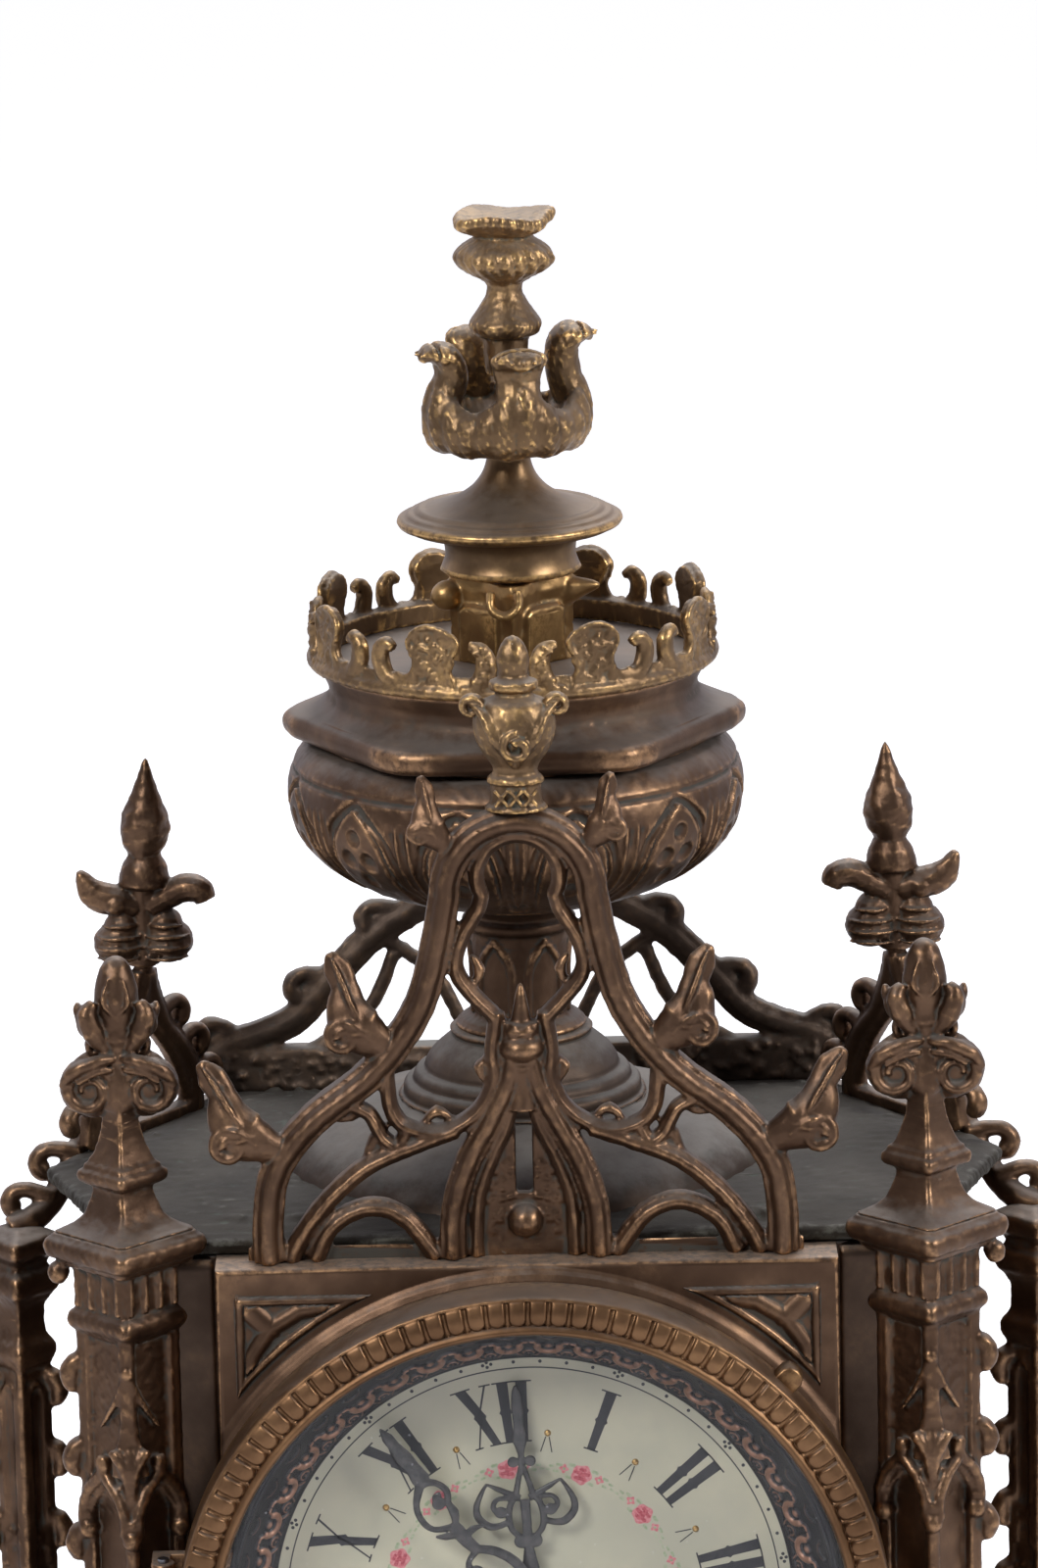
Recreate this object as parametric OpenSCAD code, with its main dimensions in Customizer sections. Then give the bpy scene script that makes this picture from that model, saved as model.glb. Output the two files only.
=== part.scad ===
// Gothic revival table clock in patinated bronze: a six-sided case under a tower spire.
// +Z is up, the dial faces -Y, and the origin is the middle of the footprint on the table.

/* [Case] */
// Height of the dial's centre above the table
dial_z = 262; // [250:1:280]
// Distance of the front block's face ahead of the axis
front_y = 60; // [59:0.5:62]
// Half width of the front block
block_x = 55.8; // [54:0.1:57]
// Half height of the front block about the dial's centre
block_h = 66.5; // [66:0.5:72]
// Thickness of the front block
block_t = 10; // [9:0.5:11]
// Half spacing of the two front columns
col_x = 72.2; // [71.5:0.1:76]
// Distance of the front columns ahead of the axis
col_y = 51; // [49:0.5:52]
// Half spacing of the two outer columns
outer_x = 95; // [93:1:104]
// Half diagonal of an outer column beside the upper storey
outer_r = 5.4; // [5:0.1:6]
// Half width of the upper storey between the free outer columns
upper_x = 81; // [79:0.5:82]
// Half spacing of the two rear columns
rear_x = 58; // [54:1:64]
// Distance of the rear columns behind the axis
rear_y = 51; // [48:1:58]
// Thickness of the cast walls
wall = 3; // [2.5:0.1:4]
// Half diagonal of a column's square shaft
shaft_r = 9.5; // [8.5:0.1:10]
// Half diagonal of a front column's cap
cap_r = 15.3; // [14:0.1:16]

/* [Base] */
// Height of the feet
foot_h = 12; // [8:1:20]
// Radius of a foot
foot_r = 13; // [10:0.5:15]
// Height of the plinth
plinth_h = 36; // [30:1:44]
// Reach of the plinth's lowest step past the column centres
plinth_out = 30; // [26:1:36]

/* [Bezel and dial] */
// Outer radius of the ribbed bezel
bezel_r = 64.5; // [63:0.5:65]
// Inner radius of the ribbed bezel
bezel_in = 57; // [55:0.5:58]
// Depth of the bezel from back to front
bezel_t = 12.5; // [11:0.5:14]
// Radius of the dial plate
dial_r = 50.5; // [49:0.5:51]
// Radius of the dial that shows inside the filigree ring
sight_r = 47; // [45:0.5:48]
// Thickness of the dial plate
dial_t = 1.5; // [1:0.1:2]
// Thickness of the glass
glass_t = 1.5; // [1:0.1:2.4]
// Turn of the dial plate in its seat, anticlockwise
dial_turn = 9.5; // [-15:0.5:15]
// Height of the bezel's moving hinge knuckle
knuckle_h = 18; // [10:1:24]
// Radius of the bezel's hinge knuckles
knuckle_r = 2.2; // [2:0.1:2.5]
// Radius of the hinge pins
hinge_pin_r = 1; // [0.8:0.1:1.2]

/* [Hands] */
// Length of the hour hand
hour_len = 41; // [34:0.5:42]
// Length of the minute hand
minute_len = 44; // [40:0.5:45]
// Thickness of the hands
hand_t = 0.7; // [0.5:0.1:1]
// Turn of the hour hand from upright, clockwise
hour_turn = -3.5; // [-180:0.5:180]
// Turn of the minute hand from upright, clockwise
minute_turn = -37.5; // [-180:0.5:180]

/* [Tower] */
// Radius of the urn
urn_r = 42; // [38:0.5:46]
// Height of the urn
urn_h = 31; // [28:0.5:36]
// Radius of the neck column
neck_r = 9.5; // [8:0.5:11]
// Height of the neck column
neck_h = 24; // [20:0.5:30]
// Radius of the stepped dome
dome_r = 22; // [19:0.5:26]
// Height of the stepped dome
dome_h = 13; // [11:0.5:16]
// Rise of the curved roof above the eaves
roof_h = 15.5; // [12:0.5:20]
// Half width of the hexagonal plate across its corners
plate_r = 43.5; // [42:0.5:48]
// Outer radius of the crown gallery
crown_r = 37.3; // [35:0.1:39]
// Height of the crown gallery to its peaks
crown_h = 13.5; // [10:0.5:16]
// Radius of the saucer
saucer_r = 20.7; // [18:0.1:24]
// Radius of the leaf cup
cup_r = 16; // [13:0.5:18]
// Radius of the cap on the very top
top_r = 9.5; // [8:0.5:11]
// Radius of the rod that ties the tower together
rod_r = 1.5; // [1.2:0.1:2]

/* [Gables] */
// Thickness of the front gable's tracery
gable_t = 5; // [4:0.5:5.5]
// Width of the front gable's main rib
rib_w = 5.6; // [4.5:0.1:6.5]
// Width of the thin tracery ribs
thin_w = 2.6; // [2:0.1:3]
// Inward lean of the side gables
side_lean = 3; // [0:1:9]

/* [Movement] */
// Spacing between the two movement plates
plate_gap = 26; // [26:0.5:28]
// Thickness of a movement plate
plate_t = 2; // [1.5:0.1:2.5]
// Half width of a movement plate
plate_x = 36; // [33:1:40]
// Radius of the arbors
arbor_r = 1; // [0.8:0.05:1.2]
// Module of the train's teeth
train_m = 0.6; // [0.6:0.01:0.62]
// Teeth of the barrel's wheel
barrel_teeth = 96; // [90:2:96]
// Length of the pendulum from its pivot to its bob
pendulum_len = 185; // [150:5:190]
// Radius of the pendulum's bob
bob_r = 15; // [10:1:18]
// Radius of the bell
bell_r = 24; // [20:1:26]

/* [Back door] */
// Width of the back door
door_w = 76; // [60:1:84]
// Height of the back door
door_h = 96; // [80:1:104]

/* [Hidden] */
$fn = 48;
running = 0.05;
fit = 0.1;
clear = 0.3;

plinth_top = foot_h + plinth_h;
eaves_z = dial_z + block_h;
storey_z = dial_z - block_h;
dial_y = -front_y + 7.5;
ring_r = bezel_in - 1;
ring_step_y = dial_y - 3;
bezel_back = -front_y - 2.5;
bezel_front = bezel_back - bezel_t;
hinge_x = -bezel_r - 2;
hinge_y = bezel_back - 4;
glass_y = bezel_back - 4;
front_plate_y = -front_y + 14;
back_plate_y = front_plate_y + plate_t + plate_gap;
dome_z = eaves_z + roof_h;
neck_z = dome_z + dome_h;
urn_z = neck_z + neck_h;
plate_z = urn_z + urn_h + 1;
crown_z = plate_z + 13.6;
turret_z = plate_z + 11.6;
turret_h = 18.4;
saucer_z = turret_z + turret_h;
saucer_h = 22.5;
cup_z = saucer_z + saucer_h;
cup_h = 14;
cap_z = cup_z + cup_h;
front_cap_z = eaves_z + 5.5;
front_roll_z = front_cap_z - 18;
outer_cap_z = dial_z + 58;
outer_roll_z = outer_cap_z - 26;
outer_head_r = outer_r + 3.6;
rear_roll_z = eaves_z - 8;
rear_head_r = shaft_r + 3;

bronze = [0.42, 0.29, 0.19];
dark_bronze = [0.30, 0.21, 0.15];
gilt = [0.60, 0.42, 0.22];
brass = [0.78, 0.62, 0.32];
steel = [0.45, 0.46, 0.48];
ivory = [0.88, 0.88, 0.76];

// Corners of the plan, anticlockwise from the front left column.
plan = [[-col_x, -col_y], [col_x, -col_y], [outer_x, 0], [rear_x, rear_y],
        [-rear_x, rear_y], [-outer_x, 0]];
// The upper storey is narrower, and leaves its two outer columns free.
upper_plan = [plan[0], plan[1], [upper_x, 0], plan[3], plan[4], [-upper_x, 0]];

function unit(v) = v / norm(v);
function out_normal(a, b) = unit([b[1] - a[1], a[0] - b[0]]);
function inset(p, d) = [
    for (i = [0:len(p) - 1])
        let (n = len(p),
             n1 = out_normal(p[(i + n - 1) % n], p[i]),
             n2 = out_normal(p[i], p[(i + 1) % n]))
        p[i] - d * (n1 + n2) / (1 + n1 * n2)
];
function flip(p) = [for (q = p) [-q[0], q[1]]];
function back(p) = [for (i = [len(p) - 1:-1:0]) p[i]];

// A smooth curve through a few points.
function spline_at(a, b, c, d, t) =
    0.5 * (2 * b + (c - a) * t + (2 * a - 5 * b + 4 * c - d) * t * t
    + (3 * b - a - 3 * c + d) * t * t * t);
function smooth(p, n = 4) = [
    for (i = [0:len(p) - 2])
        for (j = [0:n - 1])
            spline_at(p[max(i - 1, 0)], p[i], p[i + 1], p[min(i + 2, len(p) - 1)], j / n),
    p[len(p) - 1]
];
function arc(c, r, a, b, n = 8) = [
    for (i = [0:n]) c + r * [cos(a + (b - a) * i / n), sin(a + (b - a) * i / n)]
];

// A band of width w along a run of points.
function side(p, w) = [
    for (i = [0:len(p) - 1])
        let (d = unit(p[min(i + 1, len(p) - 1)] - p[max(i - 1, 0)]))
        p[i] + w / 2 * [-d[1], d[0]]
];
module band(p, w) {
    polygon(concat(side(p, w), back(side(p, -w))));
}

// A flat casting standing in the XZ plane, its front face at y and its thickness to the rear.
module upright(y, t) {
    translate([0, y + t, 0])
        rotate([90, 0, 0])
            linear_extrude(t)
                children();
}

// A rolled rib: a full width web with a narrower roll proud of it front and back.
module rib(p, w, y, t) {
    upright(y + t * 0.18, t * 0.64) band(p, w);
    upright(y, t) band(p, w * 0.55);
}

// A turned form about the dial's axis, its profile given as [radius, y].
module dial_turned(profile) {
    translate([0, 0, dial_z])
        rotate([-90, 0, 0])
            rotate_extrude($fn = 96)
                polygon(profile);
}

// A disc or shaft along Y at a place in the movement.
module shaft(x, z, r, y0, y1) {
    translate([x, y0, z])
        rotate([-90, 0, 0])
            cylinder(r = r, h = y1 - y0, $fn = 32);
}

// A square turned form with its corners to the front and sides.
module square_turned(profile) {
    rotate_extrude($fn = 4)
        polygon(profile);
}

module prism(p, z, h) {
    translate([0, 0, z])
        linear_extrude(h)
            polygon(p);
}

// Base

foot_places = [[-col_x, -col_y], [col_x, -col_y], [rear_x, rear_y], [-rear_x, rear_y]];

module foot(i) {
    color(bronze)
        translate([foot_places[i][0], foot_places[i][1], 0])
            rotate_extrude($fn = 48)
                polygon([[0, 0], [foot_r * 0.7, 0], [foot_r * 0.95, 2], [foot_r, foot_h * 0.4],
                         [foot_r * 0.85, foot_h * 0.65], [foot_r * 0.6, foot_h * 0.8],
                         [foot_r * 0.75, foot_h], [0, foot_h]]);
}

module plinth() {
    steps = [[plinth_out, 0, 0.22], [plinth_out - 4, 0.22, 0.12], [plinth_out - 6, 0.34, 0.36],
             [plinth_out - 3, 0.70, 0.12], [plinth_out - 9, 0.82, 0.18]];
    color(bronze)
        difference() {
            union() {
                for (s = steps)
                    prism(inset(plan, -s[0]), foot_h + s[1] * plinth_h, s[2] * plinth_h);
            }
            difference() {
                prism(inset(plan, wall - plinth_out + 9), foot_h - 1, plinth_h - 3);
                for (p = foot_places)
                    translate([p[0], p[1], foot_h])
                        cylinder(r = foot_r, h = plinth_h);
            }
            prism(inset(plan, 12), plinth_top - 5, 6);
        }
}

// Walls

// A pointed arch outline standing on the origin.
module lancet(w, h) {
    rise = w * 0.87;
    polygon(concat([[-w / 2, 0], [w / 2, 0]],
                   arc([-w / 2, h - rise], w, 0, 60, 5),
                   arc([w / 2, h - rise], w, 120, 180, 5)));
}

// Places on one face of the plan: the origin at the face's middle, X along it, -Y outward.
module on_face(i, p = plan) {
    a = p[i];
    b = p[(i + 1) % 6];
    d = unit(b - a);
    translate([(a[0] + b[0]) / 2, (a[1] + b[1]) / 2, 0])
        rotate([0, 0, atan2(d[1], d[0])])
            children();
}

function face_len(i, p = plan) = norm(p[(i + 1) % 6] - p[i]);

module column_seats(z, h, r = shaft_r) {
    for (p = plan)
        translate([p[0], p[1], z])
            cylinder(r = r + fit, h = h, $fn = 4);
}

// The hollow inside the walls, less the sleeves that back the columns.
module room(t, z, h, p = plan) {
    difference() {
        prism(inset(p, t), z, h);
        for (p = plan)
            translate([p[0], p[1], z - 1])
                cylinder(r = cap_r + 2.5, h = h + 2, $fn = 4);
    }
}

module lower_case() {
    h = storey_z - plinth_top;
    lancet_h = h - 34;
    color(bronze)
        difference() {
            union() {
                prism(plan, plinth_top, h);
                prism(inset(plan, -3), storey_z - 10, 10);
                prism(inset(plan, -3), plinth_top, 6);
            }
            room(wall + 2, plinth_top - 1, h - 3);
            room(wall + 2, storey_z - 5, 6, upper_plan);
            column_seats(plinth_top - 1, h + 2);
            column_seats(plinth_top - 1, column_base_h + 1 + fit, cap_r);
            for (i = [0:5]) {
                count = i == 0 ? 5 : i == 3 ? 4 : 2;
                pitch = (face_len(i) - 2 * shaft_r - 4) / count;
                on_face(i)
                    for (k = [0:count - 1])
                        translate([(k - (count - 1) / 2) * pitch, 0, plinth_top + 14])
                            upright(-1, 2.6)
                                lancet(pitch - 4, lancet_h);
            }
        }
}

module upper_case() {
    color(bronze)
        difference() {
            prism(upper_plan, storey_z, 2 * block_h);
            room(wall, storey_z - 1, 2 * block_h + 2, upper_plan);
            column_seats(storey_z - 1, 2 * block_h + 2);
            for (c = [[0, front_roll_z, eaves_z, cap_r], [1, front_roll_z, eaves_z, cap_r],
                      [3, rear_roll_z, eaves_z, rear_head_r],
                      [4, rear_roll_z, eaves_z, rear_head_r]])
                translate([plan[c[0]][0], plan[c[0]][1], c[1] - fit])
                    cylinder(r = c[3] + fit, h = c[2] - c[1] + 2 * fit, $fn = 4);
            translate([-block_x - fit, -front_y - 1, storey_z - 1])
                cube([2 * (block_x + fit), block_t + 1 + fit, 2 * block_h + 2]);
            translate([-opening_x, -front_y, dial_z - block_h + 6])
                cube([2 * opening_x, block_t + wall + 2, 2 * block_h - 12]);
            translate([-door_w / 2, rear_y - wall - 1, dial_z - door_h / 2])
                cube([door_w, wall + 2, door_h]);
            for (i = [1, 2, 4, 5])
                on_face(i, upper_plan)
                    for (s = [-1, 1])
                        translate([s * face_len(i, upper_plan) * 0.16, 0, storey_z + 18])
                            upright(-1, 2.4)
                                lancet(face_len(i, upper_plan) * 0.24, 2 * block_h - 40);
            for (s = [-1, 1])
                translate([door_pin_x, rear_y, dial_z + s * (door_h / 2 + 3.5)])
                    cylinder(r = hinge_pin_r, h = 8, center = true, $fn = 28);
        }
}

// Half width of the opening behind the front block.
opening_x = sight_r - 1;

// Spandrel panel: a raised three-cornered border with one leaf in it.
module spandrel(s) {
    a = block_x - 4;
    t = block_h - 3.5;
    outer = [[a - 21, t], [a, t], [a, t - 22]];
    inner = [[a - 15.5, t - 2], [a - 2, t - 2], [a - 2, t - 16]];
    scale([s, 1, 1]) {
        upright(-front_y - 1, 1.2)
            difference() {
                polygon(outer);
                polygon(inner);
            }
        upright(-front_y - 0.8, 1)
            polygon([[a - 11, t - 4], [a - 6, t - 3.4], [a - 3.4, t - 4], [a - 4, t - 8],
                     [a - 5.5, t - 11], [a - 7, t - 7]]);
    }
}

// Screws that fix the movement to the block, outside the filigree ring.
screw_x = plate_x - 4;
screw_z = ring_r - 3;
screw_places = [for (z = [-screw_z, screw_z]) for (x = [-screw_x, screw_x]) [x, z]];

module front_block() {
    lug_z = knuckle_h / 2 + clear;
    lug_h = 5;
    color(bronze)
        difference() {
            union() {
                translate([-block_x, -front_y, storey_z])
                    cube([2 * block_x, block_t, 2 * block_h]);
                intersection() {
                    dial_turned([[57.5, -front_y + 1], [57.5, -front_y - 1.4],
                                 [59.5, -front_y - 2], [61.5, -front_y - 1.2],
                                 [63, -front_y - 1.6], [65.8, -front_y - 0.6],
                                 [65.8, -front_y + 1]]);
                    translate([-block_x, -front_y - 3, storey_z])
                        cube([2 * block_x, 5, 2 * block_h]);
                }
                translate([0, 0, dial_z])
                    for (s = [-1, 1])
                        spandrel(s);
                for (p = screw_places)
                    shaft(p[0], dial_z + p[1], 4, -front_y + block_t, front_plate_y);
                for (z = [lug_z, -lug_z - lug_h]) {
                    translate([hinge_x - knuckle_r, -front_y - 2, dial_z + z])
                        cube([-hinge_x + knuckle_r - block_x + 4, 2, lug_h]);
                    translate([hinge_x - knuckle_r, hinge_y, dial_z + z])
                        cube([knuckle_r * 1.55, -hinge_y - front_y, lug_h]);
                    translate([hinge_x, hinge_y, dial_z + z])
                        cylinder(r = knuckle_r, h = lug_h, $fn = 32);
                }
            }
            dial_turned([[0, -front_y - 4], [ring_r + clear, -front_y - 4],
                         [ring_r + clear, ring_step_y], [dial_r + clear, ring_step_y],
                         [dial_r + clear, dial_y + dial_t], [sight_r - 1, dial_y + dial_t],
                         [sight_r - 1, 0], [0, 0]]);
            translate([hinge_x, hinge_y, dial_z - 20])
                cylinder(r = hinge_pin_r, h = 40, $fn = 32);
            for (p = screw_places)
                shaft(p[0], dial_z + p[1], 1.5, -front_y + 2, front_plate_y + 1);
        }
}

// Columns

module shaft_body(z0, z1, r) {
    h = z1 - z0;
    groove = r * 0.16;
    difference() {
        translate([0, 0, z0])
            cylinder(r = r, h = h, $fn = 4);
        for (a = [0:90:270])
            rotate([0, 0, a + 45])
                for (k = [0.12, 0.56])
                    translate([r * 0.707 - groove, -r * 0.38, z0 + 10 + k * (h - 20)])
                        cube([groove + 1, r * 0.76, (h - 20) * 0.34]);
    }
}

column_base_h = 12;

module column_base(z) {
    translate([0, 0, z])
        square_turned([[0, 0], [cap_r, 0], [cap_r, 4], [shaft_r + 3, 6], [shaft_r + 3, 9],
                       [shaft_r, column_base_h], [0, column_base_h]]);
}

// Leaf bumps along an edge that faces out from the case.
module edge_bumps(z, count, pitch, a, r = shaft_r) {
    rotate([0, 0, a])
        for (k = [0:count - 1])
            translate([r - 0.6, 0, z - k * pitch])
                rotate([90, 0, 0])
                    cylinder(r = 2.6, h = 2.4, center = true, $fn = 24);
}

module front_column(s) {
    color(bronze)
        translate([s * col_x, -col_y, 0]) {
            column_base(plinth_top);
            shaft_body(plinth_top + column_base_h, front_roll_z, shaft_r);
            translate([0, 0, front_roll_z])
                square_turned([[0, 0], [shaft_r, 0], [shaft_r + 1.8, 1.2], [shaft_r + 1.8, 3],
                               [shaft_r + 0.3, 4.4], [shaft_r + 0.9, 11], [cap_r - 1.6, 12.6],
                               [cap_r, 14], [cap_r, 16.2], [cap_r - 1.4, 17.4],
                               [cap_r - 3, 18], [0, 18]]);
            edge_bumps(front_roll_z - 12, 8, 32, s > 0 ? 0 : 180);
            for (z = [dial_z + 17, dial_z - 60])
                niche_canopy(z);
        }
}

// A small ogee hood on the two front faces of a shaft, with its hanging balls.
module niche_canopy(z) {
    hood = concat([[0, 13]], smooth([[0.8, 10], [2.2, 6.5], [5.2, 3.5], [5.6, 0]], 3),
                  [[4, 0]], smooth([[3.8, 2.4], [1.4, 5], [0, 8.4]], 3));
    for (a = [-45, 45])
        rotate([0, 0, a])
            translate([0, 0, z])
                upright(-shaft_r * 0.707 - 1.6, 2)
                    union() {
                        polygon(hood);
                        polygon(flip(hood));
                    }
    for (x = [-1, 0, 1])
        translate([x * shaft_r * 0.88, -shaft_r * (1 - abs(x) * 0.88) - 0.2, z])
            sphere(r = 1.8, $fn = 20);
}

module outer_column(s) {
    color(bronze)
        translate([s * outer_x, 0, 0]) {
            column_base(plinth_top);
            shaft_body(plinth_top + column_base_h, storey_z, shaft_r);
            translate([0, 0, storey_z])
                square_turned([[0, 0], [shaft_r, 0], [shaft_r + 1.5, 1.5], [shaft_r + 1.5, 4],
                               [outer_r + 0.6, 9], [outer_r, 12], [0, 12]]);
            shaft_body(storey_z + 12, outer_roll_z, outer_r);
            translate([0, 0, outer_roll_z])
                square_turned([[0, 0], [outer_r, 0], [outer_r + 1.6, 1.5], [outer_r + 1.6, 3.5],
                               [outer_r - 0.4, 6], [outer_r - 0.4, 11], [outer_r + 2.6, 14.5],
                               [outer_r + 2.6, 17], [outer_r, 18.4], [outer_head_r, 22],
                               [outer_head_r, 24.4], [4, 26], [0, 26]]);
            edge_bumps(outer_roll_z - 10, 4, 22, 0, outer_r);
            edge_bumps(outer_roll_z - 10, 4, 22, 180, outer_r);
            edge_bumps(storey_z - 14, 4, 28, s > 0 ? 0 : 180);
        }
}

module rear_column(s) {
    color(bronze)
        translate([s * rear_x, rear_y, 0]) {
            column_base(plinth_top);
            shaft_body(plinth_top + column_base_h, rear_roll_z, shaft_r);
            translate([0, 0, rear_roll_z])
                square_turned([[0, 0], [shaft_r, 0], [rear_head_r, 3], [rear_head_r, 6],
                               [shaft_r + 1, 8], [0, 8]]);
        }
}

// A curled crocket: a stem, a round curl and a pointed leaf, its root at the origin.
module crocket(y, t, size) {
    upright(y, t) {
        polygon([[-0.16, -0.3] * size, [0.22, -0.3] * size, [0.5, 0.25] * size,
                 [0.16, 0.45] * size]);
        translate([0.34, 0.38] * size)
            circle(r = 0.34 * size, $fn = 20);
        polygon([[0.05, 0.45] * size, [0.62, 0.5] * size, [0.42, 0.85] * size,
                 [0.1, 1.3] * size, [0, 0.9] * size]);
    }
}

module pinnacle(s) {
    color(bronze)
        translate([s * col_x, -col_y, front_cap_z]) {
            square_turned([[0, 0], [11.4, 0], [8, 2.4], [5.6, 6], [5.4, 8.4], [8.2, 9.6],
                           [8.2, 11.6], [6.6, 13], [4.2, 17], [3, 21], [3, 25], [0, 25]]);
            for (x = [-5.6, 5.6])
                translate([x, 2.2, 29])
                    rotate([90, 0, 0])
                        cylinder(r = 5.2, h = 4.4, $fn = 32);
            translate([0, 0, 24])
                rotate_extrude($fn = 32)
                    polygon([[0, 0], [3, 0], [4.6, 5], [3, 10], [5.4, 13], [3.4, 16],
                             [4.8, 19], [3.6, 23], [1.2, 26], [0, 27]]);
            for (x = [-5, 5])
                translate([x, 0, 38])
                    sphere(r = 2.2, $fn = 20);
        }
}

// Front gable tracery, drawn as the right half and mirrored.
head_z = 133.9;
main_rib = concat(arc([0, head_z], 13.1, 90, 0),
                  smooth([[14.2, 127.4], [18.1, 113.4], [26.5, 101.6], [37.7, 92.6],
                          [44.3, 84], [46.1, 75], [46.1, block_h]]));
keyhole_rib = concat(arc([0, 137], 7.4, 90, -28),
                     smooth([[7.2, 131], [10.8, 124.5], [10.9, 118.5], [4.6, 111]]));
mouchette_rib = smooth([[4.2, 112], [5.2, 105], [5, 99.7], [8, 93.7], [14.3, 90],
                        [20.5, 90.8], [23.6, 94.5], [24.4, 103]]);
ogee_rib = smooth([[0.6, 110], [2.4, 100], [6, 92], [10, 84.5], [12.7, 76], [13.2, block_h]]);
side_rib = smooth([[12, 90.4], [20, 87.5], [28, 84], [35, 78], [40, 71.5], [42.5, block_h]]);
arch_rib = smooth([[38, block_h], [34.6, 73], [28, 76.2], [21.6, 74], [16, block_h]]);
cusp_rib = smooth([[24, 86], [27.5, 89.5], [33, 86.5]]);
gable_y = -front_y + 3;
// Each crocket's place on the main rib, its tilt and its size.
ear_places = [[13.5, 138.5, 0, 9.5], [26.5, 103.5, 12, 12], [45.5, 86, 22, 11]];

module front_gable() {
    color(bronze)
        translate([0, 0, dial_z])
            difference() {
                for (s = [-1, 1])
                    scale([s, 1, 1])
                        gable_half();
                translate([-block_x, gable_y - 2, block_h - 5])
                    cube([2 * block_x, gable_t + 4, 5]);
            }
}

module gable_half() {
    rib(main_rib, rib_w, gable_y, gable_t);
    rib(keyhole_rib, thin_w, gable_y + 0.5, gable_t - 1);
    rib(mouchette_rib, thin_w, gable_y + 0.5, gable_t - 1);
    rib(ogee_rib, thin_w + 1, gable_y, gable_t);
    rib(side_rib, thin_w, gable_y + 0.5, gable_t - 1);
    rib(arch_rib, thin_w, gable_y + 0.5, gable_t - 1);
    rib(cusp_rib, thin_w - 0.6, gable_y + 1, gable_t - 2);
    upright(gable_y + gable_t - 1.8, 1.2)
        polygon(concat([[1.6, block_h], [1.6, 90]], [for (p = ogee_rib) if (p[1] < 91) p]));
    upright(gable_y + gable_t - 1.8, 1.2)
        polygon([[0, block_h], [2, block_h], [2, 77], [0, 77]]);
    for (e = ear_places)
        translate([e[0], 0, e[1]])
            rotate([0, e[2], 0])
                translate([2.2, 0, 0])
                    crocket(gable_y + 0.8, gable_t - 1.6, e[3]);
    translate([0, gable_y + gable_t - 1.8, 73])
        sphere(r = 3.1, $fn = 28);
    translate([0, gable_y + gable_t / 2, 105.5]) {
        sphere(r = 3.4, $fn = 28);
        translate([0, 0, 2.6])
            cylinder(r1 = 2.4, r2 = 0.4, h = 8.5, $fn = 24);
    }
}

module gable_finial() {
    base = dial_z + head_z + 13.1 + rib_w / 2;
    mid_y = gable_y + gable_t / 2;
    color(gilt)
        translate([0, mid_y, base - 0.05]) {
            difference() {
                rotate_extrude($fn = 36)
                    polygon([[0, -1], [5, -1], [4, 4], [4.6, 5], [3.4, 6.4], [5.6, 9],
                             [7.2, 13.5], [7, 17], [5.6, 18], [6.2, 19.4], [3.4, 21],
                             [2.6, 23], [3.4, 25], [2.2, 29], [0.6, 31], [0, 31]]);
                translate([0, gable_t, 0])
                    rotate([90, 0, 0])
                        translate([0, -rib_w / 2 - 13.1 + 0.05, 0])
                            cylinder(r = 13.1 + rib_w / 2 + 0.02, h = 4 * gable_t, center = true,
                                     $fn = 96);
            }
            for (s = [-1, 1])
                scale([s, 1, 1])
                    translate([5.4, 0, 14])
                        crocket(-1.5, 3, 5);
        }
}

// A plain ogee gable with curled crockets, half span w and rise h, standing on z = 0.
function ogee_gable(w, h) = smooth([[0.5, h], [w * 0.1, h * 0.86], [w * 0.34, h * 0.62],
                                    [w * 0.66, h * 0.44], [w * 0.86, h * 0.24], [w * 0.9, 0.6]]);

side_rise = 31;
side_t = 4;
side_seat_z = eaves_z + 3.3 + side_t * sin(side_lean);
side_half = norm([outer_x - rear_x, rear_y]) / 2 - shaft_r - 5;

module side_gable(s) {
    path = ogee_gable(side_half, side_rise);
    color(bronze)
        scale([s, 1, 1])
            on_face(2)
                translate([0, 3.4, side_seat_z])
                    rotate([-side_lean, 0, 0]) {
                        for (m = [-1, 1])
                            scale([m, 1, 1]) {
                                rib(path, 4.4, 0, side_t);
                                rib(smooth([[side_half * 0.84, 1.2], [side_half * 0.5, 13],
                                            [0.2, 22]]), 2.4, 0.6, 2.8);
                                for (k = [6, 11, 16])
                                    translate([path[k][0], 0, path[k][1]])
                                        rotate([0, 34, 0])
                                            translate([1.4, 0, 0])
                                                crocket(0.7, 2.6, 5.2);
                            }
                        upright(0.6, 2.8)
                            band([[0, 20], [0, side_rise + 2]], 3);
                        translate([-side_half, 0, 0])
                            cube([2 * side_half, side_t, 2.4]);
                    }
}

module side_finial(s) {
    color(bronze)
        scale([s, 1, 1])
            on_face(2)
                translate([0, 3.4, side_seat_z])
                    rotate([-side_lean, 0, 0])
                        translate([0, 2, side_rise + 2]) {
                            rotate_extrude($fn = 32)
                                polygon([[0, 0], [2.2, 0], [2.6, 4], [4.4, 6], [4.4, 9],
                                         [3, 11], [3.4, 15], [2.6, 17], [4, 20], [2.6, 22],
                                         [4.6, 26], [4.2, 30], [2, 35], [0, 40]]);
                            for (m = [-1, 1])
                                scale([m, 1, 1]) {
                                    translate([3.6, 0, 5])
                                        sphere(r = 4.2, $fn = 24);
                                    translate([3, -1.6, 14])
                                        crocket(0, 3.2, 6.6);
                                }
                        }
}

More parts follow.
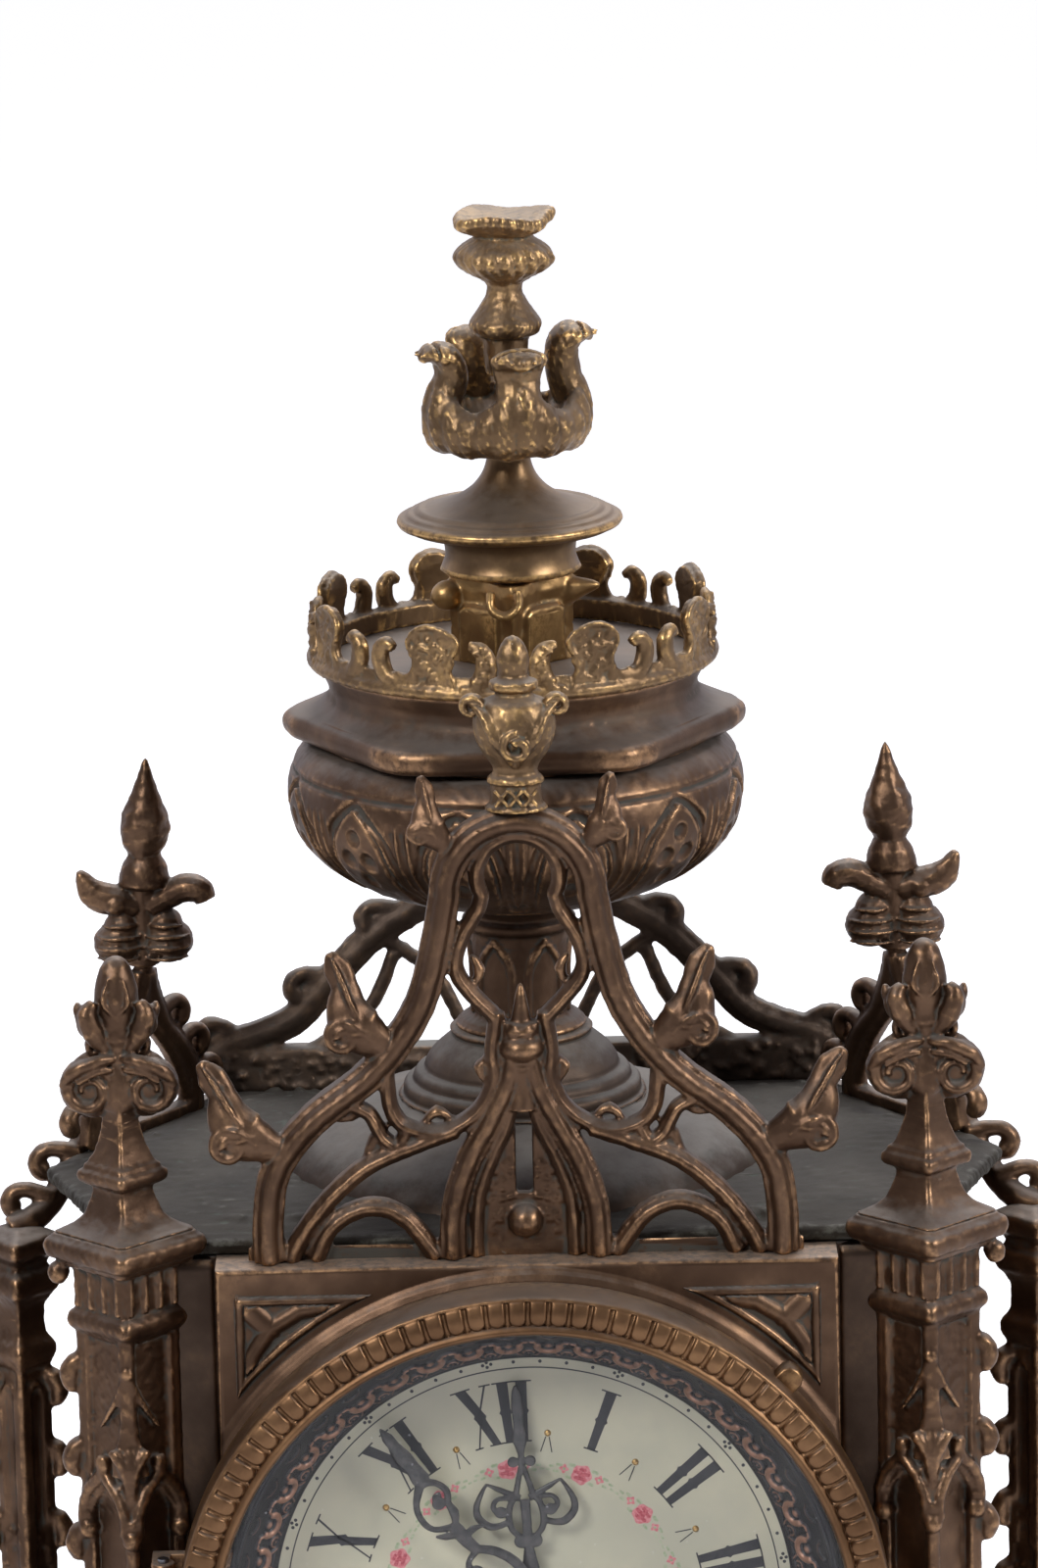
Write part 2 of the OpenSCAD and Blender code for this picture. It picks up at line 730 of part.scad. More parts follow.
module rear_gable() {
    y = rear_y - wall - 2;
    top = block_h + 47;
    half = rear_x + 3;
    path = smooth([[0, top], [16, top - 6.5], [28, top - 13.5], [38, top - 24],
                   [43.2, block_h + 17.4], [50, block_h + 14.2], [57, block_h + 12],
                   [half, block_h + 8.4]]);
    color(bronze)
        translate([0, 0, dial_z]) {
            for (s = [-1, 1])
                scale([s, 1, 1]) {
                    rib(path, 5.6, y, 4.4);
                    rib(smooth([[44, block_h + 9], [30, block_h + 18],
                                [24, block_h + 30]]), thin_w, y + 0.8, 2.8);
                    rib(smooth([[26, top - 14], [16, top - 22], [9, block_h + 10]]),
                        thin_w, y + 0.8, 2.8);
                    for (k = [6, 11, 22])
                        translate([path[k][0], 0, path[k][1]])
                            rotate([0, k > 20 ? 10 : 34, 0])
                                translate([1.6, 0, 0])
                                    crocket(y + 0.9, 2.6, 6);
                }
            translate([-half - 2.7, y - 0.3, block_h + 3])
                cube([2 * half + 5.4, 5.1, 9.1]);
        }
}

// Tower

module rod_bore(z, h) {
    translate([0, 0, z])
        cylinder(r = rod_r + fit, h = h, $fn = 32);
}

roof_r = rear_y - wall - 2.7;

module roof() {
    color(dark_bronze)
        difference() {
            union() {
                prism(inset(plan, 4.5), eaves_z, 3);
                translate([0, 0, eaves_z + 3])
                    rotate_extrude($fn = 96)
                        polygon(concat([[0, 0], [roof_r, 0], [roof_r, 1.5]],
                                       smooth([[roof_r - 1.2, 4], [38, 8.6], [28, 11.4],
                                               [dome_r + 1, roof_h - 3]]),
                                       [[0, roof_h - 3]]));
            }
            translate([0, 0, eaves_z - 1])
                cylinder(r1 = 40, r2 = 14, h = 11, $fn = 64);
            for (s = [-1, 1])
                translate([s * col_x, -col_y, eaves_z - 1])
                    cylinder(r = cap_r + clear, h = 8, $fn = 4);
            translate([-block_x - 1, -front_y - 1, eaves_z - 1])
                cube([2 * block_x + 2, front_y - col_y + 9, 6]);
            for (s = [-1, 1])
                translate([s * rear_x, rear_y, eaves_z - 1])
                    cylinder(r = rear_head_r + clear, h = 2, $fn = 4);
            rod_bore(eaves_z, 30);
        }
}

module dome() {
    r = dome_r;
    color(dark_bronze)
        difference() {
            translate([0, 0, dome_z])
                rotate_extrude($fn = 96)
                    polygon(concat([[0, 0], [r, 0], [r, 2.2], [r - 1.6, 2.8], [r - 2, 4.6],
                                    [r - 4, 5.4]],
                                   smooth([[r - 4.6, 6.6], [r - 8, 9.6], [neck_r + 0.8, dome_h]], 3),
                                   [[0, dome_h]]));
            rod_bore(dome_z - 1, dome_h + 2);
        }
}

module tower_neck() {
    color(bronze)
        difference() {
            translate([0, 0, neck_z])
                rotate_extrude($fn = 64)
                    polygon([[0, 0], [neck_r + 1.2, 0], [neck_r + 1.2, 2], [neck_r, 3.4],
                             [neck_r, neck_h - 5], [neck_r + 1, neck_h - 3.4],
                             [neck_r + 0.2, neck_h - 2], [neck_r + 2, neck_h], [0, neck_h]]);
            rod_bore(neck_z - 1, neck_h + 2);
        }
}

urn_panels = 12;

module urn() {
    r = urn_r;
    h = urn_h;
    color(bronze)
        difference() {
            union() {
                translate([0, 0, urn_z])
                    rotate_extrude($fn = 96)
                        polygon(concat([[0, 0], [neck_r + 3, 0]],
                                       smooth([[neck_r + 3, 0.01], [r * 0.58, h * 0.08],
                                               [r * 0.86, h * 0.34], [r * 0.98, h * 0.6],
                                               [r, h * 0.78], [r * 0.97, h * 0.92],
                                               [r * 0.9, h]], 5),
                                       [[0, h]]));
                for (i = [0:urn_panels - 1])
                    rotate([0, 0, -90 + (i + 0.5) * 360 / urn_panels])
                        translate([r * 0.93, 0, urn_z + h * 0.28])
                            rotate([0, 22, 0])
                                translate([-2, -4, 0])
                                    cube([2.6, 8, h * 0.36]);
            }
            translate([0, 0, urn_z + 6])
                rotate_extrude($fn = 64)
                    polygon([[rod_r + 4, 0], [r * 0.5, 0], [r * 0.82, h * 0.3],
                             [r * 0.9, h * 0.55], [r * 0.86, h - 10], [rod_r + 4, h - 10]]);
            rod_bore(urn_z - 1, h + 2);
        }
}

module hex_plate() {
    r = plate_r;
    color(bronze)
        difference() {
            translate([0, 0, plate_z - 1]) {
                rotate_extrude($fn = 6)
                    polygon([[0, 1], [r - 2, 1], [r, 2.2], [r, 5.2], [r - 1.6, 7], [0, 7]]);
                rotate_extrude($fn = 96)
                    polygon([[0, 0], [urn_r * 0.88, 0], [urn_r * 0.88, 2], [0, 2]]);
                translate([0, 0, 6])
                    rotate_extrude($fn = 96)
                        polygon(concat([[0, 0], [r * 0.87, 0]],
                                       smooth([[r * 0.86, 0.6], [crown_r - 2.6, 3.2],
                                               [crown_r - 1.6, 6], [crown_r, 8.6]], 3),
                                       [[crown_r - 3.4, 8.6], [crown_r - 3.4, 6.6], [0, 6.6]]));
            }
            rod_bore(plate_z - 2, 20);
        }
}

crown_pairs = 4;
leaf_turn = 23.5;

module crown() {
    r = crown_r;
    h = crown_h;
    leaf = concat([[-5, 0], [4.4, 0]],
                  smooth([[4.2, 4.4], [3.4, h * 0.5], [4.6, h * 0.8], [2.4, h * 0.95],
                          [-1.4, h], [-4.6, h * 0.86], [-4, h * 0.6], [-4.8, 4.4]], 3));
    color(gilt)
        translate([0, 0, crown_z]) {
            rotate_extrude($fn = 96)
                polygon([[r - 3, 0], [r, 0], [r + 0.2, 2], [r - 0.4, 4.4], [r - 3, 4.4]]);
            for (i = [0:crown_pairs - 1])
                rotate([0, 0, i * 360 / crown_pairs])
                    for (s = [-1, 1])
                        scale([s, 1, 1])
                            rotate([0, 0, leaf_turn])
                                intersection() {
                                    difference() {
                                        cylinder(r = r + 0.7, h = h + 1, $fn = 96);
                                        translate([0, 0, -1])
                                            cylinder(r = r - 2.4, h = h + 3, $fn = 96);
                                    }
                                    translate([0, -r - 2, 0]) {
                                        upright(0, 12)
                                            polygon(leaf);
                                        for (x = [-6.6, 8.2])
                                            translate([x, 0, 5.4])
                                                upright(1, 10)
                                                    ring2(3.4, 1.8);
                                    }
                                }
        }
}

// Square block with its corners to the front and sides, hollow faces and a spur on each corner.
module turret() {
    h = turret_h;
    color(gilt)
        difference() {
            translate([0, 0, turret_z]) {
                square_turned([[0, 0], [13.4, 0], [13.4, 2.4], [12.2, 3.4], [11.8, h - 4],
                               [12.6, h - 2.4], [12.2, h], [0, h]]);
                for (a = [0:90:270])
                    rotate([0, 0, a])
                        translate([12.6, 0, h - 4.6])
                            rotate([0, 62, 0])
                                cylinder(r1 = 2.2, r2 = 0.6, h = 6, center = true, $fn = 20);
            }
            for (a = [45:90:315])
                rotate([0, 0, a])
                    translate([21.2, 0, turret_z + 4])
                        cylinder(r = 14, h = h - 8, $fn = 64);
            rod_bore(turret_z - 1, h + 2);
        }
}

module saucer() {
    r = saucer_r;
    color(bronze)
        difference() {
            translate([0, 0, saucer_z])
                rotate_extrude($fn = 96)
                    polygon(concat([[0, 0], [r * 0.64, 0], [r * 0.64, 1.4], [r * 0.6, 2.4],
                                    [r * 0.62, 4.6], [r * 0.9, 6.4], [r, 8], [r, 9.2],
                                    [r * 0.94, 9.4], [r * 0.93, 10.4]],
                                   smooth([[r * 0.84, 10.8], [r * 0.5, 12.6], [r * 0.24, 16.6],
                                           [3.8, saucer_h - 1.4], [4.6, saucer_h]], 4),
                                   [[0, saucer_h]]));
            rod_bore(saucer_z - 1, saucer_h + 2);
        }
}

cup_leaves = 4;

module leaf_cup() {
    r = cup_r;
    leaf = smooth([[r * 0.66, 8], [r * 0.76, 13], [r * 0.72, 17], [r * 0.86, 20],
                   [r * 1.04, 18.6]], 4);
    color(gilt)
        difference() {
            translate([0, 0, cup_z]) {
                rotate_extrude($fn = 48)
                    polygon(concat([[0, 0], [5, 0]],
                                   smooth([[r * 0.7, 1.4], [r, 3.2], [r * 0.98, 7],
                                           [r * 0.84, 11], [r * 0.7, cup_h - 1]], 3),
                                   [[r * 0.5, cup_h - 1], [r * 0.4, 7], [4.6, 6.4],
                                    [4.6, cup_h], [0, cup_h]]));
                for (i = [0:cup_leaves - 1])
                    rotate([0, 0, 45 + i * 360 / cup_leaves])
                        upright(-3.1, 6.2)
                            band(leaf, 2.8);
            }
            rod_bore(cup_z - 1, cup_h + 2);
        }
}

module spire_cap() {
    r = top_r;
    color(gilt)
        difference() {
            translate([0, 0, cap_z])
                rotate_extrude($fn = 64)
                    polygon([[0, 0], [4.2, 0], [3.8, 3], [6.4, 4.6], [6.4, 6.2], [5.6, 7],
                             [5.8, 8.2], [4, 10], [3.2, 13], [4, 15.4], [r * 0.8, 16.4],
                             [r * 0.98, 19], [r * 0.9, 22.4], [r * 0.56, 24],
                             [r * 0.6, 25], [r * 0.96, 26.6], [r, 29], [r * 0.8, 30.4],
                             [0, 30.4]]);
            rod_bore(cap_z - 1, 14);
        }
}

rod_len = cap_z + 12 - eaves_z + 2;

module tie_rod() {
    color(steel) {
        translate([0, 0, eaves_z - 2])
            cylinder(r = rod_r, h = rod_len, $fn = 32);
        translate([0, 0, eaves_z + 5])
            cylinder(r = 4, h = 5 - clear / 3, $fn = 6);
        translate([0, 0, eaves_z + 9.9])
            cylinder(r = 6.5, h = 0.1, $fn = 40);
    }
}

// Dial, bezel and glass

module dial() {
    color(ivory)
        difference() {
            translate([0, 0, dial_z])
                rotate([0, -dial_turn, 0])
                    translate([0, 0, -dial_z])
                        dial_turned([[0, dial_y], [dial_r, dial_y],
                                     [dial_r, dial_y + dial_t - 0.02],
                                     [0, dial_y + dial_t - 0.02]]);
            shaft(0, dial_z, hour_tube_r + clear, dial_y - 1, dial_y + dial_t + 1);
            shaft(0, barrel_z, 3.4, dial_y - 1, dial_y + dial_t + 1);
        }
}

module filigree_ring() {
    color(dark_bronze)
        dial_turned([[sight_r, dial_y], [dial_r, dial_y], [dial_r, ring_step_y],
                     [ring_r, ring_step_y], [ring_r, -front_y - 2.2],
                     [ring_r - 0.8, -front_y - 2.6], [sight_r + 0.8, dial_y - 1.4],
                     [sight_r, dial_y - 1]]);
}

module bezel() {
    r = bezel_r;
    b = bezel_back;
    f = bezel_front;
    seat_y = glass_y - glass_t - 0.1;
    color(gilt)
        difference() {
            union() {
                dial_turned(concat([[bezel_in, seat_y], [bezel_in + 2, seat_y],
                                    [bezel_in + 2, b], [r - 1.4, b], [r, b - 1.4], [r, f + 5],
                                    [r - 1.2, f + 2.4]],
                                   arc([r - 3.6, f + 2.4], 2.4, 0, -160, 8),
                                   [[bezel_in + 0.4, f + 3.4], [bezel_in, f + 4.4]]));
                translate([hinge_x, hinge_y, dial_z - knuckle_h / 2])
                    cylinder(r = knuckle_r, h = knuckle_h, $fn = 32);
                translate([hinge_x, hinge_y - knuckle_r, dial_z - knuckle_h / 2])
                    cube([4.4, knuckle_r + 1, knuckle_h]);
                translate([0, 0, dial_z])
                    rotate([0, -45, 0])
                        translate([r - 1, b - 6, -2.4])
                            cube([4.6, 4, 4.8]);
            }
            translate([hinge_x, hinge_y, dial_z - knuckle_h])
                cylinder(r = hinge_pin_r + running, h = 2 * knuckle_h, $fn = 32);
        }
}

module glass() {
    color([0.85, 0.92, 0.95, 0.35])
        dial_turned([[0, glass_y - glass_t], [bezel_in + 2 - fit, glass_y - glass_t],
                     [bezel_in + 2 - fit, glass_y], [0, glass_y]]);
}

module bezel_hinge_pin() {
    color(steel)
        translate([hinge_x, hinge_y, dial_z - knuckle_h / 2 - 6])
            cylinder(r = hinge_pin_r, h = knuckle_h + 12, $fn = 32);
}

// Hands

hour_tube_r = 3;
hour_hand_y = dial_y - 2.6;
minute_hand_y = hour_hand_y - 1.9;

module ring2(r, w) {
    difference() {
        circle(r = r, $fn = 32);
        circle(r = r - w, $fn = 32);
    }
}

module hand_place(y, turn) {
    translate([0, y, dial_z])
        rotate([0, turn, 0])
            rotate([90, 0, 0])
                children();
}

module slab() {
    linear_extrude(hand_t)
        children();
}

module hour_outline() {
    k = hour_len / 41;
    slab() circle(r = 4.6, $fn = 36);
    slab() band([[0, 3.6], [0, 30 * k]], 1.7);
    translate([0, 14 * k, 0])
        slab() ring2(3.2, 1.1);
    translate([0, 20 * k, 0])
        slab() ring2(2.8, 1);
    for (s = [-1, 1])
        translate([s * 4.9, 19.6 * k, 0])
            slab() ring2(3.3, 1.2);
    slab()
        polygon([[-3, 27 * k], [0, 25.6 * k], [3, 27 * k], [1.3, 29 * k], [1.5, 35 * k],
                 [0, hour_len], [-1.5, 35 * k], [-1.3, 29 * k]]);
}

module minute_outline() {
    k = minute_len / 44;
    slab() circle(r = 3.8, $fn = 36);
    slab() band([[0, 3], [0, 30 * k]], 1.6);
    translate([1.6, 11.6 * k, 0])
        slab() ring2(4.2, 1.4);
    translate([1.6, 20.6 * k, 0])
        slab() ring2(3.1, 1.2);
    slab()
        polygon([[-1.8, 28 * k], [0, 27 * k], [2, 28.4 * k], [1.2, 31 * k], [2, 36 * k],
                 [0.9, 40 * k], [0, minute_len], [-1, 40 * k], [-1.7, 35 * k], [-1, 31 * k]]);
}

module hour_hand() {
    color([0.06, 0.06, 0.07])
        difference() {
            hand_place(hour_hand_y, hour_turn)
                hour_outline();
            shaft(0, dial_z, hour_tube_r, hour_hand_y - 2, hour_hand_y + 1);
        }
}

module minute_hand() {
    color([0.06, 0.06, 0.07])
        difference() {
            hand_place(minute_hand_y, minute_turn)
                minute_outline();
            shaft(0, dial_z, cannon_r, minute_hand_y - 2, minute_hand_y + 1);
        }
}

module hand_nut() {
    color(brass)
        difference() {
            union() {
                shaft(0, dial_z, 2.6, minute_hand_y - hand_t - 1.2, minute_hand_y - hand_t);
                translate([0, minute_hand_y - hand_t - 1.2, dial_z])
                    intersection() {
                        sphere(r = 2.2, $fn = 32);
                        translate([-3, -3, -3])
                            cube([6, 3, 6]);
                    }
            }
            shaft(0, dial_z, arbor_r, minute_hand_y - hand_t - 1.6, minute_hand_y);
        }
}

// Wheels

// A spur wheel with straight-sided teeth, one tooth centred on the angle phase.
function tooth_ring(n, m, width, phase) = [
    for (i = [0:n - 1])
        let (a = phase + i * 360 / n, h = 360 / n * width / 2)
        for (q = [[m * (n / 2 - 1.15), h * 1.1], [m * (n / 2 + 0.15), h * 0.86],
                  [m * (n / 2 + 0.85), h * 0.4], [m * (n / 2 + 0.85), -h * 0.4],
                  [m * (n / 2 + 0.15), -h * 0.86], [m * (n / 2 - 1.15), -h * 1.1]])
            q[0] * [cos(a - q[1]), sin(a - q[1])]
];

module wheel(x, z, n, m, width, phase, y0, t) {
    translate([x, y0 + t, z])
        rotate([90, 0, 0])
            linear_extrude(t)
                polygon(tooth_ring(n, m, width, phase));
}

module crossings(x, z, r0, r1, y0, t, count) {
    spoke = 2.4;
    translate([x, y0 + t + 0.5, z])
        rotate([90, 0, 0])
            linear_extrude(t + 1)
                for (i = [0:count - 1])
                    rotate(i * 360 / count)
                        intersection() {
                            difference() {
                                circle(r = r1, $fn = 48);
                                circle(r = r0, $fn = 32);
                            }
                            polygon([[spoke, spoke], [r1 * 2, spoke],
                                     2 * r1 * [cos(360 / count), sin(360 / count)]
                                     + spoke * [sin(360 / count), -cos(360 / count)]]);
                        }
}

cannon_r = 2;
cannon_teeth = 12;
minute_teeth = 36;
minute_pinion_teeth = 10;
hour_teeth = 40;
motion_m = 0.5;
motion_d = (cannon_teeth + minute_teeth) / 2 * motion_m;
hour_m = 2 * motion_d / (minute_pinion_teeth + hour_teeth);
centre_pinion_teeth = 12;
centre_teeth = 60;
third_pinion_teeth = 10;
third_teeth = 60;
escape_pinion_teeth = 10;
escape_m = 0.5;
barrel_d = (centre_pinion_teeth + barrel_teeth) / 2 * train_m;
barrel_z = dial_z - barrel_d;
third_d = (centre_teeth + third_pinion_teeth) / 2 * train_m;
third_a = 135;
third_x = third_d * cos(third_a);
third_z = dial_z + third_d * sin(third_a);
escape_d = (third_teeth + escape_pinion_teeth) / 2 * escape_m;
escape_a = 24;
escape_x = third_x + escape_d * cos(escape_a);
escape_z = third_z + escape_d * sin(escape_a);
escape_r = 10.5;
anchor_z = escape_z + escape_r + 5.2;
plate_h = 2 * screw_z + 10;
pillar_x = plate_x - 5;
pillar_z = screw_z - 6;
pillar_places = [for (z = [-pillar_z, pillar_z]) for (x = [-pillar_x, pillar_x]) [x, z]];
cannon_y = front_plate_y - 1.7;
hour_wheel_y = front_plate_y - 3.9;
centre_wheel_y = front_plate_y + plate_t + 2;
barrel_y = front_plate_y + plate_t + 10;
third_wheel_y = front_plate_y + plate_t + 18;
escape_y = front_plate_y + plate_t + 22.4;
pendulum_y = back_plate_y + plate_t + 4;

module movement_plate(y) {
    difference() {
        translate([-plate_x, y, dial_z - plate_h / 2])
            cube([2 * plate_x, plate_t, plate_h]);
        for (p = [[0, dial_z], [0, barrel_z], [third_x, third_z], [escape_x, escape_z],
                  [escape_x, anchor_z]])
            shaft(p[0], p[1], arbor_r + running, y - 1, y + plate_t + 1);
        shaft(0, barrel_z, 2.4, y - 1, y + plate_t + 1);
    }
}

module front_plate() {
    color(brass) {
        difference() {
            movement_plate(front_plate_y);
            for (p = screw_places)
                shaft(p[0], dial_z + p[1], 1.6, front_plate_y - 1, front_plate_y + plate_t + 1);
        }
        shaft(motion_d, dial_z, arbor_r, hour_wheel_y - 0.4, front_plate_y + 0.5);
    }
}

bell_x = 20;
bell_z = dial_z - 2;
bell_y = back_plate_y + plate_t + 12;
hammer_x = bell_x - bell_r - 4.2;
hammer_z = bell_z - 36;

module back_plate() {
    color(brass)
        difference() {
            union() {
                movement_plate(back_plate_y);
                shaft(bell_x, bell_z, 2.2, back_plate_y + plate_t, bell_y + 15.4);
                shaft(bell_x, bell_z, arbor_r, bell_y + 15.4, bell_y + 20);
            }
            shaft(hammer_x, hammer_z, arbor_r + running, back_plate_y - 1,
                  back_plate_y + plate_t + 1);
        }
}

module pillars_and_screws() {
    color(brass)
        for (p = pillar_places)
            shaft(p[0], dial_z + p[1], 2.6, front_plate_y + plate_t, back_plate_y);
    color(steel)
        for (p = screw_places) {
            shaft(p[0], dial_z + p[1], 1.4, -front_y + 4, front_plate_y + plate_t);
            shaft(p[0], dial_z + p[1], 2.8, front_plate_y + plate_t, front_plate_y + plate_t + 1.4);
        }
}

module centre_arbor() {
    y = centre_wheel_y;
    color(brass)
        difference() {
            union() {
                shaft(0, dial_z, arbor_r, minute_hand_y - hand_t - 1.2, back_plate_y + plate_t);
                wheel(0, dial_z, centre_teeth, train_m, 0.46, third_a, y, 1.6);
                wheel(0, dial_z, centre_pinion_teeth, train_m, 0.34, -90, barrel_y - 2, 6);
            }
            crossings(0, dial_z, 4, centre_teeth * train_m / 2 - 3, y, 1.6, 4);
        }
}

module cannon_pinion() {
    color(brass)
        difference() {
            union() {
                shaft(0, dial_z, cannon_r, minute_hand_y - hand_t, front_plate_y - 0.2);
                wheel(0, dial_z, cannon_teeth, motion_m, 0.34, 0, cannon_y, 1.2);
            }
            shaft(0, dial_z, arbor_r + 0.01, minute_hand_y - hand_t - 1, front_plate_y + 1);
        }
}

module minute_wheel() {
    half = 180 / minute_teeth;
    color(brass)
        difference() {
            union() {
                wheel(motion_d, dial_z, minute_teeth, motion_m, 0.46, 180 + half, cannon_y + 0.2, 1);
                wheel(motion_d, dial_z, minute_pinion_teeth, hour_m, 0.34, 180,
                      hour_wheel_y - 0.1, 2.6);
            }
            shaft(motion_d, dial_z, arbor_r + running, hour_wheel_y - 2, front_plate_y + 1);
        }
}

module hour_wheel() {
    color(brass)
        difference() {
            union() {
                shaft(0, dial_z, hour_tube_r, hour_hand_y - hand_t, hour_wheel_y + 1);
                wheel(0, dial_z, hour_teeth, hour_m, 0.46, 180 / hour_teeth, hour_wheel_y, 1);
            }
            shaft(0, dial_z, cannon_r + running, hour_hand_y - hand_t - 1, hour_wheel_y + 2);
        }
}

module barrel() {
    y = barrel_y;
    r = barrel_teeth * train_m / 2 - 5;
    color(brass)
        difference() {
            union() {
                wheel(0, barrel_z, barrel_teeth, train_m, 0.46, 90 + 180 / barrel_teeth, y, 2);
                shaft(0, barrel_z, r, y + 2, y + 13);
            }
            shaft(0, barrel_z, r - 1.5, y + 1.5, y + 11.8);
            shaft(0, barrel_z, arbor_r + 1 + running, y - 1, y + 14);
        }
}

module winding_arbor() {
    color(steel) {
        shaft(0, barrel_z, arbor_r + 1, front_plate_y - 1, back_plate_y + plate_t + 0.8);
        shaft(0, barrel_z, 2.3, front_plate_y - 2.6, front_plate_y - 0.1);
        translate([-1.3, dial_y - 2.5, barrel_z - 1.3])
            cube([2.6, front_plate_y - dial_y, 2.6]);
        shaft(0, barrel_z, 5, barrel_y + 2.4, barrel_y + 11);
    }
}

module third_wheel() {
    y = third_wheel_y;
    color(brass)
        difference() {
            union() {
                shaft(third_x, third_z, arbor_r, front_plate_y, back_plate_y + plate_t);
                wheel(third_x, third_z, third_teeth, escape_m, 0.46, escape_a, y, 1.4);
                wheel(third_x, third_z, third_pinion_teeth, train_m, 0.34,
                      third_a + 180 + 180 / third_pinion_teeth, centre_wheel_y - 1.4, 4.4);
            }
            crossings(third_x, third_z, 3.4, third_teeth * escape_m / 2 - 2.4, y, 1.4, 4);
        }
}

escape_teeth = 30;

module escape_wheel() {
    color(brass) {
        shaft(escape_x, escape_z, arbor_r, front_plate_y, back_plate_y + plate_t);
        wheel(escape_x, escape_z, escape_pinion_teeth, escape_m, 0.34,
              escape_a + 180 + 180 / escape_pinion_teeth, third_wheel_y - 1.4, 4);
        translate([escape_x, escape_y + 1, escape_z])
            rotate([90, 0, 0])
                linear_extrude(1)
                    polygon([for (i = [0:escape_teeth - 1])
                        for (q = [[escape_r - 1.8, 0], [escape_r, 3.4], [escape_r, 4.4],
                                  [escape_r - 1.8, 7]])
                            let (a = i * 360 / escape_teeth + q[1])
                            q[0] * [cos(a), sin(a)]]);
    }
}

// Anchor: two arms over the escape wheel, whose pallets stand just clear of its teeth.
module anchor() {
    h = anchor_z - escape_z;
    reach = escape_r + 0.9;
    tip = reach * [cos(38), sin(38)];
    color(steel) {
        shaft(escape_x, anchor_z, arbor_r, front_plate_y, pendulum_y + 1.5);
        translate([escape_x, escape_y + 1, escape_z])
            rotate([90, 0, 0])
                linear_extrude(1)
                    for (s = [-1, 1])
                        scale([s, 1])
                            polygon([[0, h + 2.2], [5, h + 0.6], tip + [2.4, 2.2], tip + [2.4, 0],
                                     tip + [0.6, 0], tip + [0.4, 0.8], [4.6, h - 1.8],
                                     [0, h - 1.6]]);
    }
}

module pendulum() {
    z0 = anchor_z - pendulum_len;
    color(brass)
        difference() {
            union() {
                translate([escape_x, pendulum_y, z0])
                    cylinder(r = 0.9, h = pendulum_len - 2, $fn = 24);
                shaft(escape_x, anchor_z, 3, pendulum_y - 1, pendulum_y + 1);
                translate([escape_x, pendulum_y, z0])
                    rotate([-90, 0, 0])
                        rotate_extrude($fn = 64)
                            polygon([[0, -3], [bob_r * 0.6, -2.6], [bob_r, -0.4], [bob_r, 0.4],
                                     [bob_r * 0.6, 2.6], [0, 3]]);
                translate([escape_x, pendulum_y, z0 - bob_r - 4])
                    cylinder(r = 1.8, h = 5, $fn = 24);
            }
            shaft(escape_x, anchor_z, arbor_r, pendulum_y - 2, pendulum_y + 2);
        }
}

module bell() {
    r = bell_r;
    outer = smooth([[r, 0], [r * 0.93, 5], [r * 0.8, 10], [r * 0.5, 14.6], [4, 17]], 4);
    inner = smooth([[r - 1.4, 0], [r * 0.93 - 1.4, 5], [r * 0.8 - 1.6, 9.4],
                    [r * 0.5 - 1, 13.4], [4, 15.4]], 4);
    color(brass)
        translate([bell_x, bell_y, bell_z])
            rotate([-90, 0, 0])
                rotate_extrude($fn = 72)
                    polygon(concat(outer, [[arbor_r + fit, 17], [arbor_r + fit, 15.4]],
                                   back(inner)));
}

module hammer() {
    y = bell_y + 1;
    color(steel) {
        shaft(hammer_x, hammer_z, arbor_r, back_plate_y, y + 1);
        translate([hammer_x - 1, y - 1, hammer_z])
            cube([2, 2, bell_z - hammer_z]);
        translate([hammer_x - 3.5, y, bell_z])
            rotate([0, 90, 0])
                cylinder(r = 3, h = 7, $fn = 28);
    }
}

// Back door

door_gap = 0.4;
door_pin_x = door_w / 2 - 3.2;

module back_door() {
    color(bronze)
        difference() {
            union() {
                translate([-door_w / 2 + door_gap, rear_y - 2, dial_z - door_h / 2 + door_gap])
                    cube([door_pin_x + 2 + door_w / 2 - door_gap, 2, door_h - 2 * door_gap]);
                translate([-door_w / 2 + door_gap + 5, rear_y, dial_z - door_h / 2 + 6])
                    cube([door_w - 2 * door_gap - 10, 1, door_h - 12]);
                translate([door_pin_x, rear_y, dial_z - door_h / 2 + door_gap])
                    cylinder(r = 2, h = door_h - 2 * door_gap, $fn = 28);
            }
            shaft(-door_w / 2 + 9, dial_z, 1.5 + running, rear_y - 4, rear_y + 3);
            translate([door_pin_x, rear_y, dial_z - door_h])
                cylinder(r = hinge_pin_r + running, h = 2 * door_h, $fn = 28);
        }
}

module door_hinge() {
    color(steel)
        for (s = [-1, 1])
            translate([door_pin_x, rear_y, dial_z + s * (door_h / 2 + 1)])
                cylinder(r = hinge_pin_r, h = 12, center = true, $fn = 28);
}

module door_catch() {
    x = -door_w / 2 + 9;
    color(brass) {
        shaft(x, dial_z, 1.5, rear_y - 4.8, rear_y + 1);
        shaft(x, dial_z, 3.6, rear_y + 1 + running, rear_y + 5);
        shaft(x, dial_z, 1.5, rear_y, rear_y + 2);
        translate([x - 2, rear_y - 5.4, dial_z - 2.5])
            cube([4, 1.6, 13]);
    }
}

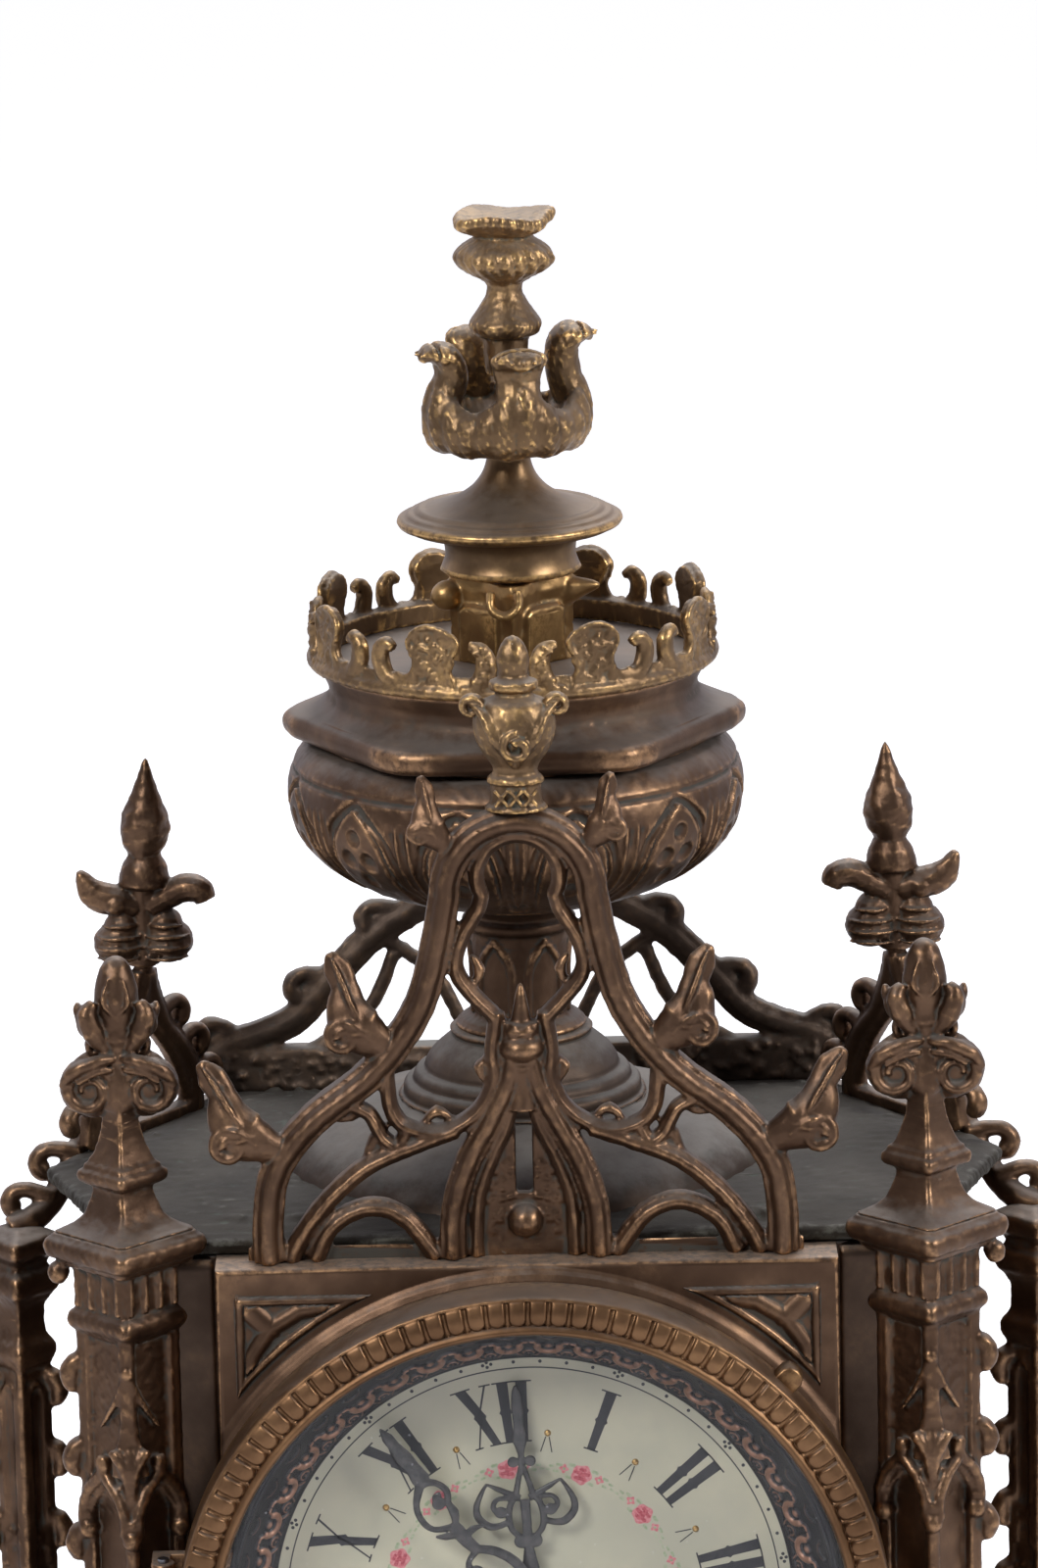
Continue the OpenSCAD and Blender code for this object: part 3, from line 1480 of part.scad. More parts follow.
plinth();
foot(0);  // foot_front_left
foot(1);  // foot_front_right
foot(2);  // foot_rear_right
foot(3);  // foot_rear_left
lower_case();
upper_case();
front_block();
front_column(-1);  // front_column_left
front_column(1);  // front_column_right
outer_column(-1);  // outer_column_left
outer_column(1);  // outer_column_right
rear_column(-1);  // rear_column_left
rear_column(1);  // rear_column_right
pinnacle(-1);  // pinnacle_left
pinnacle(1);  // pinnacle_right
front_gable();
gable_finial();
side_gable(-1);  // side_gable_left
side_gable(1);  // side_gable_right
rear_gable();
side_finial(-1);  // side_finial_left
side_finial(1);  // side_finial_right
roof();
dome();
tower_neck();
urn();
hex_plate();
crown();
turret();
saucer();
leaf_cup();
spire_cap();
tie_rod();
dial();
filigree_ring();
bezel();
glass();
bezel_hinge_pin();
hour_hand();
minute_hand();
hand_nut();
front_plate();
back_plate();
pillars_and_screws();
centre_arbor();
cannon_pinion();
minute_wheel();
hour_wheel();
barrel();
winding_arbor();
third_wheel();
escape_wheel();
anchor();
pendulum();
bell();
hammer();
back_door();
door_hinge();
door_catch();
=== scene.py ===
import math
import bpy
import bmesh
import numpy as np
from mathutils import Matrix, Vector


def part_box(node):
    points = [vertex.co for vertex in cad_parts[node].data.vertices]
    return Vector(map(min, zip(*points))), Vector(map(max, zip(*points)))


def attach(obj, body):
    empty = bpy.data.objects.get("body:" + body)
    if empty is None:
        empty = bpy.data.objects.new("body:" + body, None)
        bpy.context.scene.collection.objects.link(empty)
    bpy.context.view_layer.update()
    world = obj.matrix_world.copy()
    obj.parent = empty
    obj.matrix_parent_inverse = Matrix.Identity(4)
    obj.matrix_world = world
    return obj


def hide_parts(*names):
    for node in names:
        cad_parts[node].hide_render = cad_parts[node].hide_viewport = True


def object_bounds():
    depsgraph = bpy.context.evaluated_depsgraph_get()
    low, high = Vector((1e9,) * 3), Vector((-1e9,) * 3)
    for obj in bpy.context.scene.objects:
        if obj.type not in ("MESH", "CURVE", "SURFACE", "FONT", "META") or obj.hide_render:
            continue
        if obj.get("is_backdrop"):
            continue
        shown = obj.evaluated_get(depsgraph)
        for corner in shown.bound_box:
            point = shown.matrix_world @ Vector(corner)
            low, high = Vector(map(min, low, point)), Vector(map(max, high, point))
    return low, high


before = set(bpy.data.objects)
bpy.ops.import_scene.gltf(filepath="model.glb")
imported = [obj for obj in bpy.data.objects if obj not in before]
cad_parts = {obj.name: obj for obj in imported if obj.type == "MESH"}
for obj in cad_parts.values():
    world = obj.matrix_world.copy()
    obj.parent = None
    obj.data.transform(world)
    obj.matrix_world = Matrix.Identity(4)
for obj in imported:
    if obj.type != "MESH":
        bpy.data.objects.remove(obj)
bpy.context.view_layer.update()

mm = 0.001
scene = bpy.context.scene

# camera first: a long lens, looking a little down on the dial
cameraSpot = {"x": 0.6, "y": -1404.5, "z": 739.8, "down": 13.5, "roll": -1.3, "lens": 180}
cameraData = bpy.data.cameras.new("studio_camera")
cameraData.sensor_fit = "VERTICAL"
cameraData.sensor_height = 36
cameraData.lens = cameraSpot["lens"]
cameraData.clip_end = 60
studioCamera = bpy.data.objects.new("studio_camera", cameraData)
scene.collection.objects.link(studioCamera)
studioCamera.matrix_world = (
    Matrix.Translation((cameraSpot["x"] * mm, cameraSpot["y"] * mm, cameraSpot["z"] * mm))
    @ Matrix.Rotation(math.radians(90 - cameraSpot["down"]), 4, "X")
    @ Matrix.Rotation(math.radians(cameraSpot["roll"]), 4, "Z"))
scene.camera = studioCamera
print("camera set")


# shapes are kept as closed rings of points in millimetres

def newShape():
    return {"points": [], "faces": [], "count": 0}


def addRings(shape, rings, loop=False):
    rings = np.asarray(rings, float)
    rows, around = rings.shape[:2]
    index = shape["count"] + np.arange(rows * around).reshape(rows, around)
    first = index if loop else index[:-1]
    after = np.roll(index, -1, 0) if loop else index[1:]
    quads = np.stack([first, np.roll(first, -1, 1), np.roll(after, -1, 1), after], -1)
    shape["faces"] += quads.reshape(-1, 4).tolist()
    if not loop:
        shape["faces"] += [index[0][::-1].tolist(), index[-1].tolist()]
    shape["points"].append(rings.reshape(-1, 3))
    shape["count"] += rows * around


def addShape(shape, other, change=None):
    points = np.concatenate(other["points"])
    if change is not None:
        points = change(points)
    shape["faces"] += [[i + shape["count"] for i in face] for face in other["faces"]]
    shape["points"].append(points)
    shape["count"] += len(points)


def mirrorX(points):
    return points * np.array([-1, 1, 1])


def shifted(dx=0, dy=0, dz=0, turn=0):
    c, s = math.cos(math.radians(turn)), math.sin(math.radians(turn))

    def change(points):
        x, y, z = points.T
        return np.stack([x * c - y * s + dx, x * s + y * c + dy, z + dz], -1)
    return change


def unit(v):
    return v / np.maximum(np.linalg.norm(v, axis=-1, keepdims=True), 1e-9)


def smoothPath(points, steps=5):
    p = np.asarray(points, float)
    out = []
    for i in range(len(p) - 1):
        a, b, c, d = p[max(i - 1, 0)], p[i], p[i + 1], p[min(i + 2, len(p) - 1)]
        for j in range(steps):
            t = j / steps
            out.append(0.5 * (2 * b + (c - a) * t + (2 * a - 5 * b + 4 * c - d) * t * t
                              + (3 * b - a - 3 * c + d) * t ** 3))
    out.append(p[-1])
    return np.array(out)


def lifted(rows, z0):
    # rows of radius and height, moved up to z0
    return [(r, z + z0) for r, z in rows]


def arcPath(cx, cz, radius, start, end, steps=12):
    a = np.radians(np.linspace(start, end, steps + 1))
    return np.stack([cx + radius * np.cos(a), cz + radius * np.sin(a)], -1)


def standing(path, y=0.0):
    path = np.asarray(path, float)
    return np.stack([path[:, 0], np.full(len(path), y), path[:, 1]], -1)


def spread(values, count):
    values = np.asarray(values, float)
    return np.interp(np.linspace(0, 1, count), np.linspace(0, 1, len(values)), values)


def oval(a=1.0, b=1.0, count=12):
    t = np.arange(count) * 2 * math.pi / count
    return np.stack([a * np.cos(t), b * np.sin(t)], -1)


def addSweep(shape, path, section, widths=(1, 1), depths=None, front=(0, -1, 0)):
    # a section carried along a path, its depth towards front
    path = np.asarray(path, float)
    wide = spread(widths, len(path))
    deep = wide if depths is None else spread(depths, len(path))
    tangent = unit(np.gradient(path, axis=0))
    front = np.broadcast_to(np.asarray(front, float), path.shape)
    depth = unit(front - (front * tangent).sum(-1, keepdims=True) * tangent)
    side = np.cross(tangent, depth)
    rings = (path[:, None] + section[None, :, 0, None] * wide[:, None, None] * side[:, None]
             + section[None, :, 1, None] * deep[:, None, None] * depth[:, None])
    addRings(shape, rings)


def addLathe(shape, profile, sides=96, centre=(0, 0), wave=None, loop=False):
    profile = np.asarray(profile, float)
    angle = np.arange(sides) * 2 * math.pi / sides
    r = np.maximum(profile[:, :1], 0.01) + 0 * angle[None]
    z = profile[:, 1:2] + 0 * angle[None]
    if wave:
        r, z = wave(angle[None] + 0 * r, r, z)
    rings = np.stack([centre[0] + r * np.cos(angle), centre[1] + r * np.sin(angle), z], -1)
    addRings(shape, rings, loop=loop)


def addBall(shape, centre, radii, steps=12):
    t = np.linspace(-90, 90, steps + 1)
    radii = np.broadcast_to(np.asarray(radii, float), 3)
    ball = newShape()
    addLathe(ball, [(math.cos(math.radians(a)), math.sin(math.radians(a))) for a in t], 16)
    addShape(shape, ball, lambda p: p * radii + np.asarray(centre, float))


def addPlate(shape, outline, back, front, bevel=0.4):
    outline = np.asarray(outline, float)
    tangent = unit(np.roll(outline, -1, 0) - np.roll(outline, 1, 0))
    turned = np.sign((outline[:, 0] * np.roll(outline[:, 1], -1)
                      - outline[:, 1] * np.roll(outline[:, 0], -1)).sum())
    inward = turned * np.stack([-tangent[:, 1], tangent[:, 0]], -1)
    edge = -bevel if front < back else bevel
    rows = [standing(outline, back), standing(outline, front - edge),
            standing(outline + inward * bevel * 0.5, front - edge * 0.3),
            standing(outline + inward * bevel, front)]
    addRings(shape, rows)


def addBox(shape, low, high, bevel=0.4):
    (x0, y0, z0), (x1, y1, z1) = low, high
    addPlate(shape, [(x0, z0), (x1, z0), (x1, z1), (x0, z1)], y1, y0, bevel)


def wrapRound(radius):
    # x runs round the axis from the front, y is how far behind the surface
    def change(points):
        angle = points[:, 0] / radius - math.pi / 2
        r = radius - points[:, 1]
        return np.stack([r * np.cos(angle), r * np.sin(angle), points[:, 2]], -1)
    return change


def strokeHeight(u, v, path, width, height):
    # a rounded bead along a path, on a grid of u and v
    path = np.asarray(path, float)
    best = np.full(u.shape, 1e9)
    for (ax, az), (bx, bz) in zip(path[:-1], path[1:]):
        dx, dz = bx - ax, bz - az
        t = np.clip(((u - ax) * dx + (v - az) * dz) / max(dx * dx + dz * dz, 1e-9), 0, 1)
        best = np.minimum(best, np.hypot(u - ax - t * dx, v - az - t * dz))
    return height * np.sqrt(np.clip(1 - (best / width) ** 2, 0, 1))


def ballHeight(u, v, cu, cv, radius, height):
    return height * np.sqrt(np.clip(1 - ((u - cu) ** 2 + (v - cv) ** 2) / radius ** 2, 0, 1))


def ripple(points, size, seed):
    # a smooth lumpy noise made of plane waves, about -1 to 1
    draw = np.random.default_rng(seed)
    total = np.zeros(len(points))
    for _ in range(18):
        direction = unit(draw.normal(size=3))
        length = size * draw.uniform(0.6, 1.7)
        total += np.sin(points @ direction * 2 * math.pi / length + draw.uniform(0, 6.3))
    return total / 4.2


def node(name):
    low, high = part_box(name)
    return np.array(low) / mm, np.array(high) / mm


def meshOf(obj):
    graph = bpy.context.evaluated_depsgraph_get()
    return bpy.data.meshes.new_from_object(obj.evaluated_get(graph))


reliefScale = {"share": 88, "least": 0.1}  # percentile that counts as full relief, in mm at least


def markRelief(mesh, rounds):
    # how far each point stands out of the smoothed surface, as a share of the piece's relief
    count = len(mesh.vertices)
    co = np.zeros(count * 3)
    mesh.vertices.foreach_get("co", co)
    co = co.reshape(-1, 3) / mm
    normal = np.zeros(count * 3)
    mesh.vertices.foreach_get("normal", normal)
    normal = normal.reshape(-1, 3)
    ends = np.zeros(len(mesh.edges) * 2, int)
    mesh.edges.foreach_get("vertices", ends)
    a, b = ends.reshape(-1, 2).T
    links = np.maximum(np.bincount(a, minlength=count) + np.bincount(b, minlength=count), 1)
    soft = co.copy()
    for _ in range(rounds):
        total = np.stack([np.bincount(a, soft[b, k], count) + np.bincount(b, soft[a, k], count)
                          for k in range(3)], -1)
        soft = 0.4 * soft + 0.6 * total / links[:, None]
    relief = ((co - soft) * normal).sum(-1)
    full = np.percentile(np.abs(relief), reliefScale["share"])
    relief = relief / max(full, reliefScale["least"])
    layer = mesh.attributes.new("relief", "FLOAT", "POINT")
    layer.data.foreach_set("value", relief.astype(np.float32))


def cast(name, shape, material, body="case", nodes=(), voxel=0.4, keep=0.6,
         grain=0.03, grainSize=1.6, rounds=10, sharp=None, seed=1):
    # makes the piece: closed rings fused into one skin where voxel is given
    mesh = bpy.data.meshes.new(name)
    mesh.from_pydata((np.concatenate(shape["points"]) * mm).tolist(), [], shape["faces"])
    work = bmesh.new()
    work.from_mesh(mesh)
    bmesh.ops.recalc_face_normals(work, faces=work.faces)
    work.to_mesh(mesh)
    work.free()
    obj = bpy.data.objects.new(name, mesh)
    scene.collection.objects.link(obj)
    if voxel:
        skin = obj.modifiers.new("skin", "REMESH")
        skin.mode = "VOXEL"
        skin.voxel_size = voxel * mm
        relax = obj.modifiers.new("relax", "SMOOTH")
        relax.factor = 0.5
        relax.iterations = 2
        if keep < 1:
            thin = obj.modifiers.new("thin", "DECIMATE")
            thin.ratio = keep
        obj.data = meshOf(obj)
        obj.modifiers.clear()
        bpy.data.meshes.remove(mesh)
        mesh = obj.data
        mesh.name = name
    if grain:
        count = len(mesh.vertices)
        co = np.zeros(count * 3)
        mesh.vertices.foreach_get("co", co)
        normal = np.zeros(count * 3)
        mesh.vertices.foreach_get("normal", normal)
        move = ripple(co.reshape(-1, 3) / mm, grainSize, seed) * grain * mm
        co = co.reshape(-1, 3) + normal.reshape(-1, 3) * move[:, None]
        mesh.vertices.foreach_set("co", co.ravel())
        mesh.update()
    markRelief(mesh, rounds)
    mesh.shade_smooth()
    if sharp:
        mesh.set_sharp_from_angle(angle=math.radians(sharp))
    mesh.materials.append(material)
    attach(obj, body)
    if nodes:
        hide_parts(*nodes)
    print("made", name, len(mesh.polygons), "faces")
    return obj


# small helpers for shader nodes

def newGroup(name, inputs, outputs):
    group = bpy.data.node_groups.new(name, "ShaderNodeTree")
    for label, kind, value in inputs:
        socket = group.interface.new_socket(label, in_out="INPUT", socket_type=kind)
        socket.default_value = value
    for label, kind in outputs:
        group.interface.new_socket(label, in_out="OUTPUT", socket_type=kind)
    return group, group.nodes.new("NodeGroupInput"), group.nodes.new("NodeGroupOutput")


def addNode(tree, kind, links=None, **values):
    made = tree.nodes.new("ShaderNode" + kind)
    for key, value in values.items():
        setattr(made, key, value)
    for socket, source in (links or {}).items():
        if isinstance(source, bpy.types.NodeSocket):
            tree.links.new(source, made.inputs[socket])
        else:
            made.inputs[socket].default_value = source
    return made


def mapMask(tree, source, low, high):
    return addNode(tree, "MapRange", {0: source, 1: low, 2: high}, clamp=True,
                   interpolation_type="SMOOTHSTEP").outputs[0]


def mixColour(tree, factor, first, second, blend="MIX"):
    made = addNode(tree, "Mix", {0: factor, 6: first, 7: second}, data_type="RGBA",
                   blend_type=blend)
    return made.outputs[2]


def mixValue(tree, factor, first, second):
    return addNode(tree, "Mix", {0: factor, 2: first, 3: second}).outputs[0]


def math2(tree, how, first, second):
    return addNode(tree, "Math", {0: first, 1: second}, operation=how).outputs[0]


def times(tree, value, *factors):
    for factor in factors:
        value = math2(tree, "MULTIPLY", value, factor)
    return value


def plus(tree, first, second):
    return math2(tree, "ADD", first, second)


def wire(tree, end, values):
    for key, value in values.items():
        tree.links.new(value, end.inputs[key])


def noiseOf(tree, vector, size, detail=3.0, rough=0.55):
    # size is the width of one patch, in mm
    return addNode(tree, "TexNoise", {"Vector": vector, "Scale": 1 / (size * mm),
                                      "Detail": detail, "Roughness": rough}).outputs["Fac"]


colourSocket, floatSocket = "NodeSocketColor", "NodeSocketFloat"
surfaceOut = [("Color", colourSocket), ("Roughness", floatSocket), ("Metallic", floatSocket)]

# patina and painted highlight: bare metal on the ridges, its bright colour also a painted
# highlight in place of reflections, dull green-grey in the hollows, brown between
tree, gin, gout = newGroup("patina_and_highlight", [
    ("Metal", colourSocket, (0.2, 0.12, 0.07, 1)), ("Worn", colourSocket, (0.5, 0.3, 0.12, 1)),
    ("Hollow", colourSocket, (0.1, 0.12, 0.1, 1)), ("Wear", floatSocket, 1.0),
    ("Corrosion", floatSocket, 1.0), ("Roughness", floatSocket, 0.4)], surfaceOut)
patinaAndHighlightGroup = tree
place = addNode(tree, "TexCoord").outputs["Object"]
relief = addNode(tree, "Attribute", attribute_name="relief").outputs["Fac"]
broad = noiseOf(tree, place, 14, 4)
fine = noiseOf(tree, place, 1.6, 4, 0.65)
patchy = mapMask(tree, fine, 0.32, 0.62)
# ridge mask: the worn colour on raised edges, which is worn metal and also a painted highlight
ridge = times(tree, mapMask(tree, relief, 0.45, 1.5), patchy, gin.outputs["Wear"])
hollow = times(tree, mapMask(tree, relief, -0.35, -1.3), mapMask(tree, fine, 0.25, 0.5),
               gin.outputs["Corrosion"])
bloom = times(tree, mapMask(tree, broad, 0.5, 0.72), times(tree, patchy, 0.35),
              gin.outputs["Wear"])
darker = mixColour(tree, 1.0, gin.outputs["Metal"], (0.62, 0.6, 0.6, 1), "MULTIPLY")
colour = mixColour(tree, mapMask(tree, broad, 0.3, 0.65), darker, gin.outputs["Metal"])
for mask, tint in ((bloom, "Worn"), (ridge, "Worn"), (hollow, "Hollow")):
    colour = mixColour(tree, mask, colour, gin.outputs[tint])
rough = mixValue(tree, ridge, gin.outputs["Roughness"], 0.27)
rough = mixValue(tree, hollow, rough, 0.85)
wire(tree, gout, {"Color": colour, "Roughness": plus(tree, rough, times(tree, fine, 0.12)),
                  "Metallic": mixValue(tree, hollow, 0.95, 0.15)})

# dust: a dry grey film on whatever faces up
tree, gin, gout = newGroup("dust", [
    ("Color", colourSocket, (0.2, 0.12, 0.07, 1)), ("Roughness", floatSocket, 0.4),
    ("Metallic", floatSocket, 1.0), ("Dust", colourSocket, (0.3, 0.29, 0.27, 1)),
    ("Amount", floatSocket, 0.6)], surfaceOut)
dustGroup = tree
place = addNode(tree, "TexCoord")
facing = addNode(tree, "SeparateXYZ", {0: place.outputs["Normal"]}).outputs["Z"]
film = times(tree, noiseOf(tree, place.outputs["Object"], 5, 5, 0.7), 0.7)
film = mapMask(tree, plus(tree, facing, plus(tree, film, -0.35)), 0.45, 1.05)
film = times(tree, film, gin.outputs["Amount"])
bare = math2(tree, "SUBTRACT", 1.0, film)
wire(tree, gout, {"Color": mixColour(tree, film, gin.outputs["Color"], gin.outputs["Dust"]),
                  "Roughness": mixValue(tree, film, gin.outputs["Roughness"], 0.9),
                  "Metallic": times(tree, gin.outputs["Metallic"], bare)})

# casting skin: fine sandy grain with a few pits, as a height
tree, gin, gout = newGroup("casting_skin", [("Size", floatSocket, 0.5)],
                           [("Height", floatSocket)])
skinGroup = tree
place = addNode(tree, "TexCoord").outputs["Object"]
sized = math2(tree, "DIVIDE", 1000.0, gin.outputs["Size"])
sand = addNode(tree, "TexNoise", {"Vector": place, "Scale": sized, "Detail": 5.0,
                                  "Roughness": 0.6}).outputs["Fac"]
pits = addNode(tree, "TexVoronoi", {"Vector": place, "Scale": 620.0}).outputs["Distance"]
pits = times(tree, mapMask(tree, pits, 0.0, 0.16), 0.35)
wire(tree, gout, {"Height": plus(tree, times(tree, sand, 0.8), pits)})


def newMaterial(name):
    made = bpy.data.materials.new(name)
    made.use_nodes = True
    tree = made.node_tree
    return made, tree, tree.nodes["Principled BSDF"]


def placeGroup(tree, group, **values):
    made = tree.nodes.new("ShaderNodeGroup")
    made.node_tree = group
    for key, value in values.items():
        if isinstance(value, bpy.types.NodeSocket):
            tree.links.new(value, made.inputs[key])
        else:
            made.inputs[key].default_value = value
    return made


def castMetal(name, look):
    made, tree, shader = newMaterial(name)
    patina_and_highlight = placeGroup(tree, patinaAndHighlightGroup, Metal=(*look["metal"], 1), Worn=(*look["worn_and_highlight"], 1),
                        Hollow=(*look["hollow"], 1), Wear=look["wear_and_highlight"],
                        Corrosion=look["corrosion"], Roughness=look["rough"])
    dust = placeGroup(tree, dustGroup, Color=patina_and_highlight.outputs["Color"],
                      Roughness=patina_and_highlight.outputs["Roughness"],
                      Metallic=patina_and_highlight.outputs["Metallic"], Amount=look["dust"])
    skin = placeGroup(tree, skinGroup, Size=look["grain"])
    bump = addNode(tree, "Bump", {"Height": skin.outputs["Height"], "Strength": look["bump"],
                                  "Distance": 0.12 * mm})
    wire(tree, shader, {"Base Color": dust.outputs["Color"], "Normal": bump.outputs["Normal"],
                        "Roughness": dust.outputs["Roughness"],
                        "Metallic": dust.outputs["Metallic"]})
    return made


# worn and wear give the ridge colour and how much of it shows: worn metal, and a painted highlight
# standing in for reflections on the ridges, strongest in the worn_bronze look
brownLook = {"metal": (0.135, 0.08, 0.05), "worn_and_highlight": (0.5, 0.29, 0.15),
             "hollow": (0.05, 0.052, 0.045), "wear_and_highlight": 0.65, "corrosion": 0.8, "rough": 0.36,
             "dust": 0.4, "grain": 0.7, "bump": 0.3}
brown = castMetal("brown_bronze", brownLook)
dark = castMetal("dark_bronze", {**brownLook, "metal": (0.11, 0.08, 0.062), "wear_and_highlight": 0.3,
                                 "dust": 0.55, "rough": 0.5})
golden = castMetal("worn_bronze", {**brownLook, "metal": (0.22, 0.14, 0.075),
                                   "worn_and_highlight": (0.8, 0.5, 0.2), "hollow": (0.07, 0.085, 0.07),
                                   "wear_and_highlight": 1.0, "rough": 0.36, "dust": 0.4})
bright = castMetal("bright_bronze", {**brownLook, "metal": (0.4, 0.245, 0.105), "rough": 0.33,
                                     "worn_and_highlight": (0.85, 0.55, 0.22), "hollow": (0.09, 0.09, 0.06),
                                     "corrosion": 0.6, "wear_and_highlight": 0.8, "dust": 0.25})
saucerGold = castMetal("saucer_bronze", {**brownLook, "metal": (0.24, 0.15, 0.078), "wear_and_highlight": 0.9,
                                         "worn_and_highlight": (0.75, 0.47, 0.19), "corrosion": 0.1,
                                         "rough": 0.32, "dust": 0.3})
orange = castMetal("bezel_bronze", {**brownLook, "metal": (0.21, 0.115, 0.058),
                                    "worn_and_highlight": (0.6, 0.36, 0.16), "hollow": (0.022, 0.018, 0.014),
                                    "wear_and_highlight": 0.35, "rough": 0.36, "dust": 0.35, "bump": 0.2})
sooty = castMetal("sooty_bronze", {**brownLook, "metal": (0.055, 0.046, 0.036), "wear_and_highlight": 0.35,
                                   "worn_and_highlight": (0.2, 0.2, 0.17), "hollow": (0.05, 0.06, 0.046),
                                   "corrosion": 1.0, "dust": 0.16, "rough": 0.65, "bump": 0.9})
caseBronze = castMetal("case_bronze", {**brownLook, "metal": (0.075, 0.05, 0.036), "wear_and_highlight": 0.3,
                                       "dust": 0.3})
tree = caseBronze.node_tree
soft = addNode(tree, "Bevel", {"Radius": 0.7 * mm}, samples=4)
tree.links.new(soft.outputs["Normal"], tree.nodes["Bump"].inputs["Normal"])

# the ring inside the bezel: matt copper on the raised scroll, near black between; that near black
# is a dark ground deepened by painted shade, since the ring lies in shade inside the bezel
filigreeMetal, tree, shader = newMaterial("filigree_copper")
place = addNode(tree, "TexCoord").outputs["Object"]
relief = addNode(tree, "Attribute", attribute_name="relief").outputs["Fac"]
raised = times(tree, mapMask(tree, relief, 0.25, 0.62),
               mapMask(tree, noiseOf(tree, place, 2.4, 4), 0.22, 0.5))
# the near-black ground colour is the ground's own dark plus painted shade
wire(tree, shader, {
    "Base Color": mixColour(tree, raised, (0.014, 0.014, 0.018, 1), (0.42, 0.23, 0.16, 1)),
    "Metallic": mixValue(tree, raised, 0.2, 0.7)})
shader.inputs["Roughness"].default_value = 0.45

# two close tones in soft patches, with a faint unevenness of the surface
tree, gin, gout = newGroup("patches", [
    ("First", colourSocket, (0.5, 0.5, 0.5, 1)), ("Second", colourSocket, (0.4, 0.4, 0.4, 1)),
    ("Size", floatSocket, 4.0), ("Roughness", floatSocket, 0.4)],
    [("Color", colourSocket), ("Roughness", floatSocket), ("Height", floatSocket)])
patchGroup = tree
place = addNode(tree, "TexCoord").outputs["Object"]
sized = math2(tree, "DIVIDE", 1000.0, gin.outputs["Size"])
patches = addNode(tree, "TexNoise", {"Vector": place, "Scale": sized, "Detail": 4.0,
                                     "Roughness": 0.6}).outputs["Fac"]
patches = mapMask(tree, patches, 0.35, 0.65)
finer = addNode(tree, "TexNoise", {"Vector": place, "Detail": 3.0,
                                   "Scale": times(tree, sized, 4.0)})
wire(tree, gout, {
    "Color": mixColour(tree, patches, gin.outputs["First"], gin.outputs["Second"]),
    "Roughness": plus(tree, gin.outputs["Roughness"], times(tree, patches, 0.12)),
    "Height": finer.outputs["Fac"]})


def softPaint(name, first, second, size, rough, coat=0.0, metal=0.0, height=0.04):
    made, tree, shader = newMaterial(name)
    patch = placeGroup(tree, patchGroup, First=(*first, 1), Second=(*second, 1), Size=size,
                       Roughness=rough)
    tree.links.new(patch.outputs["Color"], shader.inputs["Base Color"])
    tree.links.new(patch.outputs["Roughness"], shader.inputs["Roughness"])
    shader.inputs["Metallic"].default_value = metal
    shader.inputs["Coat Weight"].default_value = coat
    shader.inputs["Coat Roughness"].default_value = 0.12
    bump = addNode(tree, "Bump", {"Height": patch.outputs["Height"], "Strength": 0.3,
                                  "Distance": height * mm})
    tree.links.new(bump.outputs["Normal"], shader.inputs["Normal"])
    return made


inkPaint = softPaint("numeral_ink", (0.012, 0.012, 0.018), (0.03, 0.03, 0.036), 2.5, 0.5)
rosePaint = softPaint("rose_pink", (0.62, 0.15, 0.18), (0.72, 0.3, 0.31), 0.7, 0.4)
petalPaint = softPaint("rose_red", (0.42, 0.035, 0.06), (0.62, 0.13, 0.16), 0.5, 0.4)
leafPaint = softPaint("leaf_green", (0.3, 0.38, 0.22), (0.46, 0.5, 0.34), 0.6, 0.45)
beadGold = softPaint("bead_gold", (0.72, 0.47, 0.18), (0.5, 0.3, 0.1), 0.5, 0.28, metal=0.9)
handBlack = softPaint("hand_black", (0.012, 0.012, 0.015), (0.05, 0.046, 0.045), 1.8, 0.3, 0.3,
                      height=0.08)
brass = softPaint("clock_brass", (0.62, 0.42, 0.16), (0.45, 0.27, 0.09), 6, 0.26, metal=1.0)
steel = softPaint("blued_steel", (0.3, 0.31, 0.33), (0.18, 0.18, 0.2), 4, 0.3, metal=1.0)
enamel = softPaint("dial_ivory", (0.56, 0.53, 0.385), (0.49, 0.475, 0.355), 16, 0.3, 0.3)

# the glass: clear, with reflections at its surface and a little dust
clearGlass, tree, shader = newMaterial("clock_glass")
place = addNode(tree, "TexCoord").outputs["Object"]
dustMask = mapMask(tree, noiseOf(tree, place, 9, 6, 0.7), 0.42, 0.8)
specks = addNode(tree, "TexVoronoi", {"Vector": place, "Scale": 260.0}).outputs["Distance"]
specks = mapMask(tree, specks, 0.07, 0.03)
haze = plus(tree, times(tree, dustMask, 0.015), times(tree, specks, 0.2))
mirror = addNode(tree, "Fresnel", {"IOR": 1.25}).outputs[0]
rays = addNode(tree, "LightPath")
direct = math2(tree, "SUBTRACT", 1.0, rays.outputs["Is Shadow Ray"])
cover = times(tree, plus(tree, mirror, haze), direct)
tree.links.new(cover, shader.inputs["Alpha"])
shader.inputs["Metallic"].default_value = 1.0
tree.links.new(mixValue(tree, haze, 0.03, 0.6), shader.inputs["Roughness"])
tree.links.new(mixColour(tree, dustMask, (0.92, 0.93, 0.95, 1), (0.72, 0.71, 0.68, 1)),
               shader.inputs["Base Color"])

print("finishes ready")

# the room: white paper below, a pale sky and three soft lamps

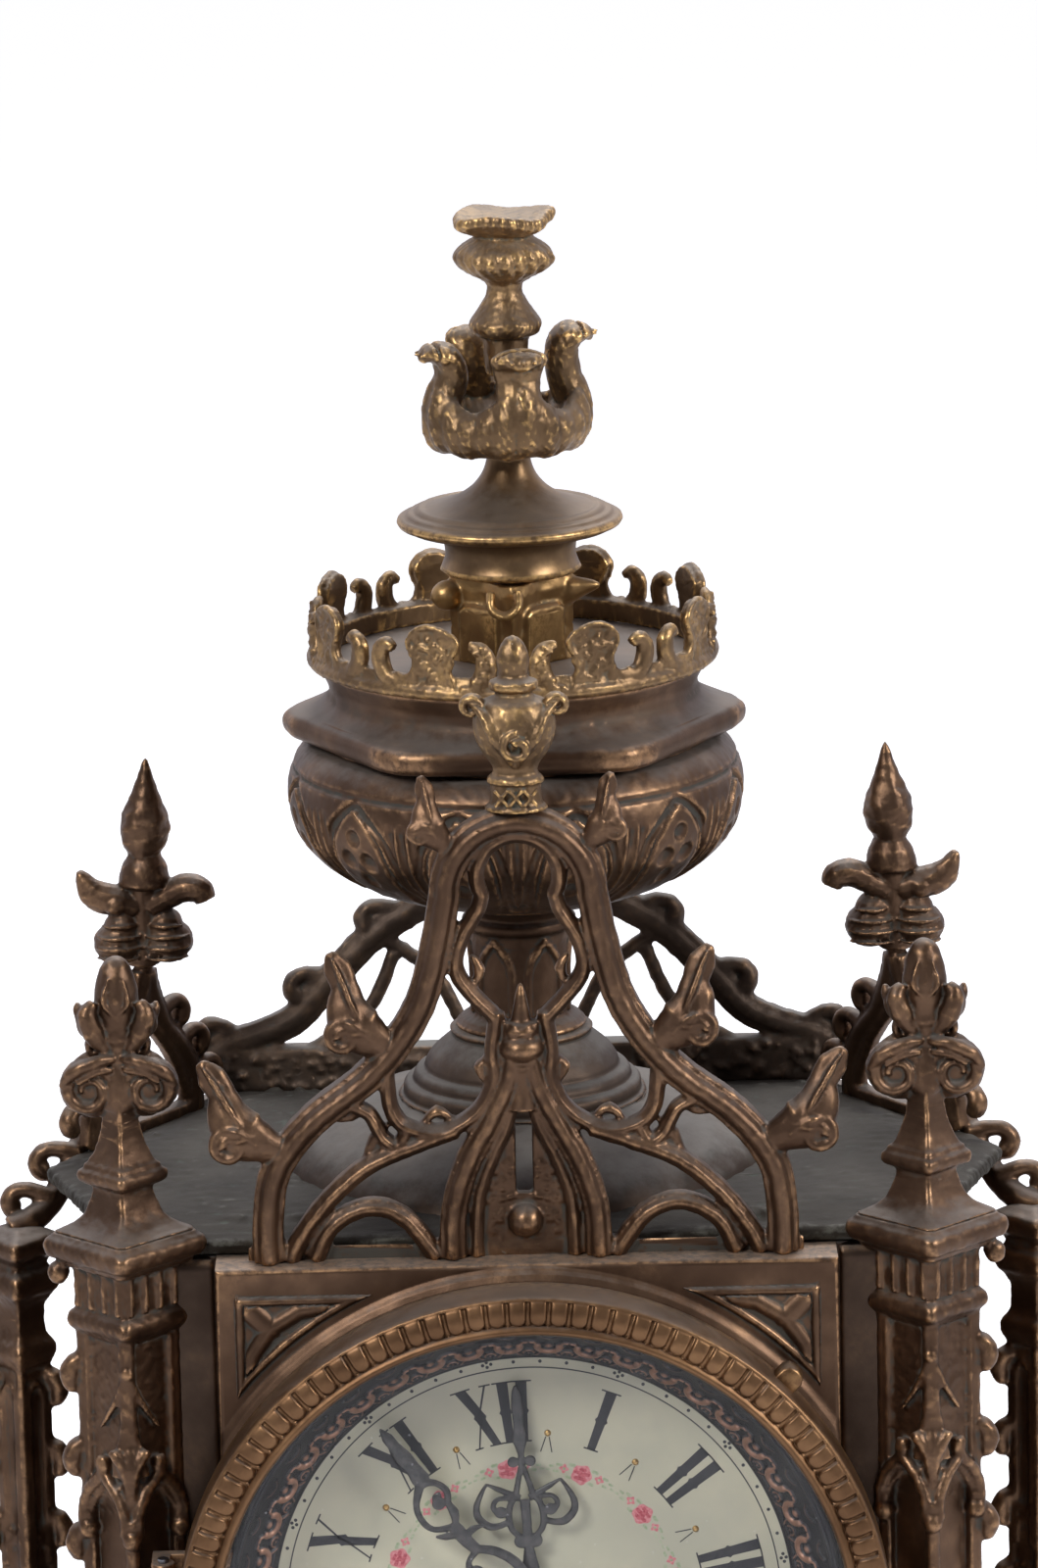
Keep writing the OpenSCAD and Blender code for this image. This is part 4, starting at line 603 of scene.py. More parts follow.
floorMesh = bpy.data.meshes.new("floor")
floorMesh.from_pydata([(-12, -12, 0), (12, -12, 0), (12, 12, 0), (-12, 12, 0)], [], [(0, 1, 2, 3)])
floorObj = bpy.data.objects.new("floor", floorMesh)
scene.collection.objects.link(floorObj)
floorObj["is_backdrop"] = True
paper, tree, shader = newMaterial("white_paper")
shader.inputs["Base Color"].default_value = (0.86, 0.86, 0.87, 1)
shader.inputs["Roughness"].default_value = 0.9
lightPath = addNode(tree, "LightPath")
seen = math2(tree, "MAXIMUM", lightPath.outputs["Is Camera Ray"],
             lightPath.outputs["Is Transmission Ray"])
shader.inputs["Emission Color"].default_value = (1, 1, 1, 1)
tree.links.new(times(tree, seen, 0.55), shader.inputs["Emission Strength"])
floorMesh.materials.append(paper)

world = bpy.data.worlds.new("white_room")
world.use_nodes = True
scene.world = world
tree = world.node_tree
sky = tree.nodes["Background"]
lightPath = addNode(tree, "LightPath")
direction = addNode(tree, "TexCoord").outputs["Generated"]
split = addNode(tree, "SeparateXYZ", {0: direction})
behind = mapMask(tree, split.outputs["Y"], -0.5, 0.6)
roomLight = mixColour(tree, behind, (0.15, 0.15, 0.165, 1), (0.85, 0.85, 0.95, 1))
whiteSeen = mixColour(tree, lightPath.outputs["Is Camera Ray"], roomLight, (1, 1, 1, 1))
tree.links.new(whiteSeen, sky.inputs["Color"])
sky.inputs["Strength"].default_value = 1.0

softboxes = [
    {"name": "key_left", "at": (-0.9, -1.3, 1.5), "size": 0.55, "power": 19},
    {"name": "key_right", "at": (1.3, -0.7, 1.1), "size": 0.45, "power": 14},
    {"name": "top_rear", "at": (0.1, 0.9, 1.7), "size": 0.8, "power": 12},
]
for box in softboxes:
    lamp = bpy.data.lights.new(box["name"], "AREA")
    lamp.shape = "SQUARE"
    lamp.size = box["size"]
    lamp.energy = box["power"]
    lampObj = bpy.data.objects.new(box["name"], lamp)
    lampObj.location = box["at"]
    aim = Vector((0, 0, 0.33)) - Vector(box["at"])
    lampObj.rotation_euler = aim.to_track_quat("-Z", "Y").to_euler()
    scene.collection.objects.link(lampObj)
scene.view_settings.view_transform = "Standard"
print("room and light ready")

# spire cap: a leafy bulge and a knurled top over a collar

spire = {"lobe": 0.06, "knurl": 0.28}


def spireWave(angle, r, z):
    top = np.clip((z - 504.5) / 2, 0, 1)
    belly = np.clip(1 - np.abs(z - 500.3) / 4.5, 0, 1)
    crisp = 0.5 + 0.5 * np.cos(angle - math.radians(-50))
    r = r * (1 + spire["lobe"] * top * np.cos(4 * (angle - 0.45)) + 0.03 * top * np.sin(7 * angle))
    r = r + spire["knurl"] * top * crisp * np.sin(31 * angle) * np.clip((r - 7) / 2, 0, 1)
    flutes = np.abs(np.sin(9.5 * angle + 0.35 * (z - 500))) ** 0.6
    r = r * (1 + 0.07 * belly * np.cos(4 * (angle + 0.3)))
    r = r - 1.3 * belly * crisp * (1 - flutes)
    z = z + 0.5 * top * np.sin(3 * angle + 0.6) * np.clip(r / 9, 0, 1)
    return r, z


spireCap = newShape()
addLathe(spireCap, smoothPath([
    (3.7, 479.5), (4.0, 483), (4.3, 486.2), (5.8, 486.9), (6.5, 488), (6.6, 489), (6.0, 490),
    (5.6, 490.6), (4.4, 492.4), (3.3, 494.4), (3.4, 496.2), (4.9, 497.3), (7.4, 498.6),
    (8.9, 500.4), (8.7, 502), (7.4, 503.4), (5.8, 504.4), (5.4, 505.2), (7.4, 506.2),
    (8.9, 507.3), (9.1, 508.4), (8.4, 509.2), (6.0, 508.9), (3, 508.7), (0, 508.7)], 4),
    128, wave=spireWave)
cast("spire_cap_leafwork", spireCap, golden, nodes=["spire_cap"], voxel=0.25,
     keep=0.6, grain=0.05, grainSize=1.2, seed=3)

# leaf cup with four curling leaves, tips at these places round the axis
cup = {"leaves": [-79, 15, 122, 195], "tip": 16.1}
cupLow = node("leaf_cup")[0][2]
leafCup = newShape()


def cupWave(angle, r, z):
    raised = 0
    for leaf in cup["leaves"]:
        turn = np.angle(np.exp(1j * (angle - math.radians(leaf))))
        raised = np.maximum(raised, np.exp(-(turn / 0.42) ** 2))
    up = np.clip((z - cupLow - 3) / 6, 0, 1)
    z = z + raised * up * 4.5 - (1 - raised) * up * 1.2
    folds = np.abs(np.sin(11 * angle + 0.5 * np.sin(3 * angle))) ** 0.5
    outside = np.clip((r - 10) / 2, 0, 1)
    r = r + outside * (raised * 1.2 - 0.7) - outside * 1.1 * (1 - folds) * (0.35 + 0.65 * raised)
    z = z + outside * 0.4 * np.sin(9 * angle) * np.clip(1 - (z - cupLow) / 3, 0, 1)
    return r, z


addLathe(leafCup, smoothPath(lifted([
    (3.5, 3), (3.6, 0), (9.5, 0), (12.6, 0.4), (14.4, 1.8), (15.3, 4), (15.3, 6.4), (14.1, 8.6),
    (12.6, 9.6), (11.4, 8.8), (9.5, 6.2), (6.5, 4.6), (3.5, 4.2)], cupLow), 4), 128, wave=cupWave)
for leaf, lift in zip(cup["leaves"], (0, 2.2, 0.6, 0)):
    hood = newShape()
    spine = smoothPath([(11.8, cupLow + 3), (12.6, cupLow + 7.5), (11.2, cupLow + 11.5),
                        (10.4, cupLow + 14.8 + lift), (11.6, cupLow + 18.0 + lift),
                        (14.4, cupLow + 18.6 + lift), (cup["tip"], cupLow + 17.2 + lift)], 5)
    path = np.stack([np.zeros(len(spine)), -spine[:, 0], spine[:, 1]], -1)
    edge = oval(count=16)
    addSweep(hood, path, edge, (5.2, 5.0, 4.4, 4.0, 4.6, 5.4, 3.8, 0.6),
             (2.6, 3.0, 3.2, 3.2, 2.9, 2.4, 1.6, 0.5))
    for x in (-2.2, 0, 2.2):
        vein = path + (0, -2.5, 0)
        addSweep(hood, vein[4:27] + (x, 0.3 * abs(x), 0), oval(count=8), (0.3, 0.55, 0.5, 0.3))
    addShape(leafCup, hood, shifted(turn=leaf + 90))
cast("leaf_cup_acanthus", leafCup, golden, nodes=["leaf_cup"], voxel=0.3,
     keep=0.6, grain=0.06, grainSize=1.5, seed=4)

# saucer, turned, with two raised beads on the rim and fine grooves below
saucerLow = node("saucer")[0][2]
saucerLook = {"grooves": 11, "apart": 0.55, "deep": 0.18}
saucer = newShape()
grooves = [(19.2 - saucerLook["apart"] * i,
            saucerLow + 8.3 - 0.1 * i - (saucerLook["deep"] if i % 2 else 0))
           for i in range(saucerLook["grooves"])]
foot = [(0, 0), (9.0, 0), (12.3, 0.1), (12.9, 0.6), (12.5, 1.5), (11.9, 3.2), (12.1, 5.2),
        (12.7, 6.5)]
rim = [(20.3, 8.8), (20.7, 9.5), (20.5, 10.1), (19.8, 10.5), (19.2, 10.5), (18.9, 10.9),
       (18.3, 11.3), (17.7, 11.2), (17.3, 11.5), (16.8, 12.0), (16.1, 12.1)]
stem = [(15.6, 11.9), (12.4, 12.8), (9.4, 14.0), (6.8, 15.8), (4.9, 18.2), (4.0, 20.8),
        (3.8, 22.4), (0, 22.4)]
addLathe(saucer, lifted(foot, saucerLow) + grooves[::-1] + lifted(rim, saucerLow)
         + smoothPath(lifted(stem, saucerLow), 5).tolist(), 128)
cast("saucer_turned", saucer, saucerGold, nodes=["saucer"], voxel=None, grain=0.02,
     grainSize=3, rounds=6, seed=5)

# turret block with its knob, spurs, strap and raised panels

turret = {"corner": 12.0, "face": 7.4, "hollow": 0.6, "spurs": {0: 16.2, 90: 15}}
turretLow, turretHigh = node("turret")
turretBody = newShape()


def turretWave(angle, r, z):
    # a square section, corners to the front and sides, its faces a little hollow
    corner, face = turret["corner"], turret["face"]
    away = np.abs(np.mod(angle, math.pi / 2) - math.pi / 4) / (math.pi / 4)
    return r * (face + (corner - face) * away ** (1 / turret["hollow"])) / corner, z


addLathe(turretBody, lifted([(0, 0), (12.6, 0), (12.6, 2), (11.6, 3.4), (11.2, 8)], turretLow[2])
         + lifted([(11.6, -5), (12.0, -3), (11.4, -0.9), (0, -0.9)], turretHigh[2]),
         wave=turretWave)
addBall(turretBody, (-11.9, -1.5, turretHigh[2] - 4.2), (2.9, 2.6, 2.8))
for turn, reach in turret["spurs"].items():
    spur = newShape()
    addSweep(spur, smoothPath([(0, 7, -5), (0, 11, -3.8), (0, reach, -3.2)], 4), oval(),
             (2.6, 2.4, 0.5), (3.4, 2.6, 0.4), front=(0, 0, 1))
    addShape(turretBody, spur, shifted(0, 0, turretHigh[2], turn - 90))
strap = newShape()
addSweep(strap, smoothPath([(-2.6, -11.6, -2), (-2.4, -13.4, -4.6), (0, -14, -5.8),
                            (2.3, -13.2, -4.4), (2.4, -11.4, -2)], 5), oval(count=10),
         (0.9,), (1.5,))
addShape(turretBody, strap, shifted(-1.2, 0, turretHigh[2]))
for turn in (-45, 45):
    panel = newShape()
    addPlate(panel, [(-5.2, 1.8), (5.2, 1.8), (5.2, 11.6), (3.8, 12.8), (-3.8, 12.8),
                     (-5.2, 11.6)], -7.9, -9.0, 0.7)
    addShape(turretBody, panel, shifted(0, 0, turretLow[2], turn))
cast("turret_block", turretBody, bright, nodes=["turret"], voxel=0.35, keep=0.5,
     grain=0.05, grainSize=2.2, seed=6)

crown = {"radius": 37.3, "repeats": 4, "leafAt": 15.3}
crownLow, crownHigh = node("crown")
rise = crownHigh[2] - crownLow[2]
crownHalf = newShape()
leafEdge = smoothPath([(-4.6, 1.6), (-3.6, 4.6), (-3.4, 7), (-4.9, 9.4), (-4.6, 11.2),
                       (-2.4, 12.6), (0.6, 13.3), (3.2, 12.4), (4.7, 10.4), (4.2, 8.6),
                       (3.1, 6.4), (3.4, 4), (4.7, 1.6)], 4)
addPlate(crownHalf, leafEdge + (crown["leafAt"], 0), 2.2, 0.5, 0.5)
addSweep(crownHalf, standing(leafEdge + (crown["leafAt"], 0), 0.6), oval(count=8), (0.55,), (0.7,))
draw = np.random.default_rng(8)
for _ in range(70):
    u, v = draw.uniform(-3.8, 4.0), draw.uniform(1.6, 12.2)
    addBall(crownHalf, (crown["leafAt"] + u * (0.8 + 0.04 * v), 0.55, v),
            (draw.uniform(0.35, 0.75), 0.5, draw.uniform(0.3, 0.6)), 6)
crescent = smoothPath([(10.6, 2.4), (7.6, 2.2), (5.5, 4.0), (4.9, 6.8), (5.9, 9.2), (8.2, 10.1)],
                      5)
addSweep(crownHalf, standing(crescent, 1.1), oval(), (0.7, 1.6, 2.3, 2.1, 1.6, 0.8),
         (0.8, 1.1, 1.3, 1.3, 1.1, 0.7))
for i in range(26):
    at = crescent[3 + int(i * 0.75)]
    addBall(crownHalf, (at[0] + draw.uniform(-1.2, 1.2), 0, at[1] + draw.uniform(-0.8, 0.8)),
            0.5, 6)
hook = smoothPath([(19.4, 3.6), (21.5, 2.7), (24.6, 3.1), (26.4, 5.4), (26.5, 8), (25.0, 9.4),
                   (23.4, 8.6)], 5)
addSweep(crownHalf, standing(hook, 1.0), oval(), (0.7, 1.3, 1.7, 1.9, 1.8, 1.4, 0.9),
         (0.8, 1.1, 1.4, 1.5, 1.5, 1.3, 1))
addSweep(crownHalf, standing(smoothPath([(19, 8.8), (18.6, 5.6), (20.2, 3.8), (23, 4.4)], 5), 0.8),
         oval(count=10), (0.5, 0.9, 0.7, 0.3), (0.6, 1, 0.8, 0.4))
crownRing = newShape()
for i in range(crown["repeats"]):
    for flip in (False, True):
        part = newShape()
        addShape(part, crownHalf, mirrorX if flip else None)
        wrapped = newShape()
        addShape(wrapped, part, wrapRound(crown["radius"]))
        addShape(crownRing, wrapped, shifted(0, 0, crownLow[2], i * 90))
ring = [(33.9, 0.1), (37.4, 0.1), (37.9, 0.9), (37.7, 1.9), (36.9, 2.5), (36.7, 3.6), (36.3, 4.3),
        (34.0, 3.8)]
addLathe(crownRing, lifted(ring, crownLow[2]), 180, loop=True)
cast("crown_gallery", crownRing, golden, nodes=["crown"], voxel=0.34, keep=0.5,
     grain=0.05, grainSize=1.4, seed=7)

plateLow = node("hex_plate")[0][2]
hexPlate = newShape()
plateRows = [(30, 14.6, 0), (34.2, 14.55, 0), (35.6, 14.3, 0), (34.9, 12.8, 0), (33.9, 10.6, 0),
             (34.2, 8.6, 0.05), (36.2, 6.9, 0.15), (38.6, 6.2, 0.4), (41.2, 5.9, 0.85),
             (42.9, 5.4, 1), (43.6, 4.1, 1), (43.4, 2.4, 1), (42.4, 1.3, 1), (40.2, 0.8, 0.8),
             (37, 0.4, 0.4), (34, 0.1, 0), (20, 0.1, 0)]
angle = np.arange(192) * 2 * math.pi / 192
hexagon = np.cos(math.pi / 6) / np.cos(np.mod(angle, math.pi / 3) - math.pi / 6)
hexagon = hexagon - 0.035 * np.clip(hexagon - 0.94, 0, 1) / 0.06
rings = []
for r, z, six in smoothPath(plateRows, 3):
    radius = r * (1 + six * (hexagon - 1) + 0.012 * six)
    rings.append(np.stack([radius * np.cos(angle), radius * np.sin(angle),
                           np.full(192, plateLow + z)], -1))
addRings(hexPlate, rings)
cast("hexagonal_plate", hexPlate, brown, nodes=["hex_plate"], voxel=None, grain=0.05,
     grainSize=7, rounds=8, seed=9)

# urn: twelve pointed arches with berries, triple ribs between

urn = {"arches": 12, "firstArch": 15, "archHalf": 8.2}
urnLow = node("urn")[0][2]
profile = smoothPath([(30, 30.9), (36.6, 30.9), (38.6, 30.2), (40.6, 27.8), (41.7, 24.6),
                      (42, 21.4),
                      (41.6, 18.2), (40.2, 14.2), (37.4, 10.6), (33.4, 7.4), (28.2, 4.6),
                      (21.6, 2.4), (14.6, 0.9), (11.4, 0.2), (0, 0.1)], 9)
columns = 1080
angle = np.arange(columns) * 2 * math.pi / columns
r = profile[:, :1] + 0 * angle
z = profile[:, 1:2] + 0 * angle
step = np.gradient(profile, axis=0)
outward = unit(np.stack([-step[:, 1], step[:, 0]], -1))
sweepAngle = np.degrees(angle) + 90 - urn["firstArch"]
spacing = 360 / urn["arches"]
part = (np.mod(sweepAngle + spacing / 2, spacing) - spacing / 2)[None] + 0 * r
u = np.radians(part) * r
arch = np.concatenate([np.array([(-urn["archHalf"] + 1.4, 5), (-urn["archHalf"], 12)]),
                       smoothPath([(-urn["archHalf"], 14), (-7.2, 18.4), (-4.2, 22.2), (0, 25.4)],
                                  4)])
arch = np.concatenate([arch, arch[::-1] * (-1, 1)])
arcHeight = np.maximum(strokeHeight(u, z, arch, 1.0, 0.95),
                       strokeHeight(u, z, arch * (0.78, 0.93) + (0, 0.6), 0.7, 0.55))
inside = np.abs(u) < np.interp(z, [4, 14, 18.4, 22, 24.6], [5.6, 6.2, 5.4, 3, 0.2])
inside &= (z < 24.4) & (z > 5.5)
height = np.where(inside, -0.85, 0) + arcHeight
for cu, cv, radius in ((0, 19.2, 2.0), (-2.5, 14.8, 2.2), (2.5, 14.8, 2.2), (0, 10.6, 1.8)):
    height = np.maximum(height, ballHeight(u, z, cu, cv, radius, 1.5) - 0.85
                        + np.where(inside, 0, -9))
edgeGap = np.radians(spacing / 2 - np.abs(part)) * r
ribs = 0.75 * np.abs(np.cos(np.clip(edgeGap / 2.3, 0, 1.5) * math.pi)) ** 0.8
low = np.clip((z - 3) / 3, 0, 1) * np.clip((23.5 - z) / 2.5, 0, 1)
height = np.maximum(height, np.where(edgeGap < 3.4, ribs, 0) * low - 0.1)
height = height * np.clip((26.5 - z) / 1.2, 0, 1) * np.clip((r - 14) / 8, 0, 1)
lip = 0.5 * np.exp(-((z - 26.6) / 0.5) ** 2)
height = height + lip
rr = r - height * outward[:, :1]
zz = z - height * outward[:, 1:2]
urnShape = newShape()
addRings(urnShape, np.stack([rr * np.cos(angle), rr * np.sin(angle), zz + urnLow], -1))
cast("urn_arcaded", urnShape, brown, nodes=["urn"], voxel=None, grain=0.035,
     grainSize=2.4, rounds=14, seed=10)

# neck with six blind arches, and the stepped dome under it

neckLow = node("tower_neck")[0][2]
neckProfile = smoothPath([(0, 0), (11.2, 0), (11.3, 1.6), (9.8, 2.6), (9.3, 4), (9.3, 8),
                          (9.3, 12),
                          (9.3, 16), (9.4, 18.4), (10.4, 19.4), (10.5, 20.6), (9.7, 21.6),
                          (10.4, 23), (11.3, 24), (0, 24)], 6)
angle = np.arange(360) * 2 * math.pi / 360
r = neckProfile[:, :1] + 0 * angle
z = neckProfile[:, 1:2] + 0 * angle
part = (np.mod(np.degrees(angle) + 90, 60) - 30)[None] + 0 * r
u = np.radians(part) * 9.3
lancet = np.concatenate([[(-3.4, 4)], smoothPath([(-3.4, 11), (-2.6, 14.4), (0, 17.6)], 4)])
lancet = np.concatenate([lancet, lancet[::-1] * (-1, 1)])
height = strokeHeight(u, z, lancet, 0.75, 0.6)
height = height + 0.08 * np.sin(z * 9) * ((z > 3.6) & (z < 18))
neckShape = newShape()
r = np.maximum(r + height, 0.01)
addRings(neckShape, np.stack([r * np.cos(angle), r * np.sin(angle), z + neckLow], -1))
cast("tower_neck_arches", neckShape, brown, nodes=["tower_neck"], voxel=None,
     grain=0.03, grainSize=2, rounds=10, seed=11)

domeLow = node("dome")[0][2]
domeShape = newShape()
addLathe(domeShape, lifted(smoothPath([
    (0, 0), (21.2, 0), (22, 0.7), (22, 2.2), (21.3, 3), (20.4, 3.2), (20.1, 4.2), (19.4, 5),
    (18.2, 5.4), (17.8, 6.6), (16.6, 8.4), (14.4, 10.4), (12.8, 11.6), (12.3, 12.9), (0, 12.9)],
    4), domeLow), 128)
cast("stepped_dome", domeShape, dark, nodes=["dome"], voxel=None, grain=0.05,
     grainSize=5, rounds=8, seed=12)

# front gable: openwork tracery, measured from the dial's centre

dialZ = (node("dial")[0][2] + node("dial")[1][2]) / 2
gable = {"back": -52.0, "ribHalf": 2.8, "ribDepth": 5.9, "thinHalf": 1.45, "thinDepth": 4.0,
         "head": 133.9, "foot": 66.6}


def rollSection(half, depth):
    # a convex roll between two thin fillets
    right = [(1, 0.05), (1, 0.6), (0.9, 0.72), (0.78, 0.6), (0.66, 0.72), (0.45, 0.9), (0.2, 0.98)]
    front = [(-x * half, d * depth) for x, d in right] + [(0, depth)]
    front += [(x * half, d * depth) for x, d in right[::-1]]
    return np.array(front + [(0.55 * half, -0.35), (-0.55 * half, -0.35)])


foot = gable["foot"]
mainHalf = np.concatenate([arcPath(0, gable["head"], 13.1, 90, 0), smoothPath(
    [(14.2, 127.4), (18.1, 113.4), (26.5, 101.6), (37.7, 92.6), (44.3, 84), (46.1, 75),
     (46.1, foot)], 6)])
keyhole = np.concatenate([arcPath(0, 137, 7.4, 90, -28), smoothPath(
    [(7.2, 131), (10.8, 124.5), (10.9, 118.5), (4.6, 111)], 6)])
mouchette = smoothPath([(4.2, 112), (5.2, 105), (5, 99.7), (8, 93.7), (14.3, 90), (20.5, 90.8),
                        (23.6, 94.5), (24.4, 103)], 6)
ogee = smoothPath([(0.6, 110), (2.4, 100), (6, 92), (10, 84.5), (12.7, 76), (13.2, foot)], 6)
innerOgee = smoothPath([(0.9, 98), (3.0, 91), (6.2, 84), (8.4, 77), (8.9, foot)], 6)
sideRib = smoothPath([(12, 90.4), (20, 87.5), (28, 84), (35, 78), (40, 71.5), (42.5, foot)], 6)
archRib = smoothPath([(38, foot), (34.6, 73), (28, 76.2), (21.6, 74), (16, foot)], 6)
loopRib = smoothPath([(20.5, 90.8), (22.6, 87.6), (25.2, 89.2), (27.6, 93.6), (31.5, 95.4)], 6)
gableShape = newShape()
wide = rollSection(gable["ribHalf"], gable["ribDepth"])
thin = rollSection(gable["thinHalf"], gable["thinDepth"])
bothHalves = np.concatenate([(mainHalf * (-1, 1))[::-1], mainHalf[1:]])
addSweep(gableShape, standing(bothHalves, gable["back"]), wide)
bothHalves = np.concatenate([(keyhole * (-1, 1))[::-1], keyhole[1:]])
addSweep(gableShape, standing(bothHalves, gable["back"] - 0.5), thin)


def addCrocket(shape, size=1.0):
    # a leaf that leans out, rolls into an eye at its root and ends in a lifted tip
    body = smoothPath([(-0.8, 0, -1.5), (1.6, -0.6, 0.6), (4.2, -1.2, 3.2), (5.2, -0.9, 6.4),
                       (5.2, 0, 9.6), (6.0, 0.4, 12.6), (6.9, 0.2, 15.2)], 5)
    leaf = newShape()
    addSweep(leaf, body, oval(count=14), (1.8, 3.0, 4.4, 3.4, 2.2, 2.3, 0.7),
             (1.8, 2.4, 2.6, 2.0, 1.4, 1.2, 0.5))
    rib = smoothPath([(3.6, -3.2, 4.6), (4.6, -2.8, 8), (5.6, -1.6, 11.4), (6.6, -0.9, 14.4)], 4)
    addSweep(leaf, rib, oval(count=8), (0.3, 0.55, 0.5, 0.2), (0.5, 0.7, 0.6, 0.3))
    turns = np.linspace(0, 1, 26)
    around = np.radians(120 - 480 * turns)
    radius = 2.6 - 1.7 * turns
    curl = np.stack([6.4 + radius * np.cos(around), -2.0 - 1.1 * turns,
                     2.2 + radius * np.sin(around)], -1)
    addSweep(leaf, curl, oval(count=9), (0.9, 1.0, 0.7), (1.1, 1.2, 0.8))
    for fold in ((1.2, 2.6, 4.6), (2.6, 1.4, 3.4)):
        vein = smoothPath([(2.2, -3.0, fold[0]), (4.6, -3.5, fold[1] + 1.6), (7.2, -2.4, fold[2])],
                          4)
        addSweep(leaf, vein, oval(count=8), (0.4, 0.7, 0.3), (0.5, 0.8, 0.4))
    addShape(shape, leaf, lambda p: p * size)


def tilted(dx, dz, tilt, dy=0.0):
    c, s = math.cos(math.radians(tilt)), math.sin(math.radians(tilt))

    def change(points):
        x = points[:, 0] * c + points[:, 2] * s + dx
        z = -points[:, 0] * s + points[:, 2] * c + dz
        return np.stack([x, points[:, 1] + dy, z], -1)
    return change


half = newShape()
gy = gable["back"] - 0.4
addSweep(half, standing(mouchette, gy), thin)
addSweep(half, standing(ogee, gy), rollSection(2.3, 4.9))
addSweep(half, standing(innerOgee, gy), rollSection(1.3, 3.2))
addSweep(half, standing(sideRib, gy), rollSection(1.7, 4.2))
addSweep(half, standing(archRib, gy), rollSection(1.7, 3.8))
addSweep(half, standing(loopRib, gy), rollSection(1.3, 3.8))
for cusp in ([(24, 91.5), (26.8, 88.6), (28.8, 84.2)], [(12.6, 92), (15.4, 93.6), (18.2, 91.2)],
             [(30.6, 97.5), (30.2, 93.4), (33.5, 92.4)],
             [(8.6, 122.4), (7.2, 119.6), (8.4, 116.4)],
             [(5.2, 104), (7.6, 101.6), (6.4, 98.6)]):
    addSweep(half, standing(smoothPath(cusp, 4), gy - 1), oval(count=8), (0.4, 1.2, 0.4),
             (1, 1.6, 1))
panelEdge = np.concatenate([[(1.5, foot)], [(1.5, 95)], ogee[(ogee[:, 1] < 95)]])
addPlate(half, panelEdge, -51.2, -53.4, 0.3)
draw = np.random.default_rng(13)
for _ in range(60):
    v = draw.uniform(67, 84)
    addBall(half, (draw.uniform(2, 9.8 - (v - 67) * 0.28), -53.3, v), draw.uniform(0.3, 0.6), 5)
for x, z, tilt, size in ((12.4, 143.4, -4, 0.78), (24.2, 107.0, 6, 1.15), (44.6, 88.6, 16, 1.2)):
    leaf = newShape()
    addCrocket(leaf, size)
    addShape(half, leaf, tilted(x, z, tilt, gable["back"] - 2.6))
addShape(gableShape, half)
addShape(gableShape, half, mirrorX)
addPlate(gableShape, [(-1.8, foot), (1.8, foot), (1.8, 78), (-1.8, 78)], -51.2, -53.2, 0.3)
addBall(gableShape, (0, -54, 73), 3.1)
stem = smoothPath([(2.6, 94), (2.0, 98), (2.3, 101), (2.9, 102.2), (2.5, 103), (3.4, 103.8),
                   (4.2, 105.4), (3.6, 107), (2.4, 107.6), (3.0, 108.2), (3.1, 109), (1.9, 110.2),
                   (1.4, 113), (0.8, 116), (0.3, 117.4)], 4)
addLathe(gableShape, stem, 32, centre=(0, -54.6))
for part in gableShape["points"]:
    part[:, 2] += dialZ
addSweep(gableShape, [(-50, -53.4, dialZ + foot), (50, -53.4, dialZ + foot)], oval(2.8, 0.35, 12))
cast("front_gable_tracery", gableShape, brown, nodes=["front_gable"], voxel=0.38,
     keep=0.5, grain=0.04, grainSize=2.2, seed=14)

finialLow = node("gable_finial")[0][2]
finial = newShape()
addLathe(finial, smoothPath([
    (0, 0), (5.2, 0.2), (5.3, 1), (4.7, 1.6), (4.5, 4.6), (5.1, 5.4), (4.8, 6.2), (4.0, 7),
    (4.2, 8.4), (5.9, 10.8), (7.1, 13.6), (7.3, 16.4), (6.6, 18.8), (5.6, 20), (3.6, 20.8),
    (3.4, 21.6), (4.3, 22.2), (4.3, 23.4), (3.0, 24), (2.5, 24.8), (2.8, 25.9), (2.9, 27.6),
    (2.3, 29.6), (1.2, 31.1), (0, 31.7)], 4), 64)
for part in finial["points"]:
    part[:, 1] *= 0.85
for s in (-1, 1):
    for k in range(3):
        x = (k - 1) * 2.6
        addSweep(finial, [(x - 1.2 * s, -4.4, 1.6), (x + 1.2 * s, -4.4, 4.6)], oval(0.35, 0.5, 8))
    scroll = np.linspace(0, 1, 22)
    around = np.radians(200 - 430 * scroll)
    ear = np.stack([s * (7.6 + (1.9 - scroll) * np.cos(around)), -1.5 + 0 * scroll,
                    19.3 + (1.9 - scroll) * np.sin(around)], -1)
    addSweep(finial, ear, oval(count=8), (0.9, 0.8, 0.7), (1.8, 1.4, 1.2))
    for lean in (0, 1, 2):
        leafVein = smoothPath([(s * 0.3, -3.4, 8.6), (s * (1.6 + lean), -5.4, 12 + lean),
                               (s * (3.0 + lean * 1.3), -4.9 + 0.5 * lean, 16.4 + 0.8 * lean),
                               (s * (5.6 + lean), -2.2, 19.2 + 0.4 * lean)], 5)
        addSweep(finial, leafVein, oval(count=8), (0.4, 0.9, 0.8, 0.4))
swirl = np.linspace(0, 1, 24)
around = np.radians(90 + 400 * swirl)
addSweep(finial, np.stack([(2.9 - 2 * swirl) * np.cos(around) + 0.4, -5.9 - 0.7 * swirl,
                           12.6 + (2.7 - 1.9 * swirl) * np.sin(around)], -1),
         oval(count=8), (0.8,))
for part in finial["points"]:
    part += (0, -54.5, finialLow)
cast("gable_finial_leaves", finial, golden, nodes=["gable_finial"], voxel=0.24,
     keep=0.5, grain=0.04, grainSize=1.2, seed=15)

# side gables lean inward over the rear side faces; local x runs along the face

